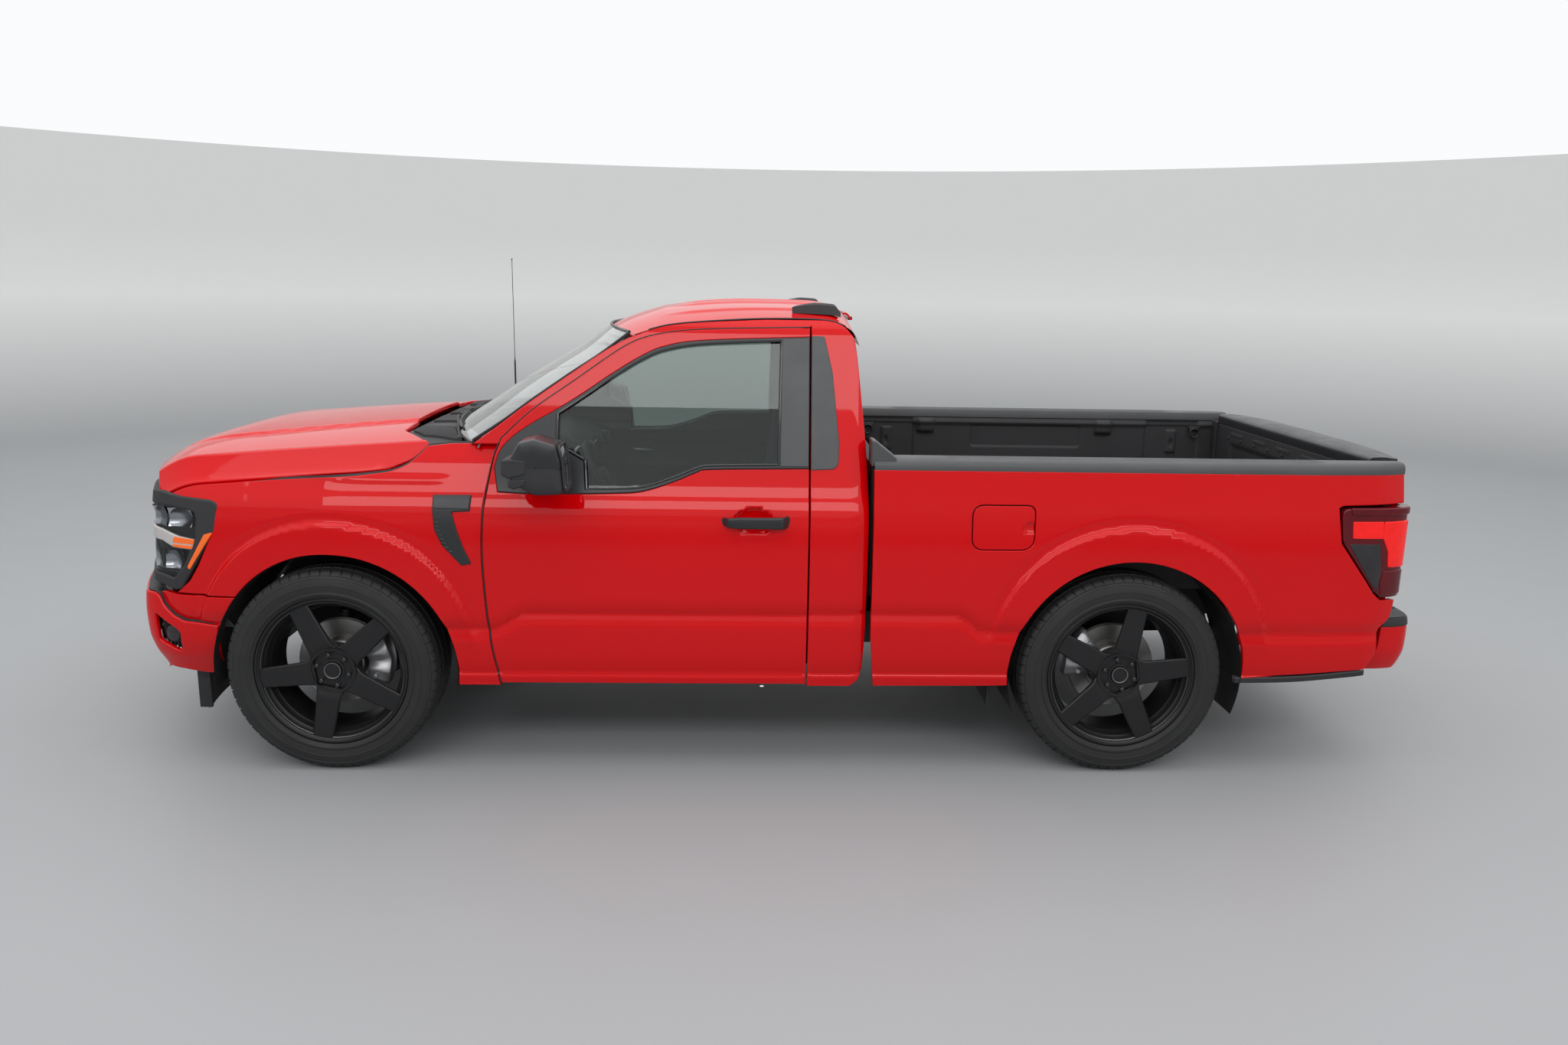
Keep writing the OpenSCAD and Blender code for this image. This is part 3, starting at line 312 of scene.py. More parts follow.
def panel(shape, outline, point, side=1, step=0.016, roll=0.003, depth=0.014, lip=0.0, holes=(),
          proud=0.0, closed=False):
    """Sheet panel: an outline in the surface's own coordinates, laid on point(u, v), with a rolled
    edge and a flange. side is +1 where the surface's normal is du x dv, and -1 where it is not."""
    loops = []
    for k, raw in enumerate([outline] + list(holes)):
        p = resample(raw, step * 0.75)
        if (signed_area(p) > 0) != (k == 0):
            p = p[::-1]
        loops.append(p)
    depths = [0.0, 0.15, 0.5, 1.0]
    rings = [[inward(p, roll * d) for d in depths] for p in loops]
    uv, fall, turn, edges = [], [], [], []
    for ring in rings:
        for d, p in zip(depths, ring):
            base = len(uv)
            uv.extend(map(tuple, p))
            fall.extend([roll - math.sqrt(max(roll ** 2 - (roll - roll * d) ** 2, 0))] * len(p))
            turn.extend([math.asin(1 - d) if d < 1 else 0.0] * len(p))
            edges.extend((base + i, base + (i + 1) % len(p)) for i in range(len(p)))
    outer = loops[0]
    lo, hi = outer.min(0), outer.max(0)
    us = np.arange(lo[0] + step / 2, hi[0], step)
    vs = np.arange(lo[1] + step / 2, hi[1], step)
    g = np.array(np.meshgrid(us, vs)).reshape(2, -1).T
    keep = inside(g, inward(outer, roll + step * 0.3))
    for p in loops[1:]:
        keep &= ~inside(g, inward(p, roll + step * 0.3))
    g = g[keep]
    uv.extend(map(tuple, g))
    fall.extend([0.0] * len(g))
    turn.extend([0.0] * len(g))
    got = delaunay_2d_cdt([Vector(p) for p in uv], edges, [], 0, 1e-7)
    co = np.array([tuple(p) for p in got[0]])
    origin = np.array([o[0] if len(o) else -1 for o in got[3]])
    tri = np.array([f for f in got[2] if len(f) == 3])
    centre = co[tri].mean(1)
    ok = inside(centre, outer)
    for p in loops[1:]:
        ok &= ~inside(centre, p)
    tri = tri[ok]
    fall = np.where(origin >= 0, np.array(fall)[np.maximum(origin, 0)], 0.0)
    turn = np.where(origin >= 0, np.array(turn)[np.maximum(origin, 0)], 0.0)
    p, n, tu, tv = frame_of(point, co[:, 0], co[:, 1])
    n = n * side
    # Direction away from the panel's middle at its rolled edge, from the outlines' own normals
    away = np.zeros_like(n)
    at = 0
    for ring in rings:
        for q in ring:
            out2 = unit(q - inward(q, 1e-4))
            for i in range(len(q)):
                hit = np.nonzero(origin == at + i)[0]
                if len(hit):
                    j = hit[0]
                    away[j] = tu[j] * out2[i, 0] + tv[j] * out2[i, 1]
            at += len(q)
    away = unit(away - n * np.sum(away * n, 1, keepdims=True))
    normal = unit(n * np.cos(turn)[:, None] + away * np.sin(turn)[:, None])
    place = p + n * (proud - fall)[:, None]
    # The triangles come anticlockwise in (u, v)
    if side < 0:
        tri = tri[:, ::-1]
    shape.add(place, [tuple(t) for t in tri], normal)
    if depth > roll or lip > 0:
        for ring in rings:
            q = ring[0]
            b, bn, bu, bv = frame_of(point, q[:, 0], q[:, 1])
            bn = bn * side
            out2 = unit(q - inward(q, 1e-4))
            w = bu * out2[:, 0:1] + bv * out2[:, 1:2]
            w = unit(w - bn * np.sum(w * bn, 1, keepdims=True))
            rows = [b + bn * (proud - roll), b + bn * (proud - depth)]
            k = len(q)
            faces = facing([(i, (i + 1) % k, k + (i + 1) % k, k + i) for i in range(k)], side < 0)
            shape.add(np.vstack(rows), faces, np.vstack([w, w]))
            if lip > 0:
                q2 = inward(q, lip)
                b2, bn2, _, _ = frame_of(point, q2[:, 0], q2[:, 1])
                bn2 = bn2 * side
                rows = [b + bn * (proud - depth), b2 + bn2 * (proud - depth)]
                shape.add(np.vstack(rows), faces, np.vstack([-bn, -bn2]))
    if closed:
        shape.add(p + n * (proud - depth), [tuple(t[::-1]) for t in tri], -n)


def solid(shape, outline, to_world, low, high, bevel=0.002):
    """Straight extrusion of an outline between two depths, its edges bevelled."""
    low, high = sorted((low, high))
    p = np.array(outline, float)
    if signed_area(p) < 0:
        p = p[::-1]
    q = inward(p, bevel)
    k = len(p)
    rows = [(q, low), (p, low + bevel), (p, high - bevel), (q, high)]
    verts = np.vstack([to_world(r[:, 0], r[:, 1], np.full(k, d)) for r, d in rows])
    faces = []
    for r in range(3):
        for i in range(k):
            faces.append((r * k + i, r * k + (i + 1) % k, (r + 1) * k + (i + 1) % k, (r + 1) * k + i))
    faces.append(tuple(range(k))[::-1])
    faces.append(tuple(3 * k + i for i in range(k)))
    shape.add(verts, faces)


def side_plane(x, z, y):
    return np.stack([x, y, z], -1)


def cross_plane(y, z, x):
    return np.stack([x, y, z], -1)


def lathe(shape, profile, centre, axis="y", side=1, segments=64):
    """Turned part: profile of (radius, place along the axis) around a centre."""
    r, a = np.array(profile, float).T
    t = np.arange(segments) * (2 * math.pi / segments)
    c, s = np.cos(t)[:, None], np.sin(t)[:, None]
    along = np.broadcast_to(a[None] * side, (segments, len(r)))
    if axis == "y":
        v = np.stack([r * c, along, r * s], -1)
    elif axis == "z":
        v = np.stack([r * c, r * s, along], -1)
    else:
        v = np.stack([along, r * c, r * s], -1)
    faces = grid_faces(segments, len(r), closed_u=True)
    shape.add(v.reshape(-1, 3) + np.array(centre, float), facing(faces, (axis == "y") == (side < 0)))


def tube(shape, path, radius, sides=10, caps=True):
    """Round bar along a path; radius is one value or one per point."""
    p = np.array(path, float)
    k = len(p)
    rad = np.full(k, radius) if np.isscalar(radius) else np.array(radius, float)
    t = unit(np.gradient(p, axis=0))
    ref = np.array([0, 0, 1.0]) if abs(t[0, 2]) < 0.9 else np.array([1.0, 0, 0])
    rows = []
    a = unit(np.cross(t[0], ref))
    for i in range(k):
        a = unit(a - t[i] * (a @ t[i]))
        b = np.cross(t[i], a)
        ang = np.arange(sides) * 2 * math.pi / sides
        rows.append(p[i] + rad[i] * (np.cos(ang)[:, None] * a + np.sin(ang)[:, None] * b))
    faces = [f[::-1] for f in grid_faces(k, sides, closed_v=True)]
    if caps:
        faces.append(tuple(range(sides))[::-1])
        faces.append(tuple((k - 1) * sides + i for i in range(sides)))
    shape.add(np.vstack(rows), faces)


def block(shape, low, high, bevel=0.004):
    """Box with rounded edges."""
    bm = bmesh.new()
    bmesh.ops.create_cube(bm, size=1.0)
    low, high = np.array(low, float), np.array(high, float)
    for v in bm.verts:
        v.co = Vector((low + high) / 2 + np.array(v.co) * (high - low))
    bevel = min(bevel, float(min(high - low)) * 0.45)
    bmesh.ops.bevel(bm, geom=list(bm.edges), offset=bevel, segments=2, affect="EDGES", profile=0.5)
    bm.verts.index_update()
    verts = [tuple(v.co) for v in bm.verts]
    faces = [tuple(v.index for v in f.verts) for f in bm.faces]
    bm.free()
    shape.add(verts, faces)


def sheet(shape, grid, side=1, thick=0.0, normals=True):
    """Open or thick sheet through a grid of points (rows by columns)."""
    g = np.array(grid, float)
    nu, nv = g.shape[:2]
    n = unit(np.cross(np.gradient(g, axis=0), np.gradient(g, axis=1))) * side
    faces = facing(grid_faces(nu, nv), side > 0)
    shape.add(g.reshape(-1, 3), faces, n.reshape(-1, 3) if normals else None)
    if thick:
        back = g - n * thick
        shape.add(back.reshape(-1, 3), facing(faces, False), -n.reshape(-1, 3) if normals else None)
        rim = ([(i, 0) for i in range(nu)] + [(nu - 1, j) for j in range(1, nv)]
               + [(i, nv - 1) for i in range(nu - 2, -1, -1)] + [(0, j) for j in range(nv - 2, 0, -1)])
        k = len(rim)
        v = [g[r] for r in rim] + [back[r] for r in rim]
        shape.add(v, [(i, (i + 1) % k, k + (i + 1) % k, k + i) for i in range(k)])


# ---------------------------------------------------------------- materials


COAT_ROUGH, COAT_IOR, IOR = 0.03, 1.42, 1.45


def material(name, color, rough=0.4, metal=0.0, coat=0.0, tone=(3.0, 0.1), rough_by=(9.0, 0.06),
             grain=(700.0, 0.1), specks=None, through=0.0, glow=None, pattern=None):
    """Principled material whose colour, roughness and surface all vary from procedural noise.
    tone, rough_by and grain are (scale, amount); specks adds bright flakes; pattern adds a woven
    or ribbed relief as (kind, scale, strength)."""
    m = bpy.data.materials.new(name)
    m.use_nodes = True
    tree = m.node_tree
    nodes, link = tree.nodes, tree.links.new
    bsdf = nodes["Principled BSDF"]
    bsdf.inputs["Metallic"].default_value = metal
    bsdf.inputs["Coat Weight"].default_value = coat
    bsdf.inputs["Coat Roughness"].default_value = COAT_ROUGH
    bsdf.inputs["Transmission Weight"].default_value = through
    bsdf.inputs["IOR"].default_value = IOR
    bsdf.inputs["Specular IOR Level"].default_value = 0.0 if coat > 0.8 and not through else 0.5
    place = nodes.new("ShaderNodeTexCoord")

    def noise(scale, detail=3.0):
        n = nodes.new("ShaderNodeTexNoise")
        n.inputs["Scale"].default_value = scale
        n.inputs["Detail"].default_value = detail
        link(place.outputs["Object"], n.inputs["Vector"])
        return n.outputs["Fac"]

    def mix(fac, a, b):
        n = nodes.new("ShaderNodeMix")
        n.data_type = "RGBA"
        link(fac, n.inputs["Factor"])
        for socket, value in ((n.inputs[6], a), (n.inputs[7], b)):
            if isinstance(value, tuple):
                socket.default_value = value
            else:
                link(value, socket)
        return n.outputs[2]

    def shade(k):
        return tuple(min(c * k, 1.0) for c in color) + (1.0,)

    out = mix(noise(tone[0]), shade(1 - tone[1]), shade(1 + tone[1]))
    if specks:
        cell = nodes.new("ShaderNodeTexVoronoi")
        cell.inputs["Scale"].default_value = specks[0]
        link(place.outputs["Object"], cell.inputs["Vector"])
        fade = nodes.new("ShaderNodeMapRange")
        fade.inputs["From Min"].default_value = 0.55
        fade.inputs["From Max"].default_value = 1.0
        fade.inputs["To Max"].default_value = specks[1]
        link(cell.outputs["Color"], fade.inputs["Value"])
        out = mix(fade.outputs["Result"], out, shade(1.9))
    link(out, bsdf.inputs["Base Color"])
    span = nodes.new("ShaderNodeMapRange")
    span.inputs["From Min"].default_value = 0.3
    span.inputs["From Max"].default_value = 0.7
    span.inputs["To Min"].default_value = max(rough - rough_by[1], 0.0)
    span.inputs["To Max"].default_value = min(rough + rough_by[1], 1.0)
    link(noise(rough_by[0], 4.0), span.inputs["Value"])
    link(span.outputs["Result"], bsdf.inputs["Roughness"])
    bump = nodes.new("ShaderNodeBump")
    bump.inputs["Strength"].default_value = grain[1]
    bump.inputs["Distance"].default_value = 0.001
    link(noise(grain[0], 2.0), bump.inputs["Height"])
    last = bump
    if pattern:
        kind, scale, strength = pattern
        wave = nodes.new("ShaderNodeTexWave" if kind != "cells" else "ShaderNodeTexVoronoi")
        wave.inputs["Scale"].default_value = scale
        if kind != "cells":
            wave.bands_direction = kind
        link(place.outputs["Object"], wave.inputs["Vector"])
        relief = nodes.new("ShaderNodeBump")
        relief.inputs["Strength"].default_value = strength
        relief.inputs["Distance"].default_value = 0.002
        link(wave.outputs[0], relief.inputs["Height"])
        link(bump.outputs["Normal"], relief.inputs["Normal"])
        last = relief
    link(last.outputs["Normal"], bsdf.inputs["Normal"])
    if coat:
        bsdf.inputs["Coat IOR"].default_value = COAT_IOR
    if glow:
        bsdf.inputs["Emission Color"].default_value = tuple(color) + (1.0,)
        bsdf.inputs["Emission Strength"].default_value = glow
    return m


PAINT = material("paint_red", (0.56, 0.0001, 0.0020), 0.42, coat=0.85, tone=(1.3, 0.03),
                 grain=(1500, 0.012), specks=(2600, 0.12))
TRIM = material("trim_black", (0.018, 0.019, 0.021), 0.34, tone=(12, 0.12), grain=(1600, 0.06))
APPLIQUE = material("applique_grey", (0.055, 0.058, 0.062), 0.42, tone=(20, 0.1), grain=(1300, 0.1),
                    specks=(900, 0.3))
PLASTIC = material("plastic_grain", (0.022, 0.022, 0.024), 0.56, tone=(14, 0.18), grain=(800, 0.35))
GLOSS = material("gloss_black", (0.008, 0.008, 0.009), 0.12, coat=0.6, tone=(8, 0.2), grain=(900, 0.02))
LINER = material("bed_coating", (0.020, 0.020, 0.022), 0.62, tone=(9, 0.2), grain=(260, 0.9),
                 specks=(420, 0.25))
CAP = material("rail_cap", (0.060, 0.062, 0.065), 0.46, tone=(10, 0.14), grain=(900, 0.3))
RUBBER = material("tyre_rubber", (0.016, 0.016, 0.0165), 0.66, tone=(7, 0.25), grain=(380, 0.22),
                  rough_by=(5, 0.1))
ALLOY = material("satin_black_alloy", (0.022, 0.022, 0.023), 0.36, metal=0.55, tone=(16, 0.12),
                 grain=(1200, 0.08))
EDGE = material("worn_alloy_edge", (0.20, 0.20, 0.205), 0.3, metal=0.9, tone=(30, 0.2), grain=(1200, 0.06))
STEEL = material("brushed_steel", (0.42, 0.42, 0.42), 0.3, metal=1.0, tone=(40, 0.12), grain=(600, 0.1),
                 pattern=("Z", 300, 0.06))
DISC = material("brake_disc", (0.30, 0.29, 0.28), 0.4, metal=1.0, tone=(24, 0.2), grain=(500, 0.15))
CAST = material("cast_iron", (0.09, 0.09, 0.092), 0.6, metal=0.6, tone=(11, 0.3), grain=(240, 0.5))
SILVER = material("cast_silver", (0.46, 0.46, 0.47), 0.42, metal=0.8, tone=(18, 0.15), grain=(420, 0.25))
CHASSIS = material("chassis_black", (0.016, 0.016, 0.017), 0.5, tone=(6, 0.3), grain=(300, 0.3))
TANK = material("tank_plastic", (0.03, 0.03, 0.031), 0.5, tone=(5, 0.2), grain=(220, 0.3))
CLEAR = material("clear_glass", (0.93, 0.97, 0.95), 0.0, tone=(1, 0.01), rough_by=(3, 0.0),
                 grain=(4, 0.0), through=1.0)
TINT = material("tinted_glass", (0.42, 0.50, 0.47), 0.0, tone=(1, 0.02), rough_by=(3, 0.0),
                grain=(4, 0.0), through=1.0)
LENS = material("lamp_lens", (0.74, 0.76, 0.78), 0.02, tone=(4, 0.01), rough_by=(9, 0.01),
                grain=(40, 0.01), through=1.0)
CHROME = material("lamp_reflector", (0.40, 0.41, 0.43), 0.16, metal=1.0, tone=(60, 0.15), grain=(120, 0.2))
AMBER = material("amber_reflector", (0.85, 0.13, 0.005), 0.22, coat=0.8, tone=(30, 0.15), grain=(200, 0.05),
                 pattern=("cells", 220, 0.5), glow=0.12)
WHITE = material("white_light_bar", (0.46, 0.43, 0.42), 0.28, coat=0.8, tone=(25, 0.08), grain=(200, 0.05))
RED_DARK = material("red_lens_dark", (0.10, 0.002, 0.006), 0.12, coat=1.0, tone=(14, 0.3),
                    grain=(300, 0.02))
RED_LIT = material("red_lens_bright", (0.85, 0.012, 0.010), 0.15, coat=1.0, tone=(30, 0.15),
                   grain=(200, 0.02), pattern=("cells", 160, 0.35), glow=0.15)
SMOKE = material("smoked_lens", (0.028, 0.027, 0.03), 0.14, coat=1.0, tone=(18, 0.3), grain=(200, 0.02),
                 pattern=("Z", 60, 0.2))
CLOTH = material("seat_cloth", (0.060, 0.062, 0.068), 0.85, tone=(30, 0.2), grain=(500, 0.5),
                 pattern=("DIAGONAL", 180, 0.6))
VINYL = material("soft_vinyl", (0.028, 0.028, 0.031), 0.58, tone=(9, 0.15), grain=(420, 0.4))
HEADLINER = material("headliner", (0.30, 0.29, 0.28), 0.9, tone=(18, 0.08), grain=(500, 0.4))
CARPET = material("carpet", (0.020, 0.020, 0.021), 0.95, tone=(25, 0.3), grain=(350, 1.0))
MIRROR = material("mirror_glass", (0.75, 0.77, 0.78), 0.03, metal=1.0, tone=(2, 0.02), grain=(20, 0.0))

FINISH = {"frame_rails": CHASSIS, "rear_axle": CHASSIS, "leaf_springs": CHASSIS,
          "front_suspension": CHASSIS, "radiator_support": CHASSIS, "engine_block": CAST,
          "knuckle_left": SILVER, "knuckle_right": SILVER, "driveline": STEEL, "exhaust": STEEL,
          "fuel_tank": TANK, "wheel_liners": PLASTIC, "cowl_panel": PLASTIC, "antenna": PLASTIC,
          "grille": PLASTIC, "air_dam": PLASTIC, "rail_caps": CAP, "mirror_left": PLASTIC,
          "mirror_right": PLASTIC, "bed_box": LINER, "cab_floor": CARPET, "cab_glass": CLEAR,
          "door_glass_left": TINT, "door_glass_right": TINT, "dashboard": VINYL,
          "steering_wheel": VINYL, "seat": CLOTH, "headlights": GLOSS, "taillights": RED_DARK,
          "cab_back": PAINT, }
for name, node in NODES.items():
    finish = FINISH.get(name, PAINT)
    if name.startswith("tyre"):
        finish = RUBBER
    elif name.startswith("wheel_") and name != "wheel_liners":
        finish = ALLOY
    node.data.materials.clear()
    node.data.materials.append(finish)

# ---------------------------------------------------------------- body skin

# Inset of the side from the flares' outermost line, by height, without its creases
LOW = [(0.362, 0.036), (0.40, 0.030), (0.50, 0.021), (0.60, 0.016), (0.70, 0.0145), (0.80, 0.0145),
       (0.90, 0.016), (1.00, 0.022), (1.06, 0.032), (1.09, 0.043), (1.126, 0.060)]
CAB_UP = [(1.15, 0.069), (1.20, 0.084), (1.30, 0.110), (1.40, 0.136), (1.50, 0.163), (1.60, 0.191),
          (1.70, 0.221), (1.757, 0.242), (1.795, 0.275)]
INSET = {
    "cab": curve(LOW + CAB_UP),
    "front": curve(LOW[:-1] + [(1.13, 0.062), (1.18, 0.084), (1.24, 0.110), (1.31, 0.150)]),
    "bed": curve(LOW[:6] + [(0.90, 0.015), (1.05, 0.025), (1.15, 0.038), (1.235, 0.050), (1.28, 0.056)]),
}
CREASE_HIGH, CREASE_LOW = 0.655, 0.588
ROCKER_Z = 0.411
front_arch_x, rear_arch_x = FRONT_X - ARCH_BACK, REAR_X - ARCH_BACK
FLARES = ((front_arch_x, 0.598), (rear_arch_x, 0.612))
FLARE_PROUD = 0.0155

# Plan of the nose: inset from the flares' line by distance ahead of the front axle
NOSE = [(-60, 14), (120, 50), (300, 60), (440, 70), (560, 85), (640, 110), (695, 145), (720, 195),
        (752, 265), (793, 365), (843, 515), (885, 715), (905, 1015)]
nose_inset = curve(mm(NOSE, FRONT_X))


def crease_z(x):
    """Height of the lower body crease: it drops towards each wheel."""
    x = np.asarray(x, float)
    front = smooth(x, DOOR_FRONT - 0.17, DOOR_FRONT - 0.02)
    rear = 1 - smooth(x, REAR_X + 0.555, REAR_X + 0.675)
    return CREASE_HIGH - (CREASE_HIGH - CREASE_LOW) * np.maximum(front, rear)


def crease(z, at, above, below, size):
    """A valley at a height: the skin tucks in above it and kicks out quickly below."""
    d = np.asarray(z) - at
    up = np.clip(1 - d / above, 0, 1) ** 2 * (d >= 0)
    down = np.clip(1 + d / below, 0, 1) ** 1.2 * (d < 0)
    return size * (up + down)


def flare(x, z):
    """How far the wheel arch flares stand out."""
    out = np.zeros(np.broadcast(x, z).shape)
    for cx, top in FLARES:
        r = np.hypot(x - cx, z - AXLE_Z)
        rise = np.degrees(np.arctan2(z - AXLE_Z, np.abs(x - cx)))
        full = smooth(rise, 8, 30)
        width = top - 0.030 * (1 - smooth(rise, 10, 60))
        out += (full * (FLARE_PROUD * (1 - smooth(r, width - 0.018, width))
                        - 0.004 * np.exp(-(((r - width - 0.012) / 0.016) ** 2))))
    return out


def side_y(x, z, zone):
    """Distance of the painted side from the truck's middle."""
    x, z = np.asarray(x, float), np.asarray(z, float)
    inset = (INSET[zone](z) + crease(z, crease_z(x), 0.065, 0.050, 0.014)
             + crease(z, ROCKER_Z, 0.09, 0.014, 0.009))
    if zone == "front":
        inset = inset + (nose_inset(x) - 0.014) * smooth(x, FRONT_X - 0.06, FRONT_X + 0.3) ** 0.5
        ridge = np.exp(-(((z - 1.168 - 0.02 * smooth(x, FRONT_X - 0.2, FRONT_X + 0.3)) / 0.012) ** 2))
        inset = (inset - 0.0045 * ridge * smooth(x, FRONT_X - 0.50, FRONT_X - 0.40)
                 * (1 - smooth(x, FRONT_X - 0.1, FRONT_X + 0.25)))
    if zone == "bed":
        corner = np.clip((BED_REAR + 0.16 - x) / 0.16, 0, 1)
        inset = inset + 0.040 * corner ** 1.8 + 0.012 * smooth(BED_REAR + 0.4 - x, 0, 0.3)
    if zone == "cab":
        inset = inset + 0.030 * np.clip((CAB_REAR + 0.075 - x) / 0.075, 0, 1) ** 2
    return HALF_W - inset + flare(x, z)


def side_skin(zone, side, out=0.0):
    """Surface of one side of a zone, moved out by out."""
    def point(x, z):
        return np.stack([x, side * (side_y(x, z, zone) + out), z], -1)
    return point


def side_panel(shape, outline, zone, side, **more):
    """Panel on the body side; the surface's own normal points to the truck's right."""
    panel(shape, outline, side_skin(zone, side), side=-side, **more)


def arc(cx, cz, r, a0, a1, step=4.0):
    """Arc between two angles in degrees."""
    k = max(2, int(abs(a1 - a0) / step))
    a = np.radians(np.linspace(a0, a1, k + 1))
    return np.stack([cx + r * np.cos(a), cz + r * np.sin(a)], 1)


def join(*parts):
    """One outline from its parts in order."""
    return np.vstack([np.array(p, float).reshape(-1, 2) for p in parts])


# Shut line of the door, from its lower front corner up and back along the roof rail
door_front_line = spline(mm([(-51, 366), (-19, 562), (0, 839), (-3, 1019), (-16, 1138), (-39, 1256),
                             (-66, 1325)], DOOR_FRONT), 6)
door_top_line = spline(mm([(-66, 1325), (-182, 1432), (-333, 1538), (-483, 1644), (-572, 1696),
                           (-661, 1723), (-779, 1740), (-957, 1749), (-1249, 1757)], DOOR_FRONT), 6)
DOOR_LINE = join(door_front_line, door_top_line[1:])

# Black surround of the side window: its upper and lower lines on the door
surround_top = spline(mm([(-1249, 1722), (-839, 1704), (-692, 1681), (-603, 1645), (-484, 1573),
                          (-365, 1492), (-266, 1431), (-184, 1385), (-109, 1333), (-60, 1278),
                          (-40, 1215)], DOOR_FRONT), 5)
surround_low = spline(mm([(-55, 1126), (-200, 1120), (-493, 1125), (-610, 1134), (-728, 1170), (-816, 1206),
                          (-874, 1217), (-1249, 1224)], DOOR_FRONT), 5)
SURROUND = join(surround_top, surround_low)
GLASS_EDGE = join(spline(mm([(-1138, 1706), (-839, 1690), (-692, 1666), (-603, 1630), (-484, 1558),
                             (-365, 1477), (-278, 1420)], DOOR_FRONT), 5),
                  mm([(-278, 1308), (-386, 1247), (-393, 1141)], DOOR_FRONT),
                  spline(mm([(-493, 1141), (-610, 1150), (-728, 1187), (-816, 1222), (-874, 1232),
                             (-1130, 1238)], DOOR_FRONT), 5))


def circle_x(r, z):
    """Where an arch's circle is at height z, as a distance from its centre."""
    return math.sqrt(r * r - (z - AXLE_Z) ** 2)


# ---------------------------------------------------------------- painted panels

SEAM_Z = 0.703


def rise_at(z, r=ARCH_R):
    """Angle at which a circle about the axle is at height z."""
    return math.degrees(math.asin((z - AXLE_Z) / r))


# Hood: centre line, half-width and crown, as in the CAD solid
hood_mid = curve(mm([(-380, 1336), (-190, 1323), (108, 1301), (405, 1276), (583, 1259), (750, 1222),
                     (850, 1187), (908, 1150)], FRONT_X))
HOOD_SIDE = HALF_W - 0.131
HOOD_CREASE = HALF_W - 0.215
HOOD_REAR_HALF = HALF_W - 0.205
hood_half = curve([(FRONT_X - 0.372, HOOD_REAR_HALF), (FRONT_X - 0.30, HOOD_SIDE - 0.03),
                   (FRONT_X - 0.18, HOOD_SIDE - 0.006), (FRONT_X - 0.10, HOOD_SIDE),
                   (FRONT_X + 1, HOOD_SIDE)])
NOSE_AT = curve([(HALF_W - b / 1000, FRONT_X + a / 1000) for a, b in NOSE])


def hood_z(x, y):
    """Height of the hood, with its crown, side beads, raised middle and fall at the nose."""
    a = np.abs(y)
    t = np.clip((a - HOOD_CREASE) / (HOOD_SIDE - HOOD_CREASE), 0, 1.2)
    fall = 0.0907 * (1.22 * t - 0.22 * t ** 3) + 0.004 * np.exp(-(((t - 0.80) / 0.10) ** 2))
    crown = 0.040 * (np.minimum(a, HOOD_CREASE) / HOOD_CREASE) ** 2.5
    bead = (0.0035 * np.exp(-(((a - HOOD_CREASE + 0.012) / 0.014) ** 2))
            * (1 - smooth(x, FRONT_X + 0.55, FRONT_X + 0.85)))
    dome_half = 0.34 + 0.16 * np.clip((x - FRONT_X + 0.3) / 1.1, 0, 1)
    dome = (0.011 * (1 - smooth(a, dome_half - 0.022, dome_half + 0.022))
            * (1 - smooth(x, FRONT_X + 0.50, FRONT_X + 0.84)))
    nose_fall = 0.046 * np.clip(1 - (NOSE_AT(a) - 0.03 - x) / 0.17, 0, 1) ** 2
    return hood_mid(x) - crown - fall + bead + dome - nose_fall


def hood_top(x, y):
    return np.stack([x, y, hood_z(x, y)], -1)


def hood_rear(y):
    v = np.abs(y) / HOOD_REAR_HALF
    return FRONT_X - np.where(v < 0.7, 0.203 + 0.012 * v, 0.211 + (v - 0.7) / 0.3 * 0.160)


rear_y = np.linspace(-HOOD_REAR_HALF, HOOD_REAR_HALF, 61)
side_x = np.linspace(FRONT_X - 0.36, FRONT_X + 0.70, 40)
front_y = np.linspace(HOOD_SIDE, -HOOD_SIDE, 91)
front_line = np.stack([NOSE_AT(np.abs(front_y)) - 0.044, front_y], 1)
side_x = side_x[side_x < front_line[0, 0] - 0.02]
hood_outline = join(
    np.stack([hood_rear(rear_y), rear_y], 1),
    np.stack([side_x, hood_half(side_x)], 1), front_line,
    np.stack([side_x[::-1], -hood_half(side_x[::-1])], 1))
s = Shape()
panel(s, hood_outline, hood_top, 1, step=0.016, roll=0.006, depth=0.018)
# Front edge turned down over the grille and lamps
drop = np.linspace(0, 1, 9)
lip = []
for k in range(len(front_line)):
    x, y = front_line[k]
    top = float(hood_z(x, y))
    low = min(1.104 + 0.004 * min(abs(y) / 0.6, 1), top - 0.004)
    out = 0.004 * np.sin(drop * math.pi * 0.9)
    n = Vector((1, 0, 0)).lerp(Vector((0.35, math.copysign(1, y), 0)),
                               min(max((abs(y) - 0.55) / 0.35, 0), 1)).normalized()
    lip.append([(x - 0.004 + n.x * o, y + n.y * o, top - 0.003 - (top - 0.003 - low) * d) for o,
                d in zip(out, drop)])
sheet(s, lip, side=1, thick=0.006)
s.piece("hood_skin", "hood", PAINT, "paint", ["hood"])
inner = Shape()
holes = [rect(x0, y0, x1, y1) for x0, x1 in ((FRONT_X - 0.06, FRONT_X + 0.22),
                                             (FRONT_X + 0.30, FRONT_X + 0.56)) for y0,
         y1 in ((-0.62, -0.24), (-0.17, 0.17), (0.24, 0.62))]


def hood_under(x, y):
    return np.stack([x, y, hood_z(x, y) - 0.030], -1)


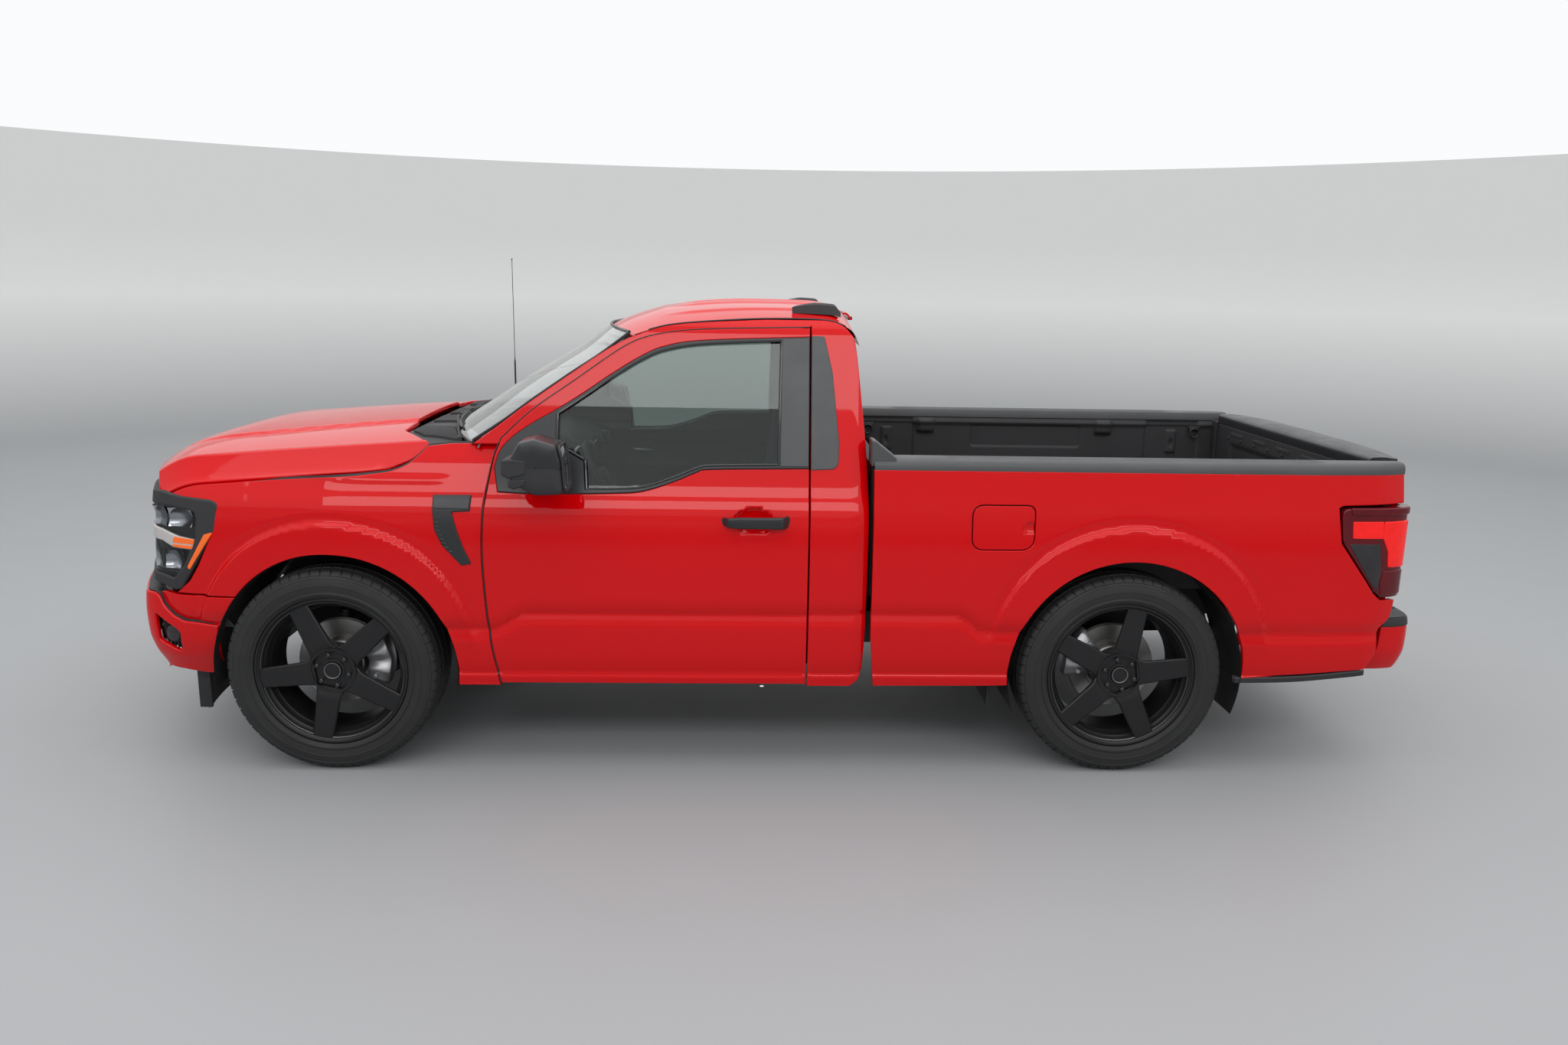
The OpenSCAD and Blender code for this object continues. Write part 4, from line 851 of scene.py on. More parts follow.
small = inward(resample(hood_outline, 0.02)[::-1], 0.045)
panel(inner, small, hood_under, 1, step=0.05, roll=0.004, depth=0.012,
      holes=[rounded(h, 0.04) for h in holes], closed=True)
inner.piece("hood_inner_frame", "hood", PAINT, "paint")

# Fenders with their corners of the lower fascia
hood_cut = []
for x in np.linspace(FRONT_X + 0.628, FRONT_X - 0.362, 46):
    hood_cut.append((x, float(hood_z(x, hood_half(x))) - 0.002 - GAP))
fender_front = mm([(620, 1098), (556, 1076), (458, 1067), (424, 1027), (431, 960), (499, 820),
                   (538, 758), (596, 708)], FRONT_X)
z_sill = 0.356
seam_x = front_arch_x + circle_x(ARCH_R, SEAM_Z)
fender_outline = join(
    [(DOOR_FRONT - 0.052 + GAP, z_sill)],
    door_front_line[1:] + np.array([GAP, 0.0]),
    mm([(-560, 1302), (-470, 1300), (-384, 1290)], FRONT_X), hood_cut[::-1], fender_front,
    [(seam_x + 0.001, SEAM_Z)],
    arc(front_arch_x, AXLE_Z, ARCH_R, rise_at(SEAM_Z), 180 - rise_at(z_sill)))
fascia_corner = join(
    mm([(590, 699), (654, 708), (676, 701), (686, 655), (636, 602), (579, 571), (470, 563)], FRONT_X),
    arc(front_arch_x, AXLE_Z, ARCH_R, rise_at(0.563), rise_at(SEAM_Z - 0.004)))
for side, tag in HANDS:
    s = Shape()
    side_panel(s, fender_outline, "front", side, step=0.013, roll=0.0035, depth=0.022, lip=0.0)
    side_panel(s, fascia_corner, "front", side, step=0.012, roll=0.003, depth=0.02)
    s.piece("fender_skin_" + tag, "truck", PAINT, "paint", ["fenders"] if side > 0 else [])
    s = Shape()
    panel(s, inward(resample(fender_outline, 0.03), 0.004), side_skin("front", side, -0.024), -side,
          step=0.05, roll=0.001, depth=0.002)
    s.piece("fender_inner_" + tag, "truck", PLASTIC, "black_plastic")

# Doors: painted skin, cut back to the window surround
door_outline = join([(DOOR_REAR, 0.366)], door_front_line, door_top_line[1:], [(DOOR_REAR, 1.722)],
                    surround_top[1:], surround_low, [(DOOR_REAR, 1.224)])
HANDLE_FRONT, HANDLE_REAR = FRONT_X - 1.518, FRONT_X - 1.783
handle_x = (HANDLE_FRONT + HANDLE_REAR) / 2
HANDLE_Z = 1.026


def door_skin(side):
    """Door's side with the cup behind its handle."""
    def point(x, z):
        cup = np.clip(1 - ((x - handle_x - 0.005) / 0.080) ** 2 - ((z - HANDLE_Z) / 0.052) ** 2, 0, 1)
        y = side_y(x, z, "cab") - 0.022 * cup ** 0.7
        return np.stack([x, side * y, z], -1)
    return point


for side, tag in HANDS:
    body = "door_" + tag
    s = Shape()
    panel(s, door_outline, door_skin(side), -side, step=0.013, roll=0.0035, depth=0.030, lip=0.018)
    s.piece("door_skin_" + tag, body, PAINT, "paint", [body])


def offset_line(line, d):
    """Open line moved to its left by d."""
    p = np.array(line, float)
    t = unit(np.gradient(p, axis=0))
    return p + np.stack([-t[:, 1], t[:, 0]], 1) * d


# Window surrounds, glass and the grey pillar covers
pillar_x = FRONT_X - 1.748
for side, tag in HANDS:
    body = "door_" + tag
    s = Shape()
    panel(s, SURROUND, side_skin("cab", side), -side, step=0.014, roll=0.004, depth=0.022,
          holes=[GLASS_EDGE], proud=0.003)
    s.piece("window_surround_" + tag, body, TRIM, "black_plastic")
    s = Shape()
    cover = [(DOOR_REAR + 0.003, 1.232), (DOOR_REAR + 0.003, 1.715), (pillar_x, 1.712),
             (pillar_x + 0.004, 1.232)]
    side_panel(s, rounded(cover, 0.005), "cab", side, step=0.03, roll=0.0015, depth=0.004, proud=0.0065)
    s.piece("pillar_cover_" + tag, body, APPLIQUE, "black_plastic")
    s = Shape()
    panel(s, GLASS_EDGE, side_skin("cab", side), -side, step=0.03, roll=0.001, depth=0.004,
          proud=-0.010, closed=True)
    s.piece("window_" + tag, body, TINT, "tinted_glass", ["door_glass_" + tag])
    s = Shape()
    line = resample(GLASS_EDGE, 0.02)
    p, n, _, _ = frame_of(side_skin("cab", side), line[:, 0], line[:, 1])
    ring = p + n * (-side) * 0.001
    tube(s, np.vstack([ring, ring[:1]]), 0.0048, 8, caps=False)
    s.piece("window_seal_" + tag, body, GLOSS, "black_plastic")
    # Dividing bar between the fixed quarter window and the glass that drops
    s = Shape()
    bar = resample(mm([(-278, 1420), (-278, 1308), (-386, 1247), (-393, 1139)], DOOR_FRONT), 0.01,
                   closed=False)
    p, n, _, _ = frame_of(side_skin("cab", side), bar[:, 0], bar[:, 1])
    tube(s, p + n * (-side) * 0.004, 0.0065, 8)
    s.piece("quarter_window_bar_" + tag, body, GLOSS, "black_plastic")
    s = Shape()
    quarter = rounded(mm([(-1862, 1726), (-1912, 1726), (-1944, 1588), (-1971, 1324), (-1969, 1224),
                          (-1862, 1219)], FRONT_X), [0.004, 0.012, 0.1, 0.1, 0.035, 0.004])
    side_panel(s, quarter, "cab", side, step=0.025, roll=0.0035, depth=0.006, proud=0.004)
    s.piece("quarter_cover_" + tag, "truck", APPLIQUE, "black_plastic")

# Cab side frame: windshield pillar, roof rail and quarter panel
frame_top = spline(mm([(44, 1304), (-51, 1373), (-174, 1466), (-357, 1594), (-478, 1674), (-568, 1719),
                       (-687, 1757), (-836, 1774), (-1076, 1787)], DOOR_FRONT), 6)
frame_rear = spline(mm([(170, 1788), (120, 1776), (79, 1742), (55, 1690), (30, 1475), (9, 1269),
                        (0, 1089), (0, 844), (2, 600), (10, 430)], CAB_REAR), 6)
frame_foot = mm([(26, 380), (60, 358)], CAB_REAR)
opening_top = offset_line(door_top_line[::-1], -GAP)
frame_outline = join(frame_top, frame_rear, frame_foot,
                     [(DOOR_REAR - GAP, 0.358), (DOOR_REAR - GAP, 1.757 + GAP)], opening_top[1:],
                     [(DOOR_FRONT - 0.059, 1.304)])
for side, tag in HANDS:
    s = Shape()
    side_panel(s, frame_outline, "cab", side, step=0.013, roll=0.004, depth=0.050, lip=0.016)
    s.piece("cab_frame_" + tag, "truck", PAINT, "paint", ["cab_sides"] if side > 0 else [])

# Roof: two side lines and a middle line, with long ribs pressed in
roof_mid = resample(spline(mm([(-1020, 1738), (-1104, 1775), (-1208, 1808), (-1277, 1822),
                               (-1554, 1845), (-1902, 1842), (-1985, 1829), (-2024, 1804),
                               (-2047, 1762), (-2058, 1693)], FRONT_X), 10), 0.02, closed=False)
roof_side = spline(mm([(-1163, 1716), (-1174, 1722), (-1293, 1757), (-1442, 1774), (-1682, 1788),
                       (-1902, 1787), (-1985, 1768), (-2030, 1736), (-2050, 1690)], FRONT_X), 10)


def lengths(line):
    """Distance along a line to each of its points."""
    return np.concatenate([[0], np.cumsum(np.linalg.norm(np.diff(line, axis=0), axis=1))])


def along(line, count):
    """A line's points spaced evenly along it."""
    d = lengths(line)
    t = np.linspace(0, d[-1], count)
    return np.stack([np.interp(t, d, line[:, k]) for k in range(line.shape[1])], 1)


rows = 80
mid, edge = along(roof_mid, rows), along(roof_side, rows)
v = np.linspace(-1, 1, 141)
grid = np.zeros((rows, len(v), 3))
rib = sum(np.exp(-(((v * 0.74 - c) / 0.034) ** 4)) for c in (-0.52, -0.26, 0, 0.26, 0.52))
for i in range(rows):
    w = 1 - np.abs(v) ** 2.4
    half = float(side_y(edge[i, 0], min(edge[i, 1], 1.79), "cab")) - 0.002
    x = edge[i, 0] + (mid[i, 0] - edge[i, 0]) * (1 - v ** 2)
    fade = smooth(FRONT_X - 1.24 - x, 0, 0.16) * (1 - smooth(FRONT_X - 1.88 - x, 0, 0.1))
    grid[i, :, 0], grid[i, :, 1] = x, v * half
    grid[i, :, 2] = edge[i, 1] + (mid[i, 1] - edge[i, 1]) * w + 0.006 * rib * fade
s = Shape()
sheet(s, grid[:, ::-1], side=-1)
s.piece("roof_skin", "truck", PAINT, "paint", ["roof"])
s = Shape()
liner = grid[4:-3:3, 6:-6:3, :] - np.array([0, 0, 0.032])
sheet(s, liner[:, ::-1], side=1)
s.piece("headliner", "truck", HEADLINER, "interior")
s = Shape()
for side in SIDES:
    edge_path = np.stack([grid[6:-8, 0 if side < 0 else -1, 0], grid[6:-8, 0 if side < 0 else -1, 1],
                          grid[6:-8, 0, 2] + 0.001], 1)
    tube(s, edge_path, 0.0035, 6)
    # Wedge-shaped rack covers on the rear corners of the roof
    fin_x = np.linspace(FRONT_X - 1.790, FRONT_X - 1.984, 22)
    strips = []
    for x in fin_x:
        t = (FRONT_X - 1.790 - x) / 0.194
        high = 0.003 + 0.021 * min(t / 0.45, 1) ** 0.7 * (1 - smooth(t, 0.86, 1.0))
        wide = 0.014 + 0.022 * min(t / 0.5, 1)
        base = float(np.interp(-x, -grid[:, 70, 0], grid[:, 112, 2]))
        y = side * 0.615
        cross = [(-wide, -0.012), (-wide * 0.8, high * 0.7), (-wide * 0.4, high), (wide * 0.4, high),
                 (wide * 0.8, high * 0.7), (wide, -0.02)]
        strips.append([(x, y + a * side, base + b) for a, b in cross])
    sheet(s, strips, side=side, normals=False)
s.piece("roof_rack_covers", "truck", PLASTIC, "black_plastic")

# High stop lamp at the rear edge of the roof
s = Shape()
lamp_y = np.linspace(-0.19, 0.19, 25)
strips = [[(FRONT_X - 2.030 - 0.040 * k, y, 1.800 - 0.026 * k + 0.012 * math.sin(math.pi * k)
            + 0.003 * (1 - (y / 0.19) ** 2)) for k in np.linspace(0, 1, 8)] for y in lamp_y]
sheet(s, strips, side=1, thick=0.008)
s.piece("high_stop_lamp_housing", "truck", PAINT, "paint")
s = Shape()
solid(s, rounded(rect(-0.15, 1.768, 0.15, 1.784), 0.006), cross_plane, FRONT_X - 2.076, FRONT_X - 2.058,
      0.002)
s.piece("high_stop_lamp", "truck", RED_DARK, "tail_lamp")

# Windshield, its black border, and the rear window
GLASS_Z = curve([(1.312, -0.345), (1.377, -0.450), (1.480, -0.603), (1.562, -0.737), (1.644, -0.878),
                 (1.738, -1.022)])
GLASS_BOW = curve([(1.312, 0.208), (1.480, 0.192), (1.600, 0.168), (1.728, 0.142)])

SHIELD_LOW, SHIELD_TOP = 1.300, 1.728


def shield(u, v, out=0.0):
    """Windshield: u goes up it and v across it, from -1 to 1."""
    z = SHIELD_LOW + u * (SHIELD_TOP - SHIELD_LOW)
    half = HALF_W - INSET["cab"](z) - 0.030
    x = FRONT_X + GLASS_Z(z) - GLASS_BOW(z) * v * v
    return np.stack([x + out * 0.8, v * half, z + out * 0.6 + 0.010 * (1 - np.abs(v) ** 2)
                     * smooth(u, 0.8, 1.0)], -1)


uu, vv = lattice(np.linspace(0, 1, 40), np.linspace(-1, 1, 61))
s = Shape()
sheet(s, shield(uu, vv), side=-1, thick=0.005)
back_lo, back_hi = 1.300, 1.620
rear_half = HALF_W - 0.345


def back_x(z):
    return (CAB_REAR + np.interp(z, [0.526, 0.844, 1.089, 1.269, 1.475, 1.664, 1.70],
                                 [0.006, 0.002, 0.002, 0.011, 0.032, 0.054, 0.060]))


gy, gz = lattice(np.linspace(-rear_half, rear_half, 12), np.linspace(back_lo, back_hi, 8))
sheet(s, np.stack([back_x(gz) + 0.016, gy, gz], -1), side=-1, thick=0.005)
s.piece("cab_glass_panes", "truck", CLEAR, "glass", ["cab_glass"])
s = Shape()
for v0, v1, u0, u1 in ((-1.0, 1.0, 0.0, 0.075), (-1.0, 1.0, 0.955, 1.0), (-1.0, -0.965, 0.075, 0.955),
                       (0.965, 1.0, 0.075, 0.955)):
    a, b = lattice(np.linspace(u0, u1, 12), np.linspace(v0, v1, 49))
    sheet(s, shield(a, b, -0.0072), side=-1, thick=0.0008)
s.piece("windshield_border", "truck", GLOSS, "black_plastic")
s = Shape()
top_edge = shield(np.full(61, 1.004), np.linspace(-1.0, 1.0, 61), 0.001)
tube(s, top_edge, 0.006, 8)
for side in SIDES:
    tube(s, shield(np.linspace(0.0, 1.0, 30), np.full(30, side * 1.004)), 0.006, 8)
s.piece("windshield_seal", "truck", TRIM, "black_plastic")

# Rear wall of the cab
back_half = curve(mm([(500, -55), (900, -45), (1090, -75), (1300, -142), (1500, -196), (1700, -262)],
                     0.0, HALF_W))


def back_skin(y, z):
    round_off = np.clip((np.abs(y) - back_half(z) + 0.05) / 0.05, 0, 1) ** 2
    press = (0.006 * (1 - smooth(np.abs(np.abs(y) - 0.42), 0.12, 0.15))
             * (1 - smooth(np.abs(z - 1.0), 0.1, 0.13)))
    return np.stack([back_x(z) + 0.020 * round_off + press - 0.0015, y, z], -1)


zz = np.linspace(0.53, 1.690, 30)
back_outline = join(np.stack([back_half(zz), zz], 1), np.stack([-back_half(zz[::-1]), zz[::-1]], 1))
window = rounded([(-rear_half + 0.01, back_lo + 0.01), (rear_half - 0.01, back_lo + 0.01),
                  (rear_half - 0.04, back_hi - 0.008), (-rear_half + 0.04, back_hi - 0.008)], 0.05)
s = Shape()
panel(s, back_outline, back_skin, -1, step=0.022, roll=0.004, depth=0.010, holes=[window])
s.piece("cab_back_skin", "truck", PAINT, "paint")
s = Shape()
w = resample(window, 0.02)
p, n, _, _ = frame_of(back_skin, w[:, 0], w[:, 1])
tube(s, np.vstack([p, p[:1]]), 0.011, 8, caps=False)
for x0, x1 in ((-0.30, -0.27), (0.27, 0.30)):
    bar = rounded(rect(x0, back_lo, x1, back_hi), 0.004)
    solid(s, bar, cross_plane, CAB_REAR + 0.045, CAB_REAR + 0.056, 0.001)
s.piece("rear_window_seal", "truck", TRIM, "black_plastic")

# ---------------------------------------------------------------- load bed

bed_outline = join([(BED_FRONT - 0.020, 0.360)],
                   [(BED_FRONT - 0.002, 0.571), (BED_FRONT, RAIL_Z - 0.042),
                    (BED_REAR + 0.008, RAIL_Z - 0.042), (BED_REAR + 0.001, 1.118),
                    (BED_REAR + 0.270, 1.111)],
                   rounded(mm([(281, 1105), (262, 966), (106, 762), (71, 732)], BED_REAR),
                           [0, 0.02, 0.05, 0]) + np.array([0.004, -0.003]),
                   mm([(3, 727), (6, 699), (17, 651), (60, 609), (62, 505), (100, 436)], BED_REAR),
                   [(rear_arch_x - circle_x(ARCH_R, 0.402), 0.402)],
                   arc(rear_arch_x, AXLE_Z, ARCH_R, 181, rise_at(0.364)), [(REAR_X + 0.562, 0.362)])
FUEL = rounded(rect(REAR_X + 0.387, 0.928, REAR_X + 0.627, 1.098),
               [0.055, 0.045, 0.045, 0.03], 8)
fuel_hole = inward(resample(FUEL, 0.012), -0.004)
for side, tag in HANDS:
    s = Shape()
    side_panel(s, bed_outline, "bed", side, step=0.013, roll=0.0035, depth=0.024, holes=[fuel_hole]
               if side > 0 else [])
    s.piece("bed_side_" + tag, "truck", PAINT, "paint", ["bed_sides"] if side > 0 else [])
    s = Shape()
    panel(s, inward(resample(bed_outline, 0.03), 0.004), side_skin("bed", side, -0.026), -side,
          step=0.05, roll=0.001, depth=0.002)
    s.piece("bed_side_inner_" + tag, "truck", PLASTIC, "black_plastic")
    # Black strip under the bed side behind the wheel, and the flap ahead of it
    s = Shape()
    strip = spline([(REAR_X - 0.468, 0.398), (REAR_X - 0.70, 0.404), (BED_REAR + 0.10, 0.430)], 8)
    strips = [[(x, side * (float(side_y(x, z + 0.02, "bed")) - o), z + h) for o,
               h in ((0.004, 0.006), (0.000, 0.000), (0.002, -0.018), (0.020, -0.022), (0.030, 0.004))]
              for x, z in strip]
    sheet(s, strips, side=side, normals=False)
    block(s, (REAR_X + 0.505, side * (HALF_W - 0.235) - 0.115, 0.250),
          (REAR_X + 0.517, side * (HALF_W - 0.235) + 0.115, 0.420), 0.004)
    s.piece("bed_lower_trim_" + tag, "truck", PLASTIC, "black_plastic")

# Fuel door with its finger notch
s = Shape()


def fuel_skin(x, z):
    cup = np.clip(1 - ((x - REAR_X - 0.402) / 0.030) ** 2 - ((z - 1.012) / 0.026) ** 2, 0, 1)
    return np.stack([x, side_y(x, z, "bed") - 0.012 * cup ** 0.6, z], -1)


panel(s, FUEL, fuel_skin, -1, step=0.010, roll=0.002, depth=0.005, closed=True)
s.piece("fuel_door_skin", "fuel_door", PAINT, "paint", ["fuel_door"])
s = Shape()
fy = float(side_y(REAR_X + 0.5, 1.0, "bed"))
panel(s, inward(resample(FUEL, 0.02), -0.002), side_skin("bed", 1, -0.040), -1, step=0.04,
      roll=0.001, depth=0.002)
lathe(s, [(0.001, -0.010), (0.030, -0.010), (0.036, -0.014), (0.036, -0.040)],
      (REAR_X + 0.51, fy - 0.004, 1.010), "y", 1, 40)
block(s, (REAR_X + 0.482, fy - 0.018, 1.004), (REAR_X + 0.538, fy - 0.010, 1.016), 0.003)
s.piece("fuel_cap", "truck", PLASTIC, "black_plastic")

# Rail caps with long ribs
for side, tag in HANDS:
    s = Shape()
    strips = []
    for x in np.linspace(BED_FRONT - 0.001, BED_REAR + 0.006, 60):
        out_y = float(side_y(x, RAIL_Z - 0.02, "bed")) + 0.003
        ribs = smooth(BED_FRONT - 0.28 - x, 0, 0.02) * smooth(x - BED_REAR - 0.32, 0, 0.02)
        w = out_y - WALL_IN
        section = [(WALL_IN, RAIL_Z - 0.045), (WALL_IN, RAIL_Z - 0.010), (0.832, RAIL_Z - 0.003)]
        for t in np.linspace(0.08, 0.72, 33):
            wave = 0.0022 * ribs * (1 if (t * 14) % 2 > 1 else 0)
            section.append((WALL_IN + w * t, RAIL_Z - 0.003 + 0.003 * math.sin(t * math.pi) - wave))
        section += [(out_y - w * 0.16, RAIL_Z - 0.004), (out_y - w * 0.05, RAIL_Z - 0.012),
                    (out_y, RAIL_Z - 0.024), (out_y, RAIL_Z - 0.043), (out_y - 0.01, RAIL_Z - 0.045)]
        strips.append([(x, side * y, z) for y, z in section])
    sheet(s, strips, side=side, normals=False)
    s.piece("rail_cap_" + tag, "truck", CAP, "black_plastic", ["rail_caps"] if side > 0 else [], angle=40)

# Bed inner walls: pressed pockets, wheelhouses and ribbed floor, over the CAD box
bed_in_front, bed_in_rear = BED_FRONT - 0.050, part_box("bed_box")[0].x


def pocket(u, v, cu, cv, hu, hv, deep, soft=0.016):
    """A rectangular pressing: deep inside, nothing outside, with soft edges."""
    return deep * (1 - smooth(np.abs(u - cu), hu - soft, hu)) * (1 - smooth(np.abs(v - cv), hv - soft, hv))


def wall_press(x, z):
    """Depth of the side wall's pressings, as they are seen in the photograph."""
    d = np.zeros(np.broadcast(x, z).shape)
    top = RAIL_Z - 0.14
    for cu, hu in ((BED_FRONT - 0.26, 0.10), (BED_REAR + 0.30, 0.10)):
        d -= pocket(x, z, cu, top - 0.02, hu + 0.05, 0.115, 0.010)
        d += pocket(x, z, cu, top - 0.02, 0.035, 0.070, 0.014, 0.01)
        d -= pocket(x, z, cu, top - 0.03, 0.012, 0.020, 0.010, 0.006)
    for cu in (BED_FRONT - 0.47, REAR_X - 0.42):
        d += pocket(x, z, cu, RAIL_Z - 0.085, 0.05, 0.045, 0.020)
    d -= pocket(x, z, REAR_X, top, 0.30, 0.060, 0.010)
    r = np.hypot(x - rear_arch_x, z - AXLE_Z)
    d += 0.014 * np.exp(-(((r - 0.56) / 0.018) ** 2)) * smooth(z, 0.75, 0.80)
    d += 0.010 * np.exp(-(((z - 1.205) / 0.010) ** 2))
    return d


for side, tag in HANDS:
    s = Shape()
    xx, zz = lattice(np.linspace(bed_in_front - 0.001, bed_in_rear, 190),
                     np.linspace(BED_FLOOR + 0.001, RAIL_Z - 0.045, 56))
    y = WALL_IN - 0.006 - np.clip(wall_press(xx, zz), -0.012, 0.03)
    sheet(s, np.stack([xx, side * y, zz], -1), side=side)
    # Wheelhouse with a rounded shoulder
    ang = np.radians(np.linspace(rise_at(BED_FLOOR, 0.512), 180 - rise_at(BED_FLOOR, 0.512), 60))
    strips = []
    for a in ang:
        rr, gap = 0.506, 0.6425
        line = [(gap, -0.05), (gap - 0.001, -0.03), (gap + 0.006, -0.010), (gap + 0.022, -0.001),
                (gap + 0.05, 0.001), (0.826, 0.001)]
        strips.append([(rear_arch_x + (rr + dr) * math.cos(a), side * yy,
                        max(AXLE_Z + (rr + dr) * math.sin(a), BED_FLOOR)) for yy, dr in line])
    sheet(s, strips, side=side, normals=False)
    s.piece("bed_wall_" + tag, "truck", LINER, "bedliner")
s = Shape()
yy, zz = lattice(np.linspace(-WALL_IN + 0.004, WALL_IN - 0.004, 150),
                 np.linspace(BED_FLOOR + 0.001, RAIL_Z - 0.042, 46))
press = ((pocket(yy, zz, 0, 0.98, 0.36, 0.17, 0.012) + pocket(yy, zz, -0.56, 0.98, 0.14, 0.17, 0.012)
          + pocket(yy, zz, 0.56, 0.98, 0.14, 0.17, 0.012)))
sheet(s, np.stack([np.full(yy.shape, bed_in_front - 0.004) - 0.012 + press, yy, zz], -1), side=-1)
xx, yy = lattice(np.linspace(bed_in_front, bed_in_rear, 60), np.linspace(-0.825, 0.825, 300))
rib = 0.5 + 0.5 * np.tanh(6 * np.sin(yy * 2 * math.pi / 0.118))
sheet(s, np.stack([xx, yy, BED_FLOOR + 0.001 + 0.009 * rib * (1 - smooth(np.abs(yy), 0.60, 0.62))], -1),
      side=1)
s.piece("bed_floor_and_front", "truck", LINER, "bedliner")
# Tie-down rings and their blocks
s = Shape()
for side in SIDES:
    for x in (BED_FRONT - 0.16, BED_REAR + 0.18):
        for z in (BED_FLOOR + 0.06, RAIL_Z - 0.11):
            a = np.linspace(0, math.pi * 2, 25)
            tube(s, np.stack([x + 0.024 * np.cos(a), np.full(25, side * (WALL_IN - 0.022)),
                              z + 0.024 * np.sin(a)], 1), 0.0045, 8, caps=False)
            block(s, (x - 0.03, side * (WALL_IN - 0.010) - 0.006, z + 0.010),
                  (x + 0.03, side * (WALL_IN - 0.010) + 0.006, z + 0.036), 0.003)
s.piece("bed_tie_downs", "truck", CHASSIS, "black_plastic")

# ---------------------------------------------------------------- front end

nose_plan = spline([(FRONT_X + a / 1000, HALF_W - b / 1000) for a, b in NOSE[1:-1]]
                   + [(FRONT_X + 0.905, 0.0)], 14)
nose_s = lengths(nose_plan)


def s_at_x(x):
    """Distance along the nose's plan to the place that is x along the truck."""
    return float(np.interp(x, nose_plan[:, 0], nose_s))


def s_at_y(y):
    return float(np.interp(-y, -nose_plan[:, 1], nose_s))


def on_plan(plan, dist, s, e):
    """Place and unit tangent of a plan line at distance s, taken over a length of 2 e."""
    x, y = (np.interp(s, dist, plan[:, k]) for k in (0, 1))
    tx, ty = (np.interp(s + e, dist, plan[:, k]) - np.interp(s - e, dist, plan[:, k]) for k in (0, 1))
    n = np.maximum(np.hypot(tx, ty), 1e-9)
    return x, y, tx / n, ty / n


def nose_skin(side, out=0.0, ahead=0.0, lean=None):
    """Surface standing on the nose's plan line, moved out by out and forward by ahead."""
    def point(s, z):
        s = np.asarray(s, float)
        x, y, tx, ty = on_plan(nose_plan, nose_s, s, 0.006)
        o = out + (lean(z) if lean else 0)
        front = smooth(x, FRONT_X + 0.50, FRONT_X + 0.72)
        return np.stack([x - ty * o * (0.25 + 0.75 * front) + ahead, side * (y + tx * o), z + 0 * s], -1)
    return point


def nose_pts(points):
    """Side-view points of the nose, in millimetres from the front axle, as (s, z)."""
    return [(s_at_x(x), z) for x, z in mm(points, FRONT_X)]


GRILLE_S = s_at_y(HALF_W - 0.392)
lamp_top = nose_pts([(409, 1052), (414, 1068), (439, 1078), (550, 1088), (640, 1104), (760, 1108)])
lamp_outer = rounded(join([(GRILLE_S, 1.104)], lamp_top[::-1],
                          nose_pts([(423, 962), (532, 786), (572, 726), (599, 718), (664, 738),
                                    (760, 745)]), [(GRILLE_S, 0.748)]),
                     [0, 0.05, 0.05, 0.05, 0.03, 0.02, 0.02, 0.03, 0.05, 0.02, 0.02, 0.05, 0.05, 0])
frame_in = rounded(join([(GRILLE_S - 0.001, 0.800)],
                        nose_pts([(740, 792), (640, 778), (602, 766), (560, 812), (505, 918),
                                  (497, 1030), (600, 1046), (740, 1052)]), [(GRILLE_S - 0.001, 1.050)]),
                   [0, 0.05, 0.03, 0.02, 0.03, 0.04, 0.03, 0.05, 0.05, 0])
nose_lean = curve([(0.70, 0.0), (0.80, 0.0), (0.95, -0.008), (1.05, -0.018), (1.11, -0.026)])


def nose_panel(shape, outline, side, out, **more):
    panel(shape, outline, nose_skin(side, out, lean=nose_lean), -side, **more)


def c_outline():
    """The lamp's black frame: open towards the grille."""
    outer = np.array(lamp_outer)
    start = np.argmin(np.hypot(outer[:, 0] - GRILLE_S, outer[:, 1] - 1.104))
    outer = np.roll(outer, -start, 0)
    return join(outer, frame_in)


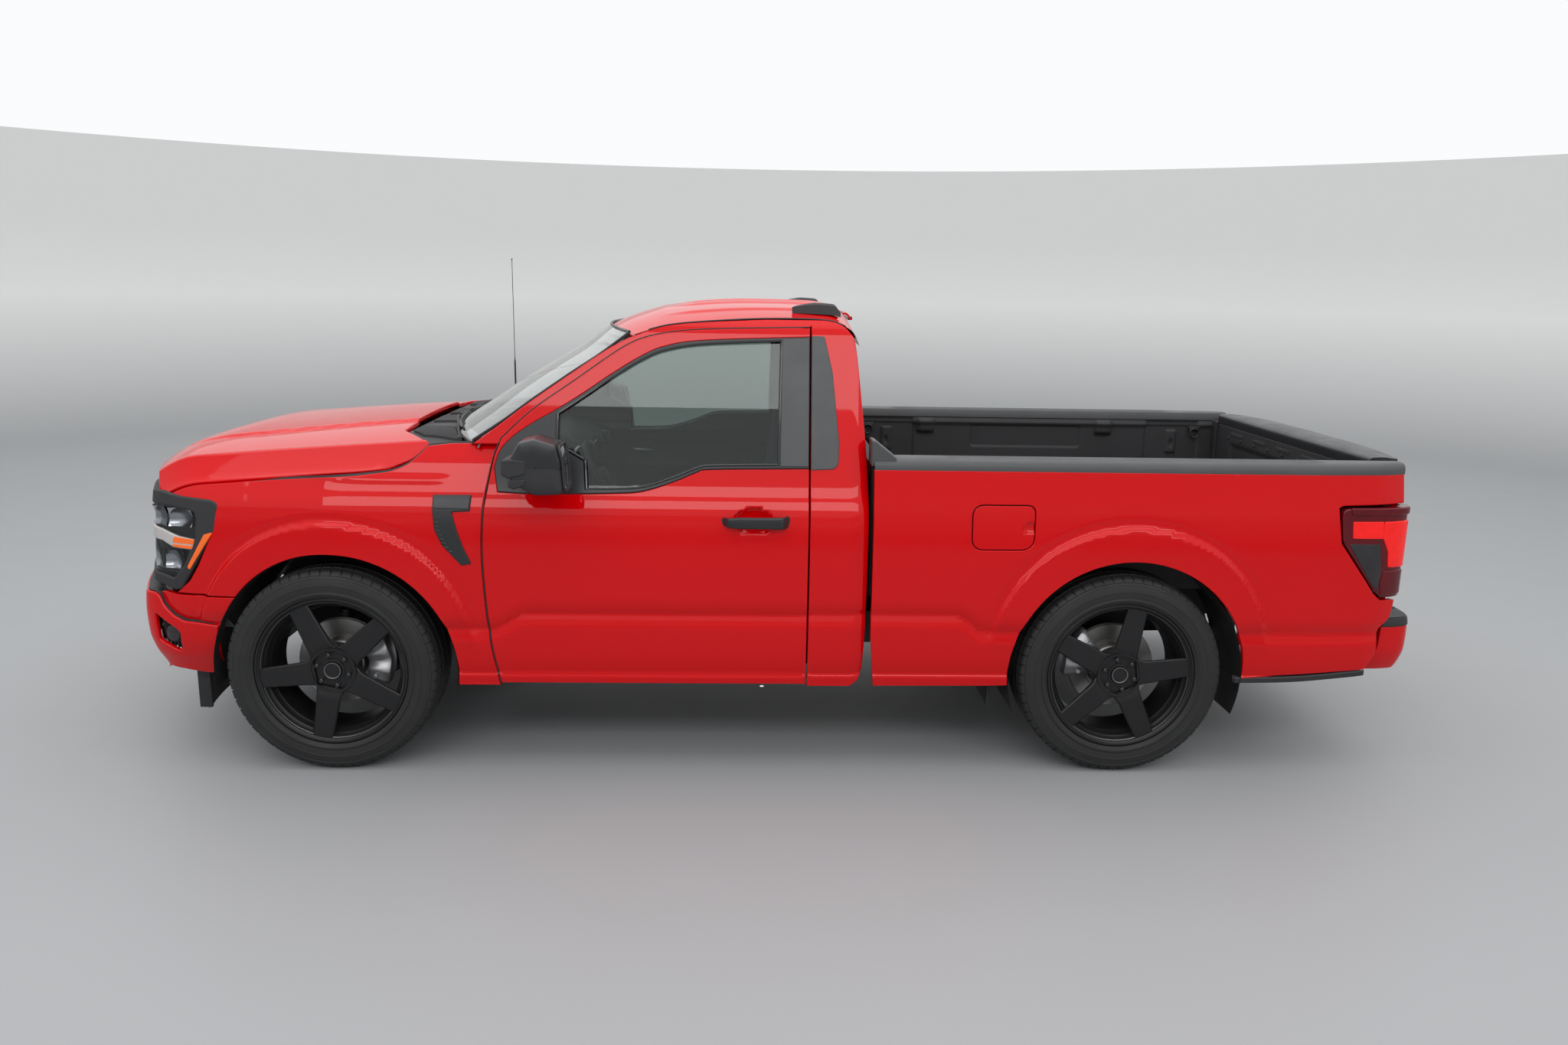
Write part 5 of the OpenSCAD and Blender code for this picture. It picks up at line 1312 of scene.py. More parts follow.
MIDBAR = join([(GRILLE_S, 0.985)], nose_pts([(760, 982), (650, 957), (573, 932), (508, 922), (512, 899),
                                             (523, 880), (600, 886), (650, 908), (760, 928)]),
              [(GRILLE_S, 0.932)])
AMBER_END = join(nose_pts([(592, 930), (508, 921), (512, 902), (600, 906)]))
ORANGE = rounded(nose_pts([(430, 955), (466, 944), (539, 816), (531, 803)]), 0.004)
for side, tag in HANDS:
    s = Shape()
    nose_panel(s, lamp_outer, side, -0.034, step=0.03, roll=0.002, depth=0.030)
    s.piece("headlamp_housing_" + tag, "truck", GLOSS, "lamp", ["headlights"] if side > 0 else [])
    s = Shape()
    nose_panel(s, c_outline(), side, 0.006, step=0.014, roll=0.009, depth=0.042)
    s.piece("headlamp_frame_" + tag, "truck", PLASTIC, "black_plastic")
    s = Shape()
    nose_panel(s, rounded(MIDBAR, 0.004), side, 0.000, step=0.014, roll=0.008, depth=0.026)
    s.piece("headlamp_light_bar_" + tag, "truck", WHITE, "lamp")
    s = Shape()
    nose_panel(s, rounded(AMBER_END, 0.003), side, 0.0015, step=0.014, roll=0.002, depth=0.006)
    low_amber = rounded(nose_pts([(600, 901), (512, 897), (518, 884), (600, 890)]), 0.003)
    nose_panel(s, low_amber, side, 0.0015, step=0.014, roll=0.002, depth=0.006)
    nose_panel(s, ORANGE, side, 0.010, step=0.012, roll=0.003, depth=0.008)
    s.piece("headlamp_amber_" + tag, "truck", AMBER, "lamp")
    # Two cells of stacked reflectors, with dark fins between them
    s, fins = Shape(), Shape()
    for z0, z1, x0, x1 in ((0.968, 1.040, 510, 800), (0.800, 0.872, 555, 800)):
        start, stop = s_at_x(FRONT_X + x0 / 1000), min(s_at_x(FRONT_X + x1 / 1000), GRILLE_S - 0.012)
        cells = 4
        for k in range(cells):
            a = start + (stop - start) * k / cells + 0.006
            b = start + (stop - start) * (k + 1) / cells - 0.006
            uu, vv = lattice(np.linspace(a, b, 12), np.linspace(z0, z1, 10))
            bowl = (0.030 * (1 - ((uu - (a + b) / 2) / ((b - a) / 2)) ** 2 * 0.6
                             - ((vv - (z0 + z1) / 2) / ((z1 - z0) / 2)) ** 2 * 0.4))
            q = nose_skin(side, -0.010)(uu, vv)
            n = unit(np.cross(np.gradient(q, axis=0), np.gradient(q, axis=1))) * -side
            sheet(s, q - n * bowl[..., None] * 0.8, side=-side)
            nose_panel(fins, rect(b, z0 - 0.004, b + 0.012, z1 + 0.004), side, -0.008, step=0.02,
                       roll=0.002, depth=0.024)
    s.piece("headlamp_reflectors_" + tag, "truck", CHROME, "lamp")
    fins.piece("headlamp_fins_" + tag, "truck", GLOSS, "lamp")
    s = Shape()
    nose_panel(s, shrunk(resample(frame_in, 0.01), -0.006), side, -0.006, step=0.02, roll=0.002,
               depth=0.003)
    s.piece("headlamp_lens_" + tag, "truck", LENS, "lamp")

# Grille: three long bars over a dark backing with a mesh of thin rods
s = Shape()
grille_span = float(nose_s[-1])
for side in SIDES:
    for z0, z1, out in ((1.050, 1.100, 0.010), (0.712, 0.762, 0.010), (0.928, 0.985, 0.006)):
        panel(s, rect(GRILLE_S + 0.003, z0, grille_span, z1),
              nose_skin(side, out - 0.006, lean=nose_lean), -side, step=0.03, roll=0.006, depth=0.040)
s.piece("grille_bars", "truck", TRIM, "black_plastic", ["grille"])
s = Shape()
for side in SIDES:
    panel(s, rect(GRILLE_S + 0.003, 0.715, grille_span, 1.095), nose_skin(side, -0.060), -side,
          step=0.06, roll=0.001, depth=0.002)
    for z0, z1 in ((0.766, 0.926), (0.988, 1.048)):
        lines = 4 if z1 - z0 > 0.1 else 1
        for k in range(1, lines + 1):
            z = z0 + (z1 - z0) * k / (lines + 1)
            st = np.linspace(GRILLE_S + 0.004, grille_span, 26)
            tube(s, nose_skin(side, -0.022)(st, np.full(26, z)), 0.0045, 6)
        for k in range(lines + 1):
            za, zb = z0 + (z1 - z0) * k / (lines + 1), z0 + (z1 - z0) * (k + 1) / (lines + 1)
            for st in np.arange(GRILLE_S + 0.03 + (0.03 if k % 2 else 0), grille_span, 0.06):
                ends = nose_skin(side, -0.022)(np.array([st - 0.008, st + 0.008]), np.array([za, zb]))
                tube(s, ends, 0.004, 5)
s.piece("grille_mesh", "truck", GLOSS, "black_plastic")

# Front bumper
bump_lean = curve([(0.34, -0.105), (0.40, -0.070), (0.46, -0.030), (0.53, -0.006), (0.62, 0.0),
                   (0.68, -0.004), (0.72, -0.012)])


def bumper_skin(side, out=0.0):
    return nose_skin(side, out + 0.003, ahead=0.046, lean=lambda z: bump_lean(z) * 0.8)


def bump_pts(points):
    return [(s_at_x(FRONT_X + a / 1000 - 0.046), b / 1000) for a, b in points]


bumper_outline = join(bump_pts([(436, 582), (500, 590), (575, 596), (615, 617), (655, 655), (676, 694),
                                (700, 703), (760, 704), (860, 704)]),
                      [(grille_span, 0.704), (grille_span, 0.385)],
                      bump_pts([(880, 385), (760, 380), (631, 372), (537, 360), (462, 358)]))
bumper_outline = rounded(bumper_outline, [0.012, 0, 0.04, 0.04, 0.04, 0.02, 0.02, 0, 0, 0, 0, 0, 0, 0,
                                          0, 0.012])
FOG = rounded(bump_pts([(700, 618), (683, 607), (612, 562), (597, 545), (602, 476), (617, 463),
                        (676, 492), (700, 506)]), 0.016)
s = Shape()
for side in SIDES:
    panel(s, bumper_outline, bumper_skin(side), -side, step=0.014, roll=0.008, depth=0.016, holes=[FOG])
s.piece("front_bumper_skin", "truck", PAINT, "paint", ["front_bumper"])
s = Shape()
for side in SIDES:
    panel(s, inward(resample(FOG, 0.01), -0.003), bumper_skin(side, -0.034), -side, step=0.02,
          roll=0.004, depth=0.01)
    for st in np.linspace(FOG[:, 0].min() + 0.02, FOG[:, 0].max() - 0.02, 5):
        ends = bumper_skin(side, -0.026)(np.full(2, st), np.array([0.47, 0.60]))
        tube(s, ends, 0.0035, 6)
    # Central lower opening: a dark pad with slats, standing just off the bumper's face
    pad_s0 = s_at_y(0.52)
    panel(s, rounded([(pad_s0, 0.420), (grille_span, 0.420), (grille_span, 0.520),
                      (pad_s0 - 0.03, 0.520)], [0.02, 0, 0, 0.02]), bumper_skin(side, 0.002), -side,
          step=0.02, roll=0.004, depth=0.004)
    for z in (0.445, 0.470, 0.495):
        st = np.linspace(pad_s0 + 0.005, grille_span, 24)
        tube(s, bumper_skin(side, 0.004)(st, np.full(24, z)), 0.0055, 6)
s.piece("bumper_openings", "truck", PLASTIC, "black_plastic")
s = Shape()
for side in SIDES:
    mid_s = float(FOG[:, 0].mean())
    c = bumper_skin(side, -0.020)(np.array([mid_s]), np.array([0.535]))[0]
    q = bumper_skin(side, -0.020)(np.array([mid_s - 0.01, mid_s + 0.01]), np.array([0.535, 0.535]))
    t = unit(q[1] - q[0])
    nrm = unit(np.cross(t, [0, 0, 1.0]) * (-1))
    if nrm[1] * side < 0:
        nrm = -nrm
    ang = np.linspace(0, 2 * math.pi, 33)[:-1]
    strips = []
    for r, d in ((0.001, 0.008), (0.018, 0.006), (0.032, 0.0), (0.036, -0.010)):
        strips.append([c + nrm * d + t * r * math.cos(a) + np.array([0, 0, 1.0]) * r * math.sin(a)
                       for a in ang])
    v = np.array(strips)
    s.add(v.reshape(-1, 3), facing(grid_faces(4, 32, closed_v=True), side > 0))
s.piece("fog_lamps", "truck", SMOKE, "lamp")
# Dark slot between the bumper and the fascia, and the fascia below the grille
s = Shape()
for side in SIDES:
    slot = join(bump_pts([(425, 570), (500, 575), (600, 585), (660, 640), (690, 690), (860, 700)]),
                [(grille_span, 0.70), (grille_span, 0.735)],
                nose_pts([(860, 735), (700, 735), (660, 700), (600, 640), (425, 620)]))
    panel(s, slot, nose_skin(side, -0.020), -side, step=0.03, roll=0.001, depth=0.004)
    # Ledge behind the bumper's top edge
    top = bump_pts([(452, 586), (500, 592), (575, 598), (615, 619), (655, 657), (676, 696), (700, 705),
                    (760, 706), (860, 706)])
    top = resample(join(top, [(grille_span, 0.706)]), 0.01, closed=False)
    strips = [bumper_skin(side, o)(top[:, 0], top[:, 1] + h) for o,
              h in ((-0.007, 0.000), (-0.012, 0.0035), (-0.030, 0.005), (-0.052, 0.006))]
    sheet(s, strips, side=-side, normals=False)
    # Ledge behind the lamp frame's and the grille's top edge, under the hood's lip
    st = np.linspace(s_at_x(FRONT_X + 0.60), grille_span, 60)
    level = np.interp(st, [st[0], s_at_x(FRONT_X + 0.64), grille_span], [1.092, 1.102, 1.103])
    sheet(s, [nose_skin(side, o)(st, level + h) for o,
              h in ((-0.024, -0.004), (-0.030, 0.000), (-0.060, 0.0005), (-0.095, 0.001))], side=-side,
          normals=False)
s.piece("fascia_slot", "truck", PLASTIC, "black_plastic")
s = Shape()
y = np.linspace(-0.785, 0.785, 61)
strips = []
for yy in y:
    bow = 1 - (yy / 0.785) ** 4
    x = FRONT_X + 0.575 + 0.045 * bow
    strips.append([(x + 0.030, yy, 0.400), (x + 0.022, yy, 0.300), (x + 0.012, yy, 0.200),
                   (x + 0.004, yy, 0.180), (x - 0.006, yy, 0.184), (x - 0.002, yy, 0.300),
                   (x + 0.004, yy, 0.400)])
sheet(s, strips, side=-1, normals=False)
for end in SIDES:
    block(s, (FRONT_X + 0.560, end * 0.787 - 0.006, 0.185),
          (FRONT_X + 0.612, end * 0.787 + 0.006, 0.385), 0.004)
s.piece("air_dam_blade", "truck", PLASTIC, "black_plastic", ["air_dam"])

# ---------------------------------------------------------------- rear end

tail_plan = spline(mm([(340, -20), (240, -22), (120, -29), (40, -46), (-6, -70), (-19, -92),
                       (-22, -130)], BED_REAR, HALF_W), 14)
tail_s = lengths(tail_plan)


def tail_skin(side, out=0.0):
    def point(s, z):
        s = np.asarray(s, float)
        x, y, tx, ty = on_plan(tail_plan, tail_s, s, 0.004)
        return np.stack([x + ty * out, side * (y - tx * out), z + 0 * s], -1)
    return point


def tail_pts(points):
    """Side-view points in millimetres ahead of the bed's rear edge, as (s, z)."""
    return [(float(np.interp(-(BED_REAR + a / 1000), -tail_plan[:, 0], tail_s)), b / 1000) for a,
            b in points]


TAIL_END = float(tail_s[-1])


def tail_panel(shape, outline, side, out, **more):
    panel(shape, outline, tail_skin(side, out), side, **more)


lamp_line = tail_pts([(279, 1102), (262, 970), (236, 935), (110, 768), (76, 741)])
tail_outer = rounded(join(lamp_line, [(TAIL_END, 0.739), (TAIL_END, 1.108)]),
                     [0.03, 0.06, 0.06, 0.03, 0.02, 0.002, 0.002])
top_band = rounded(join(tail_pts([(246, 1106), (240, 1078)]),
                        [(TAIL_END - 0.01, 1.074), (TAIL_END - 0.01, 1.107)]), 0.006)
red_top = rounded(join(tail_pts([(232, 1052), (226, 984), (99, 982), (105, 1052)])), 0.006)
red_rear = rounded(join(tail_pts([(103, 1052), (100, 984), (72, 930), (64, 865)]),
                        mm([(-35, 863), (-22, 920), (-22, 1000), (-50, 1052)], TAIL_END)), 0.010)
smoke_cell = rounded(join(tail_pts([(238, 962), (120, 790), (96, 772), (92, 850), (107, 960)])), 0.006)
low_red = rounded(join(tail_pts([(80, 852), (92, 800), (82, 752)]),
                       [(TAIL_END - 0.008, 0.750), (TAIL_END - 0.008, 0.852)]), 0.006)
for side, tag in HANDS:
    s = Shape()
    tail_panel(s, tail_outer, side, 0.000, step=0.016, roll=0.006, depth=0.030)
    tail_panel(s, top_band, side, 0.007, step=0.016, roll=0.007, depth=0.012)
    tail_panel(s, low_red, side, 0.005, step=0.016, roll=0.006, depth=0.010)
    s.piece("taillamp_housing_" + tag, "truck", RED_DARK, "tail_lamp", ["taillights"] if side > 0 else [])
    s = Shape()
    tail_panel(s, red_top, side, 0.005, step=0.014, roll=0.004, depth=0.010)
    tail_panel(s, red_rear, side, 0.006, step=0.012, roll=0.005, depth=0.012)
    s.piece("taillamp_bright_" + tag, "truck", RED_LIT, "tail_lamp")
    s = Shape()
    tail_panel(s, smoke_cell, side, 0.003, step=0.014, roll=0.003, depth=0.008)
    s.piece("taillamp_smoked_" + tag, "truck", SMOKE, "tail_lamp")

# Posts closing the bed sides behind the lamps: painted outside, lined inside
post_low, post_high = 0.700, RAIL_Z - 0.043
post_in, post_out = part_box("tailgate")[1].y + 0.006, 0.915
for name, rear, front, finish, slot in (("bed_end_posts", 0.018, 0.052, PAINT, "paint"),
                                        ("bed_end_linings", 0.053, 0.078, LINER, "bedliner")):
    s = Shape()
    post = rounded([(BED_REAR + rear, post_low), (BED_REAR + front, post_low),
                    (BED_REAR + front, post_high), (BED_REAR + rear, post_high)], 0.004)
    for side in SIDES:
        solid(s, post, side_plane, side * post_in, side * post_out, 0.002)
    s.piece(name, "truck", finish, slot)

# Tailgate: outer skin with a pressed field, inner liner, and the black spoiler along its top
gate_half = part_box("tailgate")[1].y
gate_mid = BED_REAR + 0.036
gate_out = gate_mid - 0.033


def gate_skin(y, z):
    field = 0.010 * (1 - smooth(np.abs(y), 0.60, 0.64)) * (1 - smooth(np.abs(z - 0.99), 0.115, 0.14))
    band = 0.008 * np.exp(-(((z - 1.145) / 0.016) ** 2))
    edge_round = 0.020 * np.clip((np.abs(y) - gate_half + 0.05) / 0.05, 0, 1) ** 2
    low_tuck = 0.016 * np.clip((0.80 - z) / 0.09, 0, 1) ** 1.5
    return np.stack([gate_out - 0.003 + field - band + edge_round + low_tuck, y, z], -1)


def gate_inner(y, z):
    press = pocket(y, z, 0, 0.985, 0.60, 0.16, 0.010)
    return np.stack([gate_mid + 0.034 - press, y, z], -1)


gate_outline = rounded(rect(-gate_half, 0.716, gate_half, RAIL_Z - 0.045), 0.012)
s = Shape()
panel(s, gate_outline, gate_skin, -1, step=0.016, roll=0.005, depth=0.040)
s.piece("tailgate_skin", "tailgate", PAINT, "paint", ["tailgate"])
s = Shape()
inner_outline = rounded(rect(-gate_half + 0.004, 0.742, gate_half - 0.004, RAIL_Z - 0.05), 0.012)
panel(s, inner_outline, gate_inner, 1, step=0.02, roll=0.005, depth=0.03)
for yb in np.linspace(-0.62, 0.62, 9):
    for zb in (0.80, 1.165):
        lathe(s, [(0.001, 0.0055), (0.006, 0.0055), (0.0085, 0.002), (0.0085, -0.006)],
              (gate_mid + 0.034, yb, zb), "x", 1, 16)
# Long slots along the inner panel's upper flange, as in the photograph
for yb in np.linspace(-0.52, 0.52, 5):
    solid(s, rounded(rect(yb - 0.07, 1.178, yb + 0.07, 1.196), 0.008), cross_plane, gate_mid + 0.030,
          gate_mid + 0.037, 0.002)
tube(s, [(gate_mid + 0.004, -gate_half, 0.737), (gate_mid + 0.004, gate_half, 0.737)], 0.030, 20)
s.piece("tailgate_inner", "tailgate", LINER, "paint")
s = Shape()
y = np.linspace(-gate_half, gate_half, 91)
strips = []
for yy in y:
    bulge = 1 - np.abs(yy / gate_half) ** 3.5
    line = [(gate_mid + 0.034, RAIL_Z - 0.048), (gate_mid + 0.035, RAIL_Z - 0.012),
            (gate_mid + 0.028, RAIL_Z - 0.003), (gate_mid + 0.012, RAIL_Z + 0.004 * bulge),
            (gate_mid - 0.03, RAIL_Z + 0.010 * bulge + 0.001),
            (gate_mid - 0.066 - 0.034 * bulge, RAIL_Z + 0.010 * bulge - 0.004),
            (gate_mid - 0.078 - 0.040 * bulge, RAIL_Z - 0.004 + 0.006 * bulge),
            (gate_mid - 0.080 - 0.040 * bulge, RAIL_Z - 0.014),
            (gate_mid - 0.072 - 0.036 * bulge, RAIL_Z - 0.024), (gate_mid - 0.045, RAIL_Z - 0.046),
            (gate_mid - 0.034, RAIL_Z - 0.056)]
    strips.append([(x, yy, z) for x, z in spline(line, 4)])
sheet(s, strips, side=1, normals=False)
for row in (strips[0], strips[-1]):
    s.add(row, [tuple(range(len(row))) if row is strips[0] else tuple(range(len(row)))[::-1]])
s.piece("tailgate_spoiler", "tailgate", TRIM, "black_plastic", angle=45)
s = Shape()
handle = rounded([(-0.115, 1.086), (0.115, 1.086), (0.125, 1.140), (-0.125, 1.140)], 0.012)
solid(s, handle, cross_plane, gate_out - 0.012, gate_out + 0.004, 0.004)
solid(s, rounded(rect(-0.085, 1.098, 0.085, 1.120), 0.008), cross_plane, gate_out - 0.020,
      gate_out - 0.008, 0.004)
lathe(s, [(0.001, 0.004), (0.006, 0.003), (0.007, -0.004)], (gate_out - 0.012, 0.100, 1.128), "x", -1, 20)
s.piece("tailgate_handle", "tailgate", TRIM, "black_plastic")

# Rear bumper: painted corners and face, black step pads, plate recess
REAR_EDGE = HALF_W - 0.090
bump_plan = spline((mm([(245, 4), (140, 2), (55, -20), (22, -75), (10, -200), (3, -450)], TAIL_X,
                       REAR_EDGE) + mm([(1, 240), (1, 0)], TAIL_X)), 12)
bump_s = lengths(bump_plan)
rear_lean = curve([(0.40, -0.045), (0.44, -0.022), (0.51, -0.002), (0.57, 0.0), (0.62, -0.003),
                   (0.64, -0.008)])


def rear_skin(side, out=0.0):
    def point(s, z):
        s = np.asarray(s, float)
        x, y, tx, ty = on_plan(bump_plan, bump_s, s, 0.005)
        o = out + rear_lean(z)
        return np.stack([x + ty * o, side * (y - tx * o), z + 0 * s], -1)
    return point


def s_rear_y(y):
    return float(np.interp(-y, -bump_plan[:, 1], bump_s))


s, pads = Shape(), Shape()
end_s = float(bump_s[-1])
notch = s_rear_y(0.185)
for side in SIDES:
    outline = rounded([(0.022, 0.412), (notch, 0.412), (notch, 0.606), (0.077, 0.606), (0.072, 0.520),
                       (0.042, 0.450)], [0.006, 0.006, 0.006, 0.01, 0.03, 0.03])
    panel(s, outline, rear_skin(side), side, step=0.014, roll=0.006, depth=0.045)
    panel(s, rounded(rect(notch - 0.002, 0.412, end_s, 0.470), 0.001), rear_skin(side, -0.004), side,
          step=0.02, roll=0.003, depth=0.03)
    pad = rounded([(0.078, 0.604), (notch + 0.02, 0.604), (notch + 0.02, 0.640), (0.092, 0.640)], 0.004)
    panel(pads, pad, rear_skin(side, 0.003), side, step=0.016, roll=0.005, depth=0.02)
    st = np.linspace(0.092, end_s, 60)
    outer = rear_skin(side, 0.001)(st, np.full(60, 0.640))
    inner_edge = outer.copy()
    inner_edge[:, 0] = np.maximum(outer[:, 0], TAIL_X + 0.20)
    inner_edge[:, 1] = outer[:, 1] * 0.985
    strips = [outer, outer * 0.96 + inner_edge * 0.04 + [0, 0, 0.003], outer * 0.3 + inner_edge * 0.7
              + [0, 0, 0.002], inner_edge]
    sheet(pads, np.stack(strips, 0), side=-side, normals=False)
    block(pads, (BED_REAR + 0.010, side * 0.835 - 0.05, 0.430),
          (BED_REAR + 0.100, side * 0.835 + 0.05, 0.615), 0.006)
    # Raised grip ribs on the step
    for k in range(7):
        tube(pads, [(TAIL_X + 0.035, side * (0.30 + 0.08 * k), 0.6435),
                    (TAIL_X + 0.105, side * (0.30 + 0.08 * k), 0.6435)], 0.004, 6)
s.piece("rear_bumper_skin", "truck", PAINT, "paint", ["rear_bumper"])
plate_s = rect(-0.185, 0.478, 0.185, 0.640)
solid(pads, rounded(plate_s, 0.01), cross_plane, TAIL_X + 0.018, TAIL_X + 0.040, 0.003)
for side in SIDES:
    lathe(pads, [(0.001, 0.004), (0.006, 0.003), (0.0075, -0.003)],
          (TAIL_X + 0.018, side * 0.089, 0.570), "x", -1, 20)
solid(pads, rounded(rect(-0.05, 0.626, 0.05, 0.642), 0.004), cross_plane, TAIL_X + 0.006, TAIL_X + 0.03,
      0.003)
pads.piece("rear_bumper_pads", "truck", PLASTIC, "black_plastic")

# ---------------------------------------------------------------- wheels

HALF_TYRE = TYRE_W / 2
DISC_R = 0.175
SPOKES, LUGS, LUG_CIRCLE, HUB_TURN = 5, 6, 0.0635, 6
SHOULDER_CUT, RIB_CUT = 0.0050, 0.0030
FACE_Y = HALF_TYRE - 0.018
RIM_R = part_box("wheel_front_left")[1].z - AXLE_Z
CORNERS = [(FRONT_X, 1, 97, "front_left"), (FRONT_X, -1, 97, "front_right"),
           (REAR_X, 1, -83, "rear_left"), (REAR_X, -1, -83, "rear_right")]


def wheel_point(cx, side, turn, x, out, z):
    """Wheel's own frame, out from its middle plane, into the truck's."""
    a = math.radians(turn)
    return np.stack([cx + np.cos(a) * x + np.sin(a) * z, side * (TYRE_Y + out), AXLE_Z - np.sin(a) * x
                     + np.cos(a) * z], -1)


def add_turned(shape, v, faces, side):
    """Adds wheel geometry with its faces outward on both sides of the truck."""
    shape.add(v.reshape(-1, 3), facing(faces, side > 0))


def tyre_shape(cx, side):
    s = Shape()
    half = ((mm([(-11, -34), (1, -20), (2.5, -8.5), (12, -3), (16, 1), (22, 1.2), (26, -3), (40, -1),
                 (50, -0.6), (51.5, 0.6), (54, 0.6), (55.5, -1.2)], RIM_R, HALF_TYRE)
             + mm([(-42, -3.5), (-34, -6), (-32, -5), (-24, -8.5), (-22, -12.5), (-15, -15.5),
                   (-9, -20), (-4.5, -28), (-1.8, -42)], TYRE_R, HALF_TYRE)))
    tread = []
    for centre, wide in ((0.0885, 0.0050), (0.034, 0.0055)):
        tread += [(TYRE_R - 0.0004, centre + wide), (TYRE_R - 0.0075, centre + wide - 0.0018),
                  (TYRE_R - 0.0075, centre - wide + 0.0018), (TYRE_R - 0.0002, centre - wide)]
    line = half + tread
    line = line + [(r, -y) for r, y in line[::-1]]
    r, y = np.array(line).T
    pitches = 62
    step = 2 * math.pi / pitches
    angles = (np.arange(pitches)[:, None] * step + np.array([0, 0.40, 0.44, 0.54, 0.58, 0.79])
              * step).ravel()
    deep = np.tile([0, 0, 1, 1, 0, 0], pitches)
    slant = 0.6 * step
    rows = []
    shoulder = (np.abs(y) > 0.098) & (r > TYRE_R - 0.0235)
    middle_rib = (np.abs(y) > 0.040) & (np.abs(y) < 0.084) & (r > TYRE_R - 0.003)
    for a, d in zip(angles, deep):
        cut = np.where(shoulder, SHOULDER_CUT, np.where(middle_rib, RIB_CUT, 0)) * d
        bend = a + slant * (np.abs(y) / HALF_TYRE) * (r > TYRE_R - 0.03)
        q = r - cut
        rows.append(np.stack([cx + q * np.cos(bend), side * (TYRE_Y + y), AXLE_Z + q * np.sin(bend)], -1))
    rows = np.stack(rows)
    add_turned(s, rows, grid_faces(len(angles), len(r), closed_u=True), -side)
    return s


def rim_shape(cx, side, turn):
    s = Shape()
    lip = HALF_TYRE - 0.008
    line = [(RIM_R - 0.014, -0.10), (RIM_R - 0.001, -lip + 0.010), (RIM_R, -lip + 0.002),
            (RIM_R - 0.004, -lip), (RIM_R - 0.020, -lip + 0.010), (RIM_R - 0.036, -0.085),
            (RIM_R - 0.052, -0.060), (RIM_R - 0.052, 0.050), (RIM_R - 0.046, 0.075),
            (RIM_R - 0.038, 0.084), (RIM_R - 0.034, 0.100), (RIM_R - 0.026, 0.108),
            (RIM_R - 0.0235, 0.116), (RIM_R - 0.020, 0.1175), (RIM_R - 0.0175, 0.126),
            (RIM_R - 0.013, 0.129), (RIM_R - 0.011, lip - 0.002), (RIM_R - 0.009, lip + 0.0005),
            (RIM_R - 0.003, lip), (RIM_R + 0.0005, lip - 0.003), (RIM_R - 0.001, lip - 0.009),
            (RIM_R - 0.014, 0.100), (RIM_R - 0.026, 0.07), (RIM_R - 0.026, -0.07),
            (RIM_R - 0.014, -0.10)]
    r, y = np.array(line).T
    t = np.linspace(0, 2 * math.pi, 145)[:-1]
    rows = np.stack([wheel_point(cx, side, 0, r * math.cos(a), y, r * math.sin(a)) for a in t])
    add_turned(s, rows, grid_faces(len(t), len(r), closed_u=True), side)
    for i in range(SPOKES):
        rows = []
        for q in np.linspace(0, 1, 14):
            rad = 0.070 + q * (RIM_R - 0.0165 - 0.070)
            half = 0.0495 - 0.0085 * q + 0.010 * max(0, 0.16 - q) / 0.16
            top = FACE_Y + 0.001 - 0.012 * (1 - smooth(q, 0.0, 0.20)) - 0.0035 * q
            deep = 0.046 - 0.020 * q
            rows.append([(-half + 0.010, top - deep), (-half, top - 0.0085),
                         (-half + 0.0015, top - 0.004), (-half + 0.0060, top), (0, top + 0.0012),
                         (half - 0.0060, top), (half - 0.0015, top - 0.004), (half, top - 0.0085),
                         (half - 0.010, top - deep)])
            rows[-1] = [(tt, yy, rad) for tt, yy in rows[-1]]
        g = np.array(rows)
        v = wheel_point(cx, side, turn + 360 / SPOKES * i, g[..., 0], g[..., 1], g[..., 2])
        faces = [f[::-1] for f in grid_faces(14, 9, closed_v=True)] + [tuple(13 * 9 + j for j in range(9))]
        add_turned(s, v, faces, side)
    # Hub: six-lobed recess with a raised plain cap in its middle
    rings = [(0.094, FACE_Y - 0.040, 0), (0.0935, FACE_Y - 0.010, 0), (0.0915, FACE_Y - 0.0035, 0),
             (0.087, FACE_Y - 0.0030, 0.15), (0.0835, FACE_Y - 0.0045, 0.6),
             (0.0815, FACE_Y - 0.016, 1), (0.080, FACE_Y - 0.020, 1), (0.046, FACE_Y - 0.019, 0.2),
             (0.0445, FACE_Y - 0.015, 0), (0.0365, FACE_Y - 0.0135, 0), (0.0350, FACE_Y - 0.0155, 0),
             (0.0345, FACE_Y - 0.006, 0), (0.0325, FACE_Y - 0.0035, 0), (0.0285, FACE_Y - 0.0042, 0),
             (0.0270, FACE_Y - 0.0062, 0), (0.012, FACE_Y - 0.0055, 0), (0.0005, FACE_Y - 0.0052, 0)]
    t = np.linspace(0, 2 * math.pi, 73)[:-1]
    v = []
    for a in t:
        for q, yy, h in rings:
            lobed = q - 0.0055 * h * (1 - math.cos(LUGS * a)) / 2
            v.append(wheel_point(cx, side, turn + HUB_TURN, lobed * math.cos(a), yy, lobed * math.sin(a)))
    v = np.array(v)
    add_turned(s, v, grid_faces(72, len(rings), closed_u=True), side)
    return s


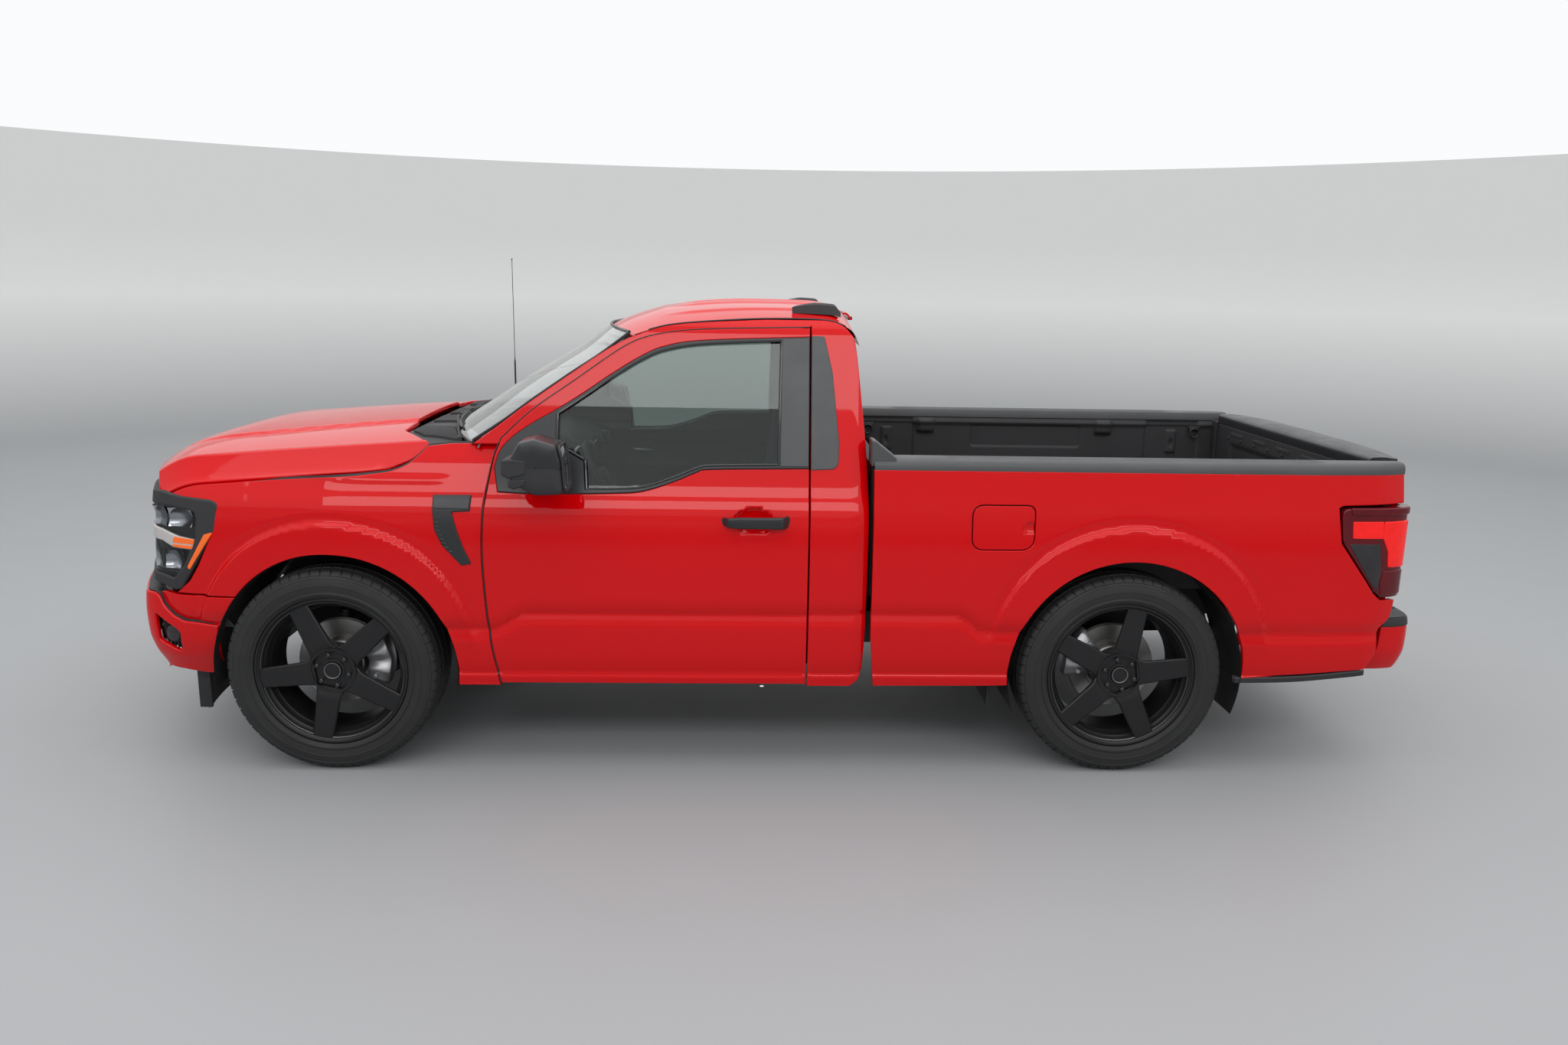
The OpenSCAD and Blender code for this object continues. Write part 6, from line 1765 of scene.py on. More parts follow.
def lugs(cx, side, turn):
    s, ring = Shape(), Shape()
    for i in range(LUGS):
        a = math.radians(360 / LUGS * i)
        centre = wheel_point(cx, side, turn + HUB_TURN, LUG_CIRCLE * math.cos(a), 0.0,
                             LUG_CIRCLE * math.sin(a))
        lathe(s, mm([(11.5, -22), (11.5, -17.5), (9.8, -17), (9.5, -4.5), (6.5, -1), (0.4, -0.5)], 0.0,
                    FACE_Y), centre, "y", side, 12)
    lathe(ring, mm([(33.5, -5.5), (32.5, -3.2), (30, -3.6), (29, -4.2)], 0.0, FACE_Y),
          wheel_point(cx, side, 0, 0.0, 0.0, 0.0), "y", side, 64)
    t = np.linspace(0, 2 * math.pi, 121)
    line = wheel_point(cx, side, 0, (RIM_R - 0.0195) * np.cos(t), np.full(121, 0.1192),
                       (RIM_R - 0.0195) * np.sin(t))
    tube(ring, line, 0.0011, 6, caps=False)
    return s, ring


def disc_shape(cx, side):
    s, r = Shape(), DISC_R
    centre = (cx, side * TYRE_Y, AXLE_Z)
    line = [(0.078, -0.034), (r - 0.002, -0.034), (r, -0.032), (r, -0.026), (r - 0.006, -0.025),
            (r - 0.006, -0.019), (r, -0.018), (r, -0.012), (r - 0.002, -0.010), (0.112, -0.010),
            (0.108, -0.013), (0.100, -0.013), (0.097, -0.008), (0.093, 0.022), (0.088, 0.026),
            (0.060, 0.027), (0.045, 0.030)]
    lathe(s, line, centre, "y", side, 96)
    return s


def caliper(cx, side, angle):
    """Brake caliper as an arc astride the disc, with two piston bulges and a bridge slot."""
    s, r = Shape(), DISC_R
    rows = []
    n = 27
    for k in range(n):
        q = k / (n - 1) * 2 - 1
        a = math.radians(angle + 33 * q)
        end = max(0.0, abs(q) - 0.86) / 0.14
        bulge = 0.012 * max(math.exp(-((q - 0.42) / 0.30) ** 2), math.exp(-((q + 0.42) / 0.30) ** 2))
        lo, hi, out_y = 0.108 + 0.018 * end, r + 0.030 - 0.012 * end ** 2, 0.026 + bulge * 1.4 - 0.010 * end
        section = [(lo + 0.006, out_y - 0.006), (lo + 0.016, out_y), (hi - 0.020, out_y - 0.002),
                   (hi - 0.006, out_y - 0.010), (hi, 0.006), (hi, -0.034), (hi - 0.008, -0.050),
                   (lo + 0.010, -0.054), (lo + 0.004, -0.046), (lo + 0.004, -0.038),
                   (r + 0.008, -0.038), (r + 0.008, -0.004), (lo + 0.004, -0.004)]
        rows.append([(q_r * math.cos(a), yy, q_r * math.sin(a)) for q_r, yy in section])
    g = np.array(rows)
    m = g.shape[1]
    v = wheel_point(cx, side, 0, g[..., 0], g[..., 1], g[..., 2])
    faces = ([f[::-1] for f in grid_faces(n, m, closed_v=True)]
             + [tuple(range(m)), tuple((n - 1) * m + j for j in range(m))[::-1]])
    add_turned(s, v, faces, side)
    for q in (-24, 24):
        a = math.radians(angle + q)
        c = wheel_point(cx, side, 0, 0.148 * math.cos(a), 0.0, 0.148 * math.sin(a))
        lathe(s, [(0.010, 0.022), (0.010, 0.046), (0.007, 0.049), (0.0005, 0.049)], c, "y", side, 24)
    return s


for cx, side, turn, tag in CORNERS:
    body = tag + "_wheel"
    tyre_shape(cx, side).piece("tyre_" + tag + "_tread", body, RUBBER, "rubber", ["tyre_" + tag])
    rim_shape(cx, side, turn).piece("rim_" + tag, body, ALLOY, "rim", ["wheel_" + tag], angle=28)
    nuts, bright = lugs(cx, side, turn)
    nuts.piece("lug_nuts_" + tag, body, GLOSS, "rim", angle=30)
    bright.piece("rim_bright_lines_" + tag, body, EDGE, "rim")
    disc_shape(cx, side).piece("brake_disc_" + tag, body, DISC, "steel", angle=30)
    if cx == FRONT_X:
        caliper(cx, side, 176).piece("caliper_" + tag, "knuckle_" + tag[6:], SILVER, "cast", angle=35)
    else:
        caliper(cx, side, 20).piece("caliper_" + tag, "truck", SILVER, "cast", angle=35)

# Front knuckles: kingpin, upright, hub carrier and steering arm
KING_Y = TYRE_Y - 0.070
for side, tag in HANDS:
    s = Shape()
    lo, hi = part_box("knuckle_" + tag)
    lathe(s, [(0.0005, lo.z), (0.016, lo.z + 0.001), (0.018, lo.z + 0.010), (0.018, lo.z + 0.040),
              (0.030, lo.z + 0.060), (0.032, hi.z - 0.10), (0.022, hi.z - 0.055), (0.018, hi.z - 0.045),
              (0.018, hi.z - 0.010), (0.014, hi.z - 0.001), (0.0005, hi.z)],
          (FRONT_X, side * KING_Y, 0), "z", 1, 32)
    lathe(s, [(0.0005, -0.098), (0.055, -0.098), (0.066, -0.090), (0.069, -0.070), (0.069, -0.050),
              (0.060, -0.044), (0.036, -0.043), (0.034, 0.050), (0.0005, 0.060)],
          (FRONT_X, side * TYRE_Y, AXLE_Z), "y", side, 48)
    arm = mm([(0, -36), (-100, -30), (-150, -40), (-150, -64), (-100, -70), (0, -72)], FRONT_X, AXLE_Z)
    solid(s, rounded(arm, 0.010), side_plane, side * (KING_Y - 0.032), side * (KING_Y - 0.014), 0.004)
    s.piece("knuckle_casting_" + tag, "knuckle_" + tag, CAST, "cast", ["knuckle_" + tag], angle=30)

# Arch liners: a skin over each wheel and a wall inboard of it
for side, tag in HANDS:
    s = Shape()
    for cx, inner, wall_low, low in ((front_arch_x, 0.44, 0.60, -8), (rear_arch_x, 0.665, 0.52, -20)):
        a = np.radians(np.linspace(low, 180 - low, 54))
        strips = []
        for yy in np.linspace(HALF_W - 0.034, inner, 8):
            wave = 0.0006 * np.cos(a * 40)
            r = ARCH_R - 0.003 + wave
            strips.append(np.stack([cx + r * np.cos(a), np.full(len(a), side * yy),
                                    np.minimum(AXLE_Z + r * np.sin(a), 0.99)], -1))
        sheet(s, strips, side=side, normals=False)
        wall = join(arc(cx, AXLE_Z, ARCH_R - 0.010, 196, -16, 6))
        wall = np.array([(x, max(z, wall_low)) for x, z in wall])
        keep = [wall[0]]
        for p in wall[1:]:
            if np.hypot(*(p - keep[-1])) > 0.004:
                keep.append(p)
        solid(s, keep, side_plane, side * inner, side * (inner + 0.004), 0.001)
    s.piece("arch_liners_" + tag, "truck", CHASSIS, "black_plastic", angle=40)

# ---------------------------------------------------------------- mirrors, handles, vents, cowl

MIRROR_X = DOOR_FRONT + 0.0008
CAP_SPLIT = 1.262


def mirror_glass_at(y, z):
    x = np.interp(z, [1.160, 1.286, 1.345], [MIRROR_X - 0.3475, MIRROR_X - 0.3400, MIRROR_X - 0.3250])
    return np.stack([x - 0.0005 - 0.003 * (1 - ((np.abs(y) - 1.125) / 0.08) ** 2), y, z], -1)


for side, tag in HANDS:
    body = "door_" + tag
    shell = resample(rounded([(MIRROR_X - a / 1000, z / 1000) for a,
                              z in ((148, 1283), (189, 1352), (242, 1365), (322, 1342), (338, 1286),
                                    (346, 1162), (240, 1158), (157, 1204))],
                             [0.022, 0.022, 0.022, 0.02, 0.02, 0.02, 0.02, 0.02]), 0.008)
    centre = np.array([MIRROR_X - 0.247, CAP_SPLIT])
    rings = [(1.036, 0.86), (1.040, 0.93), (1.050, 0.975), (1.064, 0.995), (1.110, 1.0), (1.180, 1.0),
             (1.194, 0.992), (1.204, 0.972), (1.2105, 0.938), (1.2140, 0.88), (1.2148, 0.5),
             (1.2152, 0.02)]
    lid = []
    for y, k in rings:
        p = centre + (shell - centre) * k
        lid.append(np.stack([p[:, 0], np.full(len(p), side * y), p[:, 1]], 1))
    lid = np.stack(lid)
    s = Shape()
    flip = side if signed_area(shell) > 0 else -side
    faces = grid_faces(len(rings), len(shell), closed_v=True)
    s.add(lid.reshape(-1, 3), facing(faces, flip < 0))
    s.add(lid[0], facing([tuple(range(len(shell)))], flip < 0))
    # Arm to the door, and its foot
    arm = rounded(mm([(-162, 1170), (-166, 1232), (-252, 1230), (-262, 1168)], MIRROR_X), 0.018)
    solid(s, arm, side_plane, side * 0.925, side * 1.06, 0.006)
    foot = rounded(mm([(-145, 1157), (-160, 1250), (-262, 1248), (-276, 1157)], MIRROR_X), 0.022)
    solid(s, foot, side_plane, side * 0.915, side * 0.962, 0.008)
    s.piece("mirror_housing_" + tag, body, PLASTIC, "black_plastic", ["mirror_" + tag], angle=40)
    # Cap over the upper half, standing just proud of the housing
    s = Shape()
    cap = []
    for y, k in rings[2:]:
        p = centre + (shell - centre) * (k * 1.012)
        top = p[:, 1] > CAP_SPLIT
        cap.append(np.stack([p[:, 0], np.full(len(p), side * (y + 0.0012)),
                             np.where(top, p[:, 1], CAP_SPLIT)], 1))
    cap = np.stack(cap)
    faces = grid_faces(len(rings) - 2, len(shell), closed_v=True)
    s.add(cap.reshape(-1, 3), facing(faces, flip < 0))
    s.piece("mirror_cap_" + tag, body, TRIM, "black_plastic", angle=40)
    s = Shape()
    for k, z in enumerate((1.188, 1.202, 1.216, 1.230)):
        xf = np.interp(z, [1.158, 1.204, 1.283], [MIRROR_X - 0.240, MIRROR_X - 0.157, MIRROR_X - 0.148])
        yy = np.linspace(1.062, 1.196, 12)
        tube(s, np.stack([np.full(12, xf + 0.001) - 0.022 * np.clip((yy - 1.17) / 0.03, 0, 1) ** 2,
                          side * yy, np.full(12, z)], 1), 0.0032, 6)
    s.piece("mirror_ribs_" + tag, body, GLOSS, "black_plastic")
    s = Shape()
    for step, deep in (([(150, 1294), (128, 1288), (125, 1236), (150, 1222), (216, 1238), (216, 1290)],
                        1.2185), ([(150, 1217), (149, 1192), (166, 1183), (213, 1197), (213, 1221)],
                                  1.2180)):
        line = rounded([(MIRROR_X - a / 1000, z / 1000) for a, z in step], 0.007)
        solid(s, line, side_plane, side * 1.085, side * deep, 0.005)
    s.piece("mirror_steps_" + tag, body, PLASTIC, "black_plastic", angle=40)
    s = Shape()
    glass = rounded([(side * 1.056, 1.176), (side * 1.196, 1.176), (side * 1.198, 1.335),
                     (side * 1.056, 1.335)], 0.022)
    panel(s, glass, mirror_glass_at, -1, step=0.02, roll=0.002, depth=0.006)
    rim = Shape()
    edge = shrunk(resample(glass, 0.008), -0.002)
    edge = np.vstack([edge, edge[:1]])
    tube(rim, mirror_glass_at(edge[:, 0], edge[:, 1]) - [0.002, 0, 0], 0.0055, 8, caps=False)
    rim.piece("mirror_bezel_" + tag, body, PLASTIC, "black_plastic")
    s.piece("mirror_glass_" + tag, body, MIRROR, "glass")

# Door handles: a bar with a thicker grip, over the cup in the door skin
for side, tag in HANDS:
    s = Shape()
    n = 36
    strips = []
    for k in range(n):
        q = k / (n - 1)
        x = HANDLE_REAR + (HANDLE_FRONT - HANDLE_REAR) * q
        skin = side_y(x, HANDLE_Z, "cab")
        e = min(q, 1 - q)
        out = 0.036 * float(smooth(e, 0.0, 0.12)) + 0.004 * math.sin(math.pi * q)
        half_z = 0.0165 + 0.0065 * float(smooth(e, 0.02, 0.30)) - 0.007 * (1 - float(smooth(e, 0, 0.03)))
        if q < 0.24:
            half_z = 0.0235 - 0.006 * (1 - float(smooth(q, 0, 0.03)))
        thick = 0.0085
        ring = []
        for a in np.linspace(0, 2 * math.pi, 21)[:-1]:
            cz, cy = math.sin(a), math.cos(a)
            ring.append((x, side * (float(skin) + out - 0.010
                                    + thick * math.copysign(abs(cy) ** 0.7, cy)),
                         HANDLE_Z + half_z * math.copysign(abs(cz) ** 0.6, cz)))
        strips.append(ring)
    v = np.array(strips)
    caps = [tuple(range(20))[::-1], tuple((n - 1) * 20 + j for j in range(20))]
    s.add(v.reshape(-1, 3), facing(grid_faces(n, 20, closed_v=True) + caps, side > 0))
    skin = float(side_y(HANDLE_REAR + 0.03, HANDLE_Z, "cab"))
    lathe(s, [(0.0095, 0.026), (0.0095, 0.0365), (0.0080, 0.0378), (0.0060, 0.0372), (0.0055, 0.0360),
              (0.0004, 0.0362)], (HANDLE_REAR + 0.032, side * skin, HANDLE_Z), "y", side, 24)
    s.piece("door_handle_" + tag, "door_" + tag, TRIM, "black_plastic", angle=40)
    # Side vent blade on the fender, with a blank badge block at its top
    s = Shape()
    vent = mm([(-418, 1116), (-418, 1060), (-425, 985), (-452, 925), (-524, 846), (-563, 853),
               (-532, 920), (-510, 985), (-492, 1052), (-560, 1056), (-565, 1117)], FRONT_X)
    vent = rounded(vent, [0.006, 0, 0.02, 0.03, 0.006, 0.006, 0.03, 0.03, 0.006, 0.005, 0.005])
    panel(s, vent, side_skin("front", side, 0.006), -side, step=0.012, roll=0.005, depth=0.012)
    badge = rounded(mm([(-424, 1066), (-558, 1064), (-559, 1110), (-424, 1109)], FRONT_X), 0.005)
    panel(s, badge, side_skin("front", side, 0.0095), -side, step=0.02, roll=0.002, depth=0.004)
    s.piece("fender_vent_" + tag, "truck", TRIM, "black_plastic")
    s = Shape()
    for k in range(9):
        z = 0.905 + 0.016 * k
        x_right = np.interp(z, [0.846, 0.925, 0.985, 1.06], [-0.524, -0.452, -0.425, -0.418])
        ends = np.array([(FRONT_X + x_right - 0.008, z), (FRONT_X + x_right - 0.024, z - 0.006)])
        q = side_skin("front", side, 0.0068)(ends[:, 0], ends[:, 1])
        tube(s, q, 0.0026, 6)
    s.piece("fender_vent_ribs_" + tag, "truck", GLOSS, "black_plastic")

# Cowl panel with two groups of raised slats a side, then the wipers
cowl_z = curve(mm([(-565, 1272), (-420, 1289), (-372, 1297), (-330, 1300), (-200, 1296)], FRONT_X))

COWL_HALF = 0.80


def cowl_skin(x, y):
    return np.stack([x, y, cowl_z(x) + 0.0015 - 0.020 * np.clip((np.abs(y) - 0.50) / 0.34, 0, 1) ** 2], -1)


def cowl_back(y):
    """Where the cowl panel ends under the windshield."""
    return FRONT_X - 0.555 + 0.200 * (1 - (abs(y) / COWL_HALF) ** 2)


front_edge = [(float(hood_rear(abs(v))) - 0.010, v) for v in np.linspace(-COWL_HALF, COWL_HALF, 41)]
back_edge = [(cowl_back(v), v) for v in np.linspace(COWL_HALF, -COWL_HALF, 33)]
cowl_line = join(front_edge, back_edge)
s = Shape()
panel(s, cowl_line, cowl_skin, 1, step=0.02, roll=0.003, depth=0.020)
for group, count, width in ((0.56, 15, 0.017), (0.16, 11, 0.017)):
    for sgn in SIDES:
        for k in range(count):
            y = sgn * (group + (k - count / 2) * width)
            xa, xb = float(hood_rear(abs(y))) - 0.035, cowl_back(y) + 0.030
            if xa - xb < 0.03:
                continue
            xs = np.linspace(xb, xa, 6)
            p = cowl_skin(xs, np.full(6, y)) + [0, 0, 0.003]
            strips = [p + [0, dy, dz] for dy, dz in ((-0.0050, -0.004), (-0.0038, 0.0060),
                                                     (0.0, 0.0078), (0.0038, 0.0060), (0.0050, -0.004))]
            sheet(s, strips, side=-1, normals=False)
s.piece("cowl_grille", "truck", PLASTIC, "black_plastic", ["cowl_panel"], angle=40)


def on_glass(y, u, out):
    """Place over the windshield that is y across and u of the way up it."""
    half = HALF_W - float(INSET["cab"](1.300 + u * 0.428)) - 0.030
    return shield(np.array(u), np.array(y / half), out)


s = Shape()
for pivot_y, tip_y in ((0.655, 0.06), (0.02, -0.60)):
    px = cowl_back(pivot_y) + 0.035
    base = cowl_skin(np.array(px), np.array(pivot_y))
    lathe(s, [(0.019, -0.004), (0.018, 0.012), (0.012, 0.018), (0.0005, 0.019)], base, "z", 1, 24)
    mid_y = (pivot_y + tip_y) / 2 - 0.02
    reach = [base + [0, 0, 0.014], base * 0.72 + on_glass(mid_y, 0.05, 0.030) * 0.28 + [0, 0, 0.012],
             on_glass(mid_y, 0.052, 0.026), on_glass(mid_y - 0.03, 0.052, 0.020)]
    tube(s, spline(reach, 8), 0.0062, 8)
    ys = np.linspace(pivot_y - 0.06, tip_y - 0.02, 24)
    blade = np.array([on_glass(y, 0.050, 0.010) for y in ys])
    tube(s, blade, [0.003] + [0.0065] * 22 + [0.003], 8)
    tube(s, np.array([on_glass(y, 0.050, 0.0015) for y in ys]), 0.0022, 6)
s.piece("wipers", "truck", CHASSIS, "black_plastic", angle=40)
# Antenna: base boot, thick lower mast, thin whip with a small ball
s = Shape()
alo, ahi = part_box("antenna")
ax, ay = (alo.x + ahi.x) / 2, (alo.y + ahi.y) / 2
lathe(s, [(0.0125, alo.z - 0.01), (0.0125, alo.z + 0.008), (0.0100, alo.z + 0.014),
          (0.0070, alo.z + 0.022), (0.0050, alo.z + 0.030), (0.0045, alo.z + 0.205),
          (0.0028, alo.z + 0.215), (0.0017, alo.z + 0.230), (0.0015, ahi.z - 0.008),
          (0.0032, ahi.z - 0.006), (0.0034, ahi.z - 0.003), (0.0020, ahi.z), (0.0002, ahi.z)],
      (ax, ay, 0), "z", 1, 20)
s.piece("antenna_mast", "truck", TRIM, "black_plastic", ["antenna"], angle=50)
# Sloped front ends of the bed rails
s = Shape()
for side in SIDES:
    wedge = rounded(mm([(12, -30), (12, 70), (-4, 66), (-85, 2), (-85, -30)], BED_FRONT, RAIL_Z), 0.006)
    solid(s, wedge, side_plane, side * 0.848, side * 0.957, 0.004)
s.piece("bed_rail_ends", "truck", CAP, "black_plastic")

# Black bead in the door's shut line: painted shade standing in for the dark gap
for side in SIDES:
    s = Shape()
    bead = resample(DOOR_LINE, 0.012, closed=False) + [0.0022, 0.0022]
    tube(s, side_skin("cab", side, -0.0012)(bead[:, 0], bead[:, 1]), 0.0028, 8, caps=False)
    s.piece("door_gap_shade_" + ("left" if side > 0 else "right"), "truck", GLOSS, "rubber")

# ---------------------------------------------------------------- cab inside

def pillow(shape, size, place, tilt=0.0, crown=0.25, power=5.0, seams=(), n=44):
    """Crowned cushion: size is its length, width and thickness; tilt turns it about y. seams are the
    places along its width, from -1 to 1, where stitching pulls it in."""
    lx, ly, lz = (v / 2 for v in size)
    w = np.linspace(-1, 1, n)
    w = np.sign(w) * (1 - (1 - np.abs(w)) ** 1.7)
    u, v = lattice(w, w)
    body = ((np.clip(1 - np.abs(u) ** power, 0, 1) ** (1 / power))
            * (np.clip(1 - np.abs(v) ** power, 0, 1) ** (1 / power)))
    dome = 1 + crown * (1 - u ** 2) * (1 - v ** 2)
    pull = sum((0.16 * np.exp(-(((v - q) / 0.030) ** 2)) for q in seams), 0 * u)
    pull = (pull + 0.13 * np.exp(-(((np.abs(u) - 0.80) / 0.035) ** 2)) * (np.abs(v) < 0.86)
            + 0.13 * np.exp(-(((np.abs(v) - 0.86) / 0.030) ** 2)) * (np.abs(u) < 0.82))
    wrinkle = 0.012 * np.sin(u * 9 + 2 * np.sin(v * 5)) * (1 - u ** 2)
    top = lz * body * (dome - pull + wrinkle)
    low = -lz * body * 0.7
    a = math.radians(tilt)
    for z, sgn in ((top, 1), (low, -1)):
        x, y = lx * u, ly * v
        p = np.stack([x * math.cos(a) - z * math.sin(a) + place[0], y + place[1], x * math.sin(a)
                      + z * math.cos(a) + place[2]], -1)
        shape.add(p.reshape(-1, 3), facing(grid_faces(n, n), sgn > 0))
    # Piping round the edge
    t = np.linspace(0, 2 * math.pi, 90)
    eu, ev = np.cos(t), np.sin(t)
    k = (np.abs(eu) ** power + np.abs(ev) ** power) ** (-1 / power)
    x, y = lx * eu * k * 0.998, ly * ev * k * 0.998
    tube(shape, np.stack([x * math.cos(a) + place[0], y + place[1], x * math.sin(a) + place[2]], 1),
         0.004, 6, caps=False)


seat_x = DOOR_REAR + 0.63
cushions, backs, rests = Shape(), Shape(), Shape()
for y, wide, seams in ((0.465, 0.545, (-0.45, 0.45)), (0.0, 0.365, ()), (-0.465, 0.545, (-0.45, 0.45))):
    pillow(cushions, (0.52, wide, 0.170), (seat_x - 0.255, y, 0.715), tilt=3.5, crown=0.22, seams=seams)
    pillow(backs, (0.62, wide, 0.150), (seat_x - 0.548, y, 1.075), tilt=98.5, crown=0.28, seams=seams)
s = cushions.piece("seat_cushions", "truck", CLOTH, "seat_cloth", ["seat"], angle=60)
s = backs.piece("seat_backs", "truck", CLOTH, "seat_cloth", angle=60)
for y in (0.370, -0.370):
    pillow(rests, (0.165, 0.255, 0.090), (seat_x - 0.600, y, 1.458), tilt=98, crown=0.2, power=4.0, n=30)
s = rests.piece("head_restraints", "truck", CLOTH, "seat_cloth", angle=60)
s = Shape()
for y in (0.370, -0.370):
    for d in (-0.06, 0.06):
        tube(s, [(seat_x - 0.580, y + d, 1.32), (seat_x - 0.596, y + d, 1.44)], 0.006, 12)
for y in (0.40, -0.40):
    block(s, (seat_x - 0.47, y - 0.23, 0.565), (seat_x - 0.03, y + 0.23, 0.650), 0.02)
    for d in (-0.19, 0.19):
        block(s, (seat_x - 0.50, y + d - 0.02, 0.552), (seat_x - 0.05, y + d + 0.02, 0.585), 0.006)
s.piece("seat_frames", "truck", VINYL, "interior")

# Door trims with armrest, pull, pocket and speaker
def trim_skin(side):
    def point(x, z):
        along_ = (smooth(x, DOOR_REAR + 0.10, DOOR_REAR + 0.24)
                  * (1 - smooth(x, DOOR_FRONT - 0.44, DOOR_FRONT - 0.30)))
        arm = 0.058 * np.exp(-(((z - 0.930) / 0.040) ** 4)) * along_
        shelf = 0.022 * smooth(z, 1.06, 1.10) * (1 - smooth(z, 1.14, 1.17))
        bin_ = (0.032 * smooth(z, 0.46, 0.50) * (1 - smooth(z, 0.64, 0.66))
                * smooth(x, DOOR_REAR + 0.16, DOOR_REAR + 0.24)
                * (1 - smooth(x, DOOR_FRONT - 0.30, DOOR_FRONT - 0.22)))
        speaker = 0.010 * (1 - smooth(np.hypot(x - DOOR_FRONT + 0.24, z - 0.66), 0.085, 0.092))
        y = side_y(x, z, "cab") - 0.070 - arm - shelf - bin_ - speaker + 0.030 * smooth(z, 1.17, 1.25)
        return np.stack([x, side * y, z], -1)
    return point


door_full = join([(DOOR_REAR, 0.366)], door_front_line, door_top_line[1:], [(DOOR_REAR, 1.722)])
trim_line = shrunk(resample(door_full, 0.02), 0.024)
for side, tag in HANDS:
    s = Shape()
    hole = shrunk(resample(GLASS_EDGE, 0.02), -0.006)
    panel(s, trim_line, trim_skin(side), side, step=0.016, roll=0.004, depth=0.020, holes=[hole])
    s.piece("door_trim_" + tag, "door_" + tag, VINYL, "interior")
    s = Shape()
    for k in range(9):
        z = 0.660 + 0.018 * (k - 4)
        half = math.sqrt(max(0.080 ** 2 - (z - 0.660) ** 2, 1e-6))
        xs = np.linspace(DOOR_FRONT - 0.24 - half, DOOR_FRONT - 0.24 + half, 9)
        q = trim_skin(side)(xs, np.full(9, z))
        tube(s, q - [0, side * 0.001, 0], 0.003, 6)
    y = float(side_y(DOOR_FRONT - 0.42, 1.02, "cab")) - 0.078
    tube(s, spline([(DOOR_FRONT - 0.50, side * y, 1.020),
                    (DOOR_FRONT - 0.49, side * (y - 0.022), 1.022),
                    (DOOR_FRONT - 0.42, side * (y - 0.024), 1.025),
                    (DOOR_FRONT - 0.40, side * y, 1.024)], 6), 0.007, 8)
    s.piece("door_trim_fittings_" + tag, "door_" + tag, SILVER, "interior")

# Cab trims: rear corners, rear wall and windshield pillars
s = Shape()
for side in SIDES:
    corner = rounded([(CAB_REAR + 0.075, 0.56), (DOOR_REAR - 0.004, 0.56), (DOOR_REAR - 0.004, 1.66),
                      (CAB_REAR + 0.110, 1.64), (CAB_REAR + 0.075, 1.2)], 0.02)
    panel(s, corner, side_skin("cab", side, -0.090), side, step=0.03, roll=0.004, depth=0.01)
    # Belt reel cover and belt guide on the pillar
    yb = float(side_y(DOOR_REAR - 0.06, 1.48, "cab")) - 0.100
    lathe(s, [(0.022, 0.0), (0.021, 0.010), (0.015, 0.014), (0.0005, 0.015)],
          (DOOR_REAR - 0.055, side * yb, 1.48), "y", -side, 24)
    strap = [(DOOR_REAR - 0.055, side * (yb - 0.016), 1.47), (DOOR_REAR - 0.050, side * 0.845, 1.10),
             (DOOR_REAR - 0.03, side * 0.865, 0.72)]
    line = np.array(spline(strap, 8))
    strips = [line + [-0.022, 0, 0], line + [0, -side * 0.0006, 0], line + [0.022, 0, 0]]
    sheet(s, strips, side=-side, thick=0.0015, normals=False)
rear_hole = rounded(rect(-rear_half - 0.01, back_lo - 0.012, rear_half + 0.01, back_hi + 0.012), 0.03)


def rear_trim(y, z):
    press = (0.012 * (1 - smooth(np.abs(np.abs(y) - 0.42), 0.26, 0.28)) * smooth(z, 0.64, 0.67)
             * (1 - smooth(z, 1.14, 1.17)))
    return np.stack([back_x(z) + 0.060 - press, y, z], -1)


half_at = 0.845
rear_line = rounded([(-half_at, 0.56), (half_at, 0.56), (half_at, 1.20), (0.765, 1.655),
                     (-0.765, 1.655), (-half_at, 1.20)], 0.02)
panel(s, rear_line, rear_trim, 1, step=0.03, roll=0.004, depth=0.012, holes=[rear_hole])
s.piece("cab_trim_rear", "truck", VINYL, "interior")
s = Shape()
uu, vv = lattice(np.linspace(0, 1, 24), np.linspace(0.915, 1.03, 6))
for side in SIDES:
    q = shield(uu, vv * side, -0.022)
    sheet(s, q, side=side)
uu, vv = lattice(np.linspace(0.92, 1.02, 5), np.linspace(-1, 1, 40))
sheet(s, shield(uu, vv, -0.016), side=1)
s.piece("windshield_pillar_trims", "truck", HEADLINER, "interior")

# Dashboard with its binnacle, screen, vents and glovebox
dash = spline(mm([(18, 1205), (-60, 1222), (-160, 1212), (-235, 1168), (-268, 1118), (-262, 1040),
                  (-245, 955), (-180, 845), (-118, 762), (-60, 742)], DOOR_FRONT), 6)
dash = np.array(dash)
strips = []
for y in np.linspace(-0.808, 0.808, 121):
    round_end = 0.030 * np.clip((abs(y) - 0.75) / 0.058, 0, 1) ** 2
    hood_up = 0.052 * math.exp(-(((y - 0.37) / 0.185) ** 6))
    centre_out = 0.020 * math.exp(-((y / 0.20) ** 6))
    q = dash.copy()
    up = smooth(q[:, 1], 1.13, 1.20)
    q[:, 1] += hood_up * up * smooth(DOOR_FRONT - q[:, 0], 0.06, 0.16)
    q[:, 0] -= (centre_out + hood_up * 0.5) * smooth(q[:, 1], 0.95, 1.05) - round_end
    dent = 0.010 * math.exp(-(((y + 0.43) / 0.25) ** 8)) * np.exp(-(((q[:, 1] - 0.905) / 0.062) ** 8))
    q[:, 0] += dent
    strips.append(np.stack([q[:, 0], np.full(len(q), y), q[:, 1]], 1))
s = Shape()
sheet(s, strips, side=1, normals=False)
for row, flip in ((strips[0], 1), (strips[-1], -1)):
    s.add(row, [tuple(range(len(row)))[::flip]])
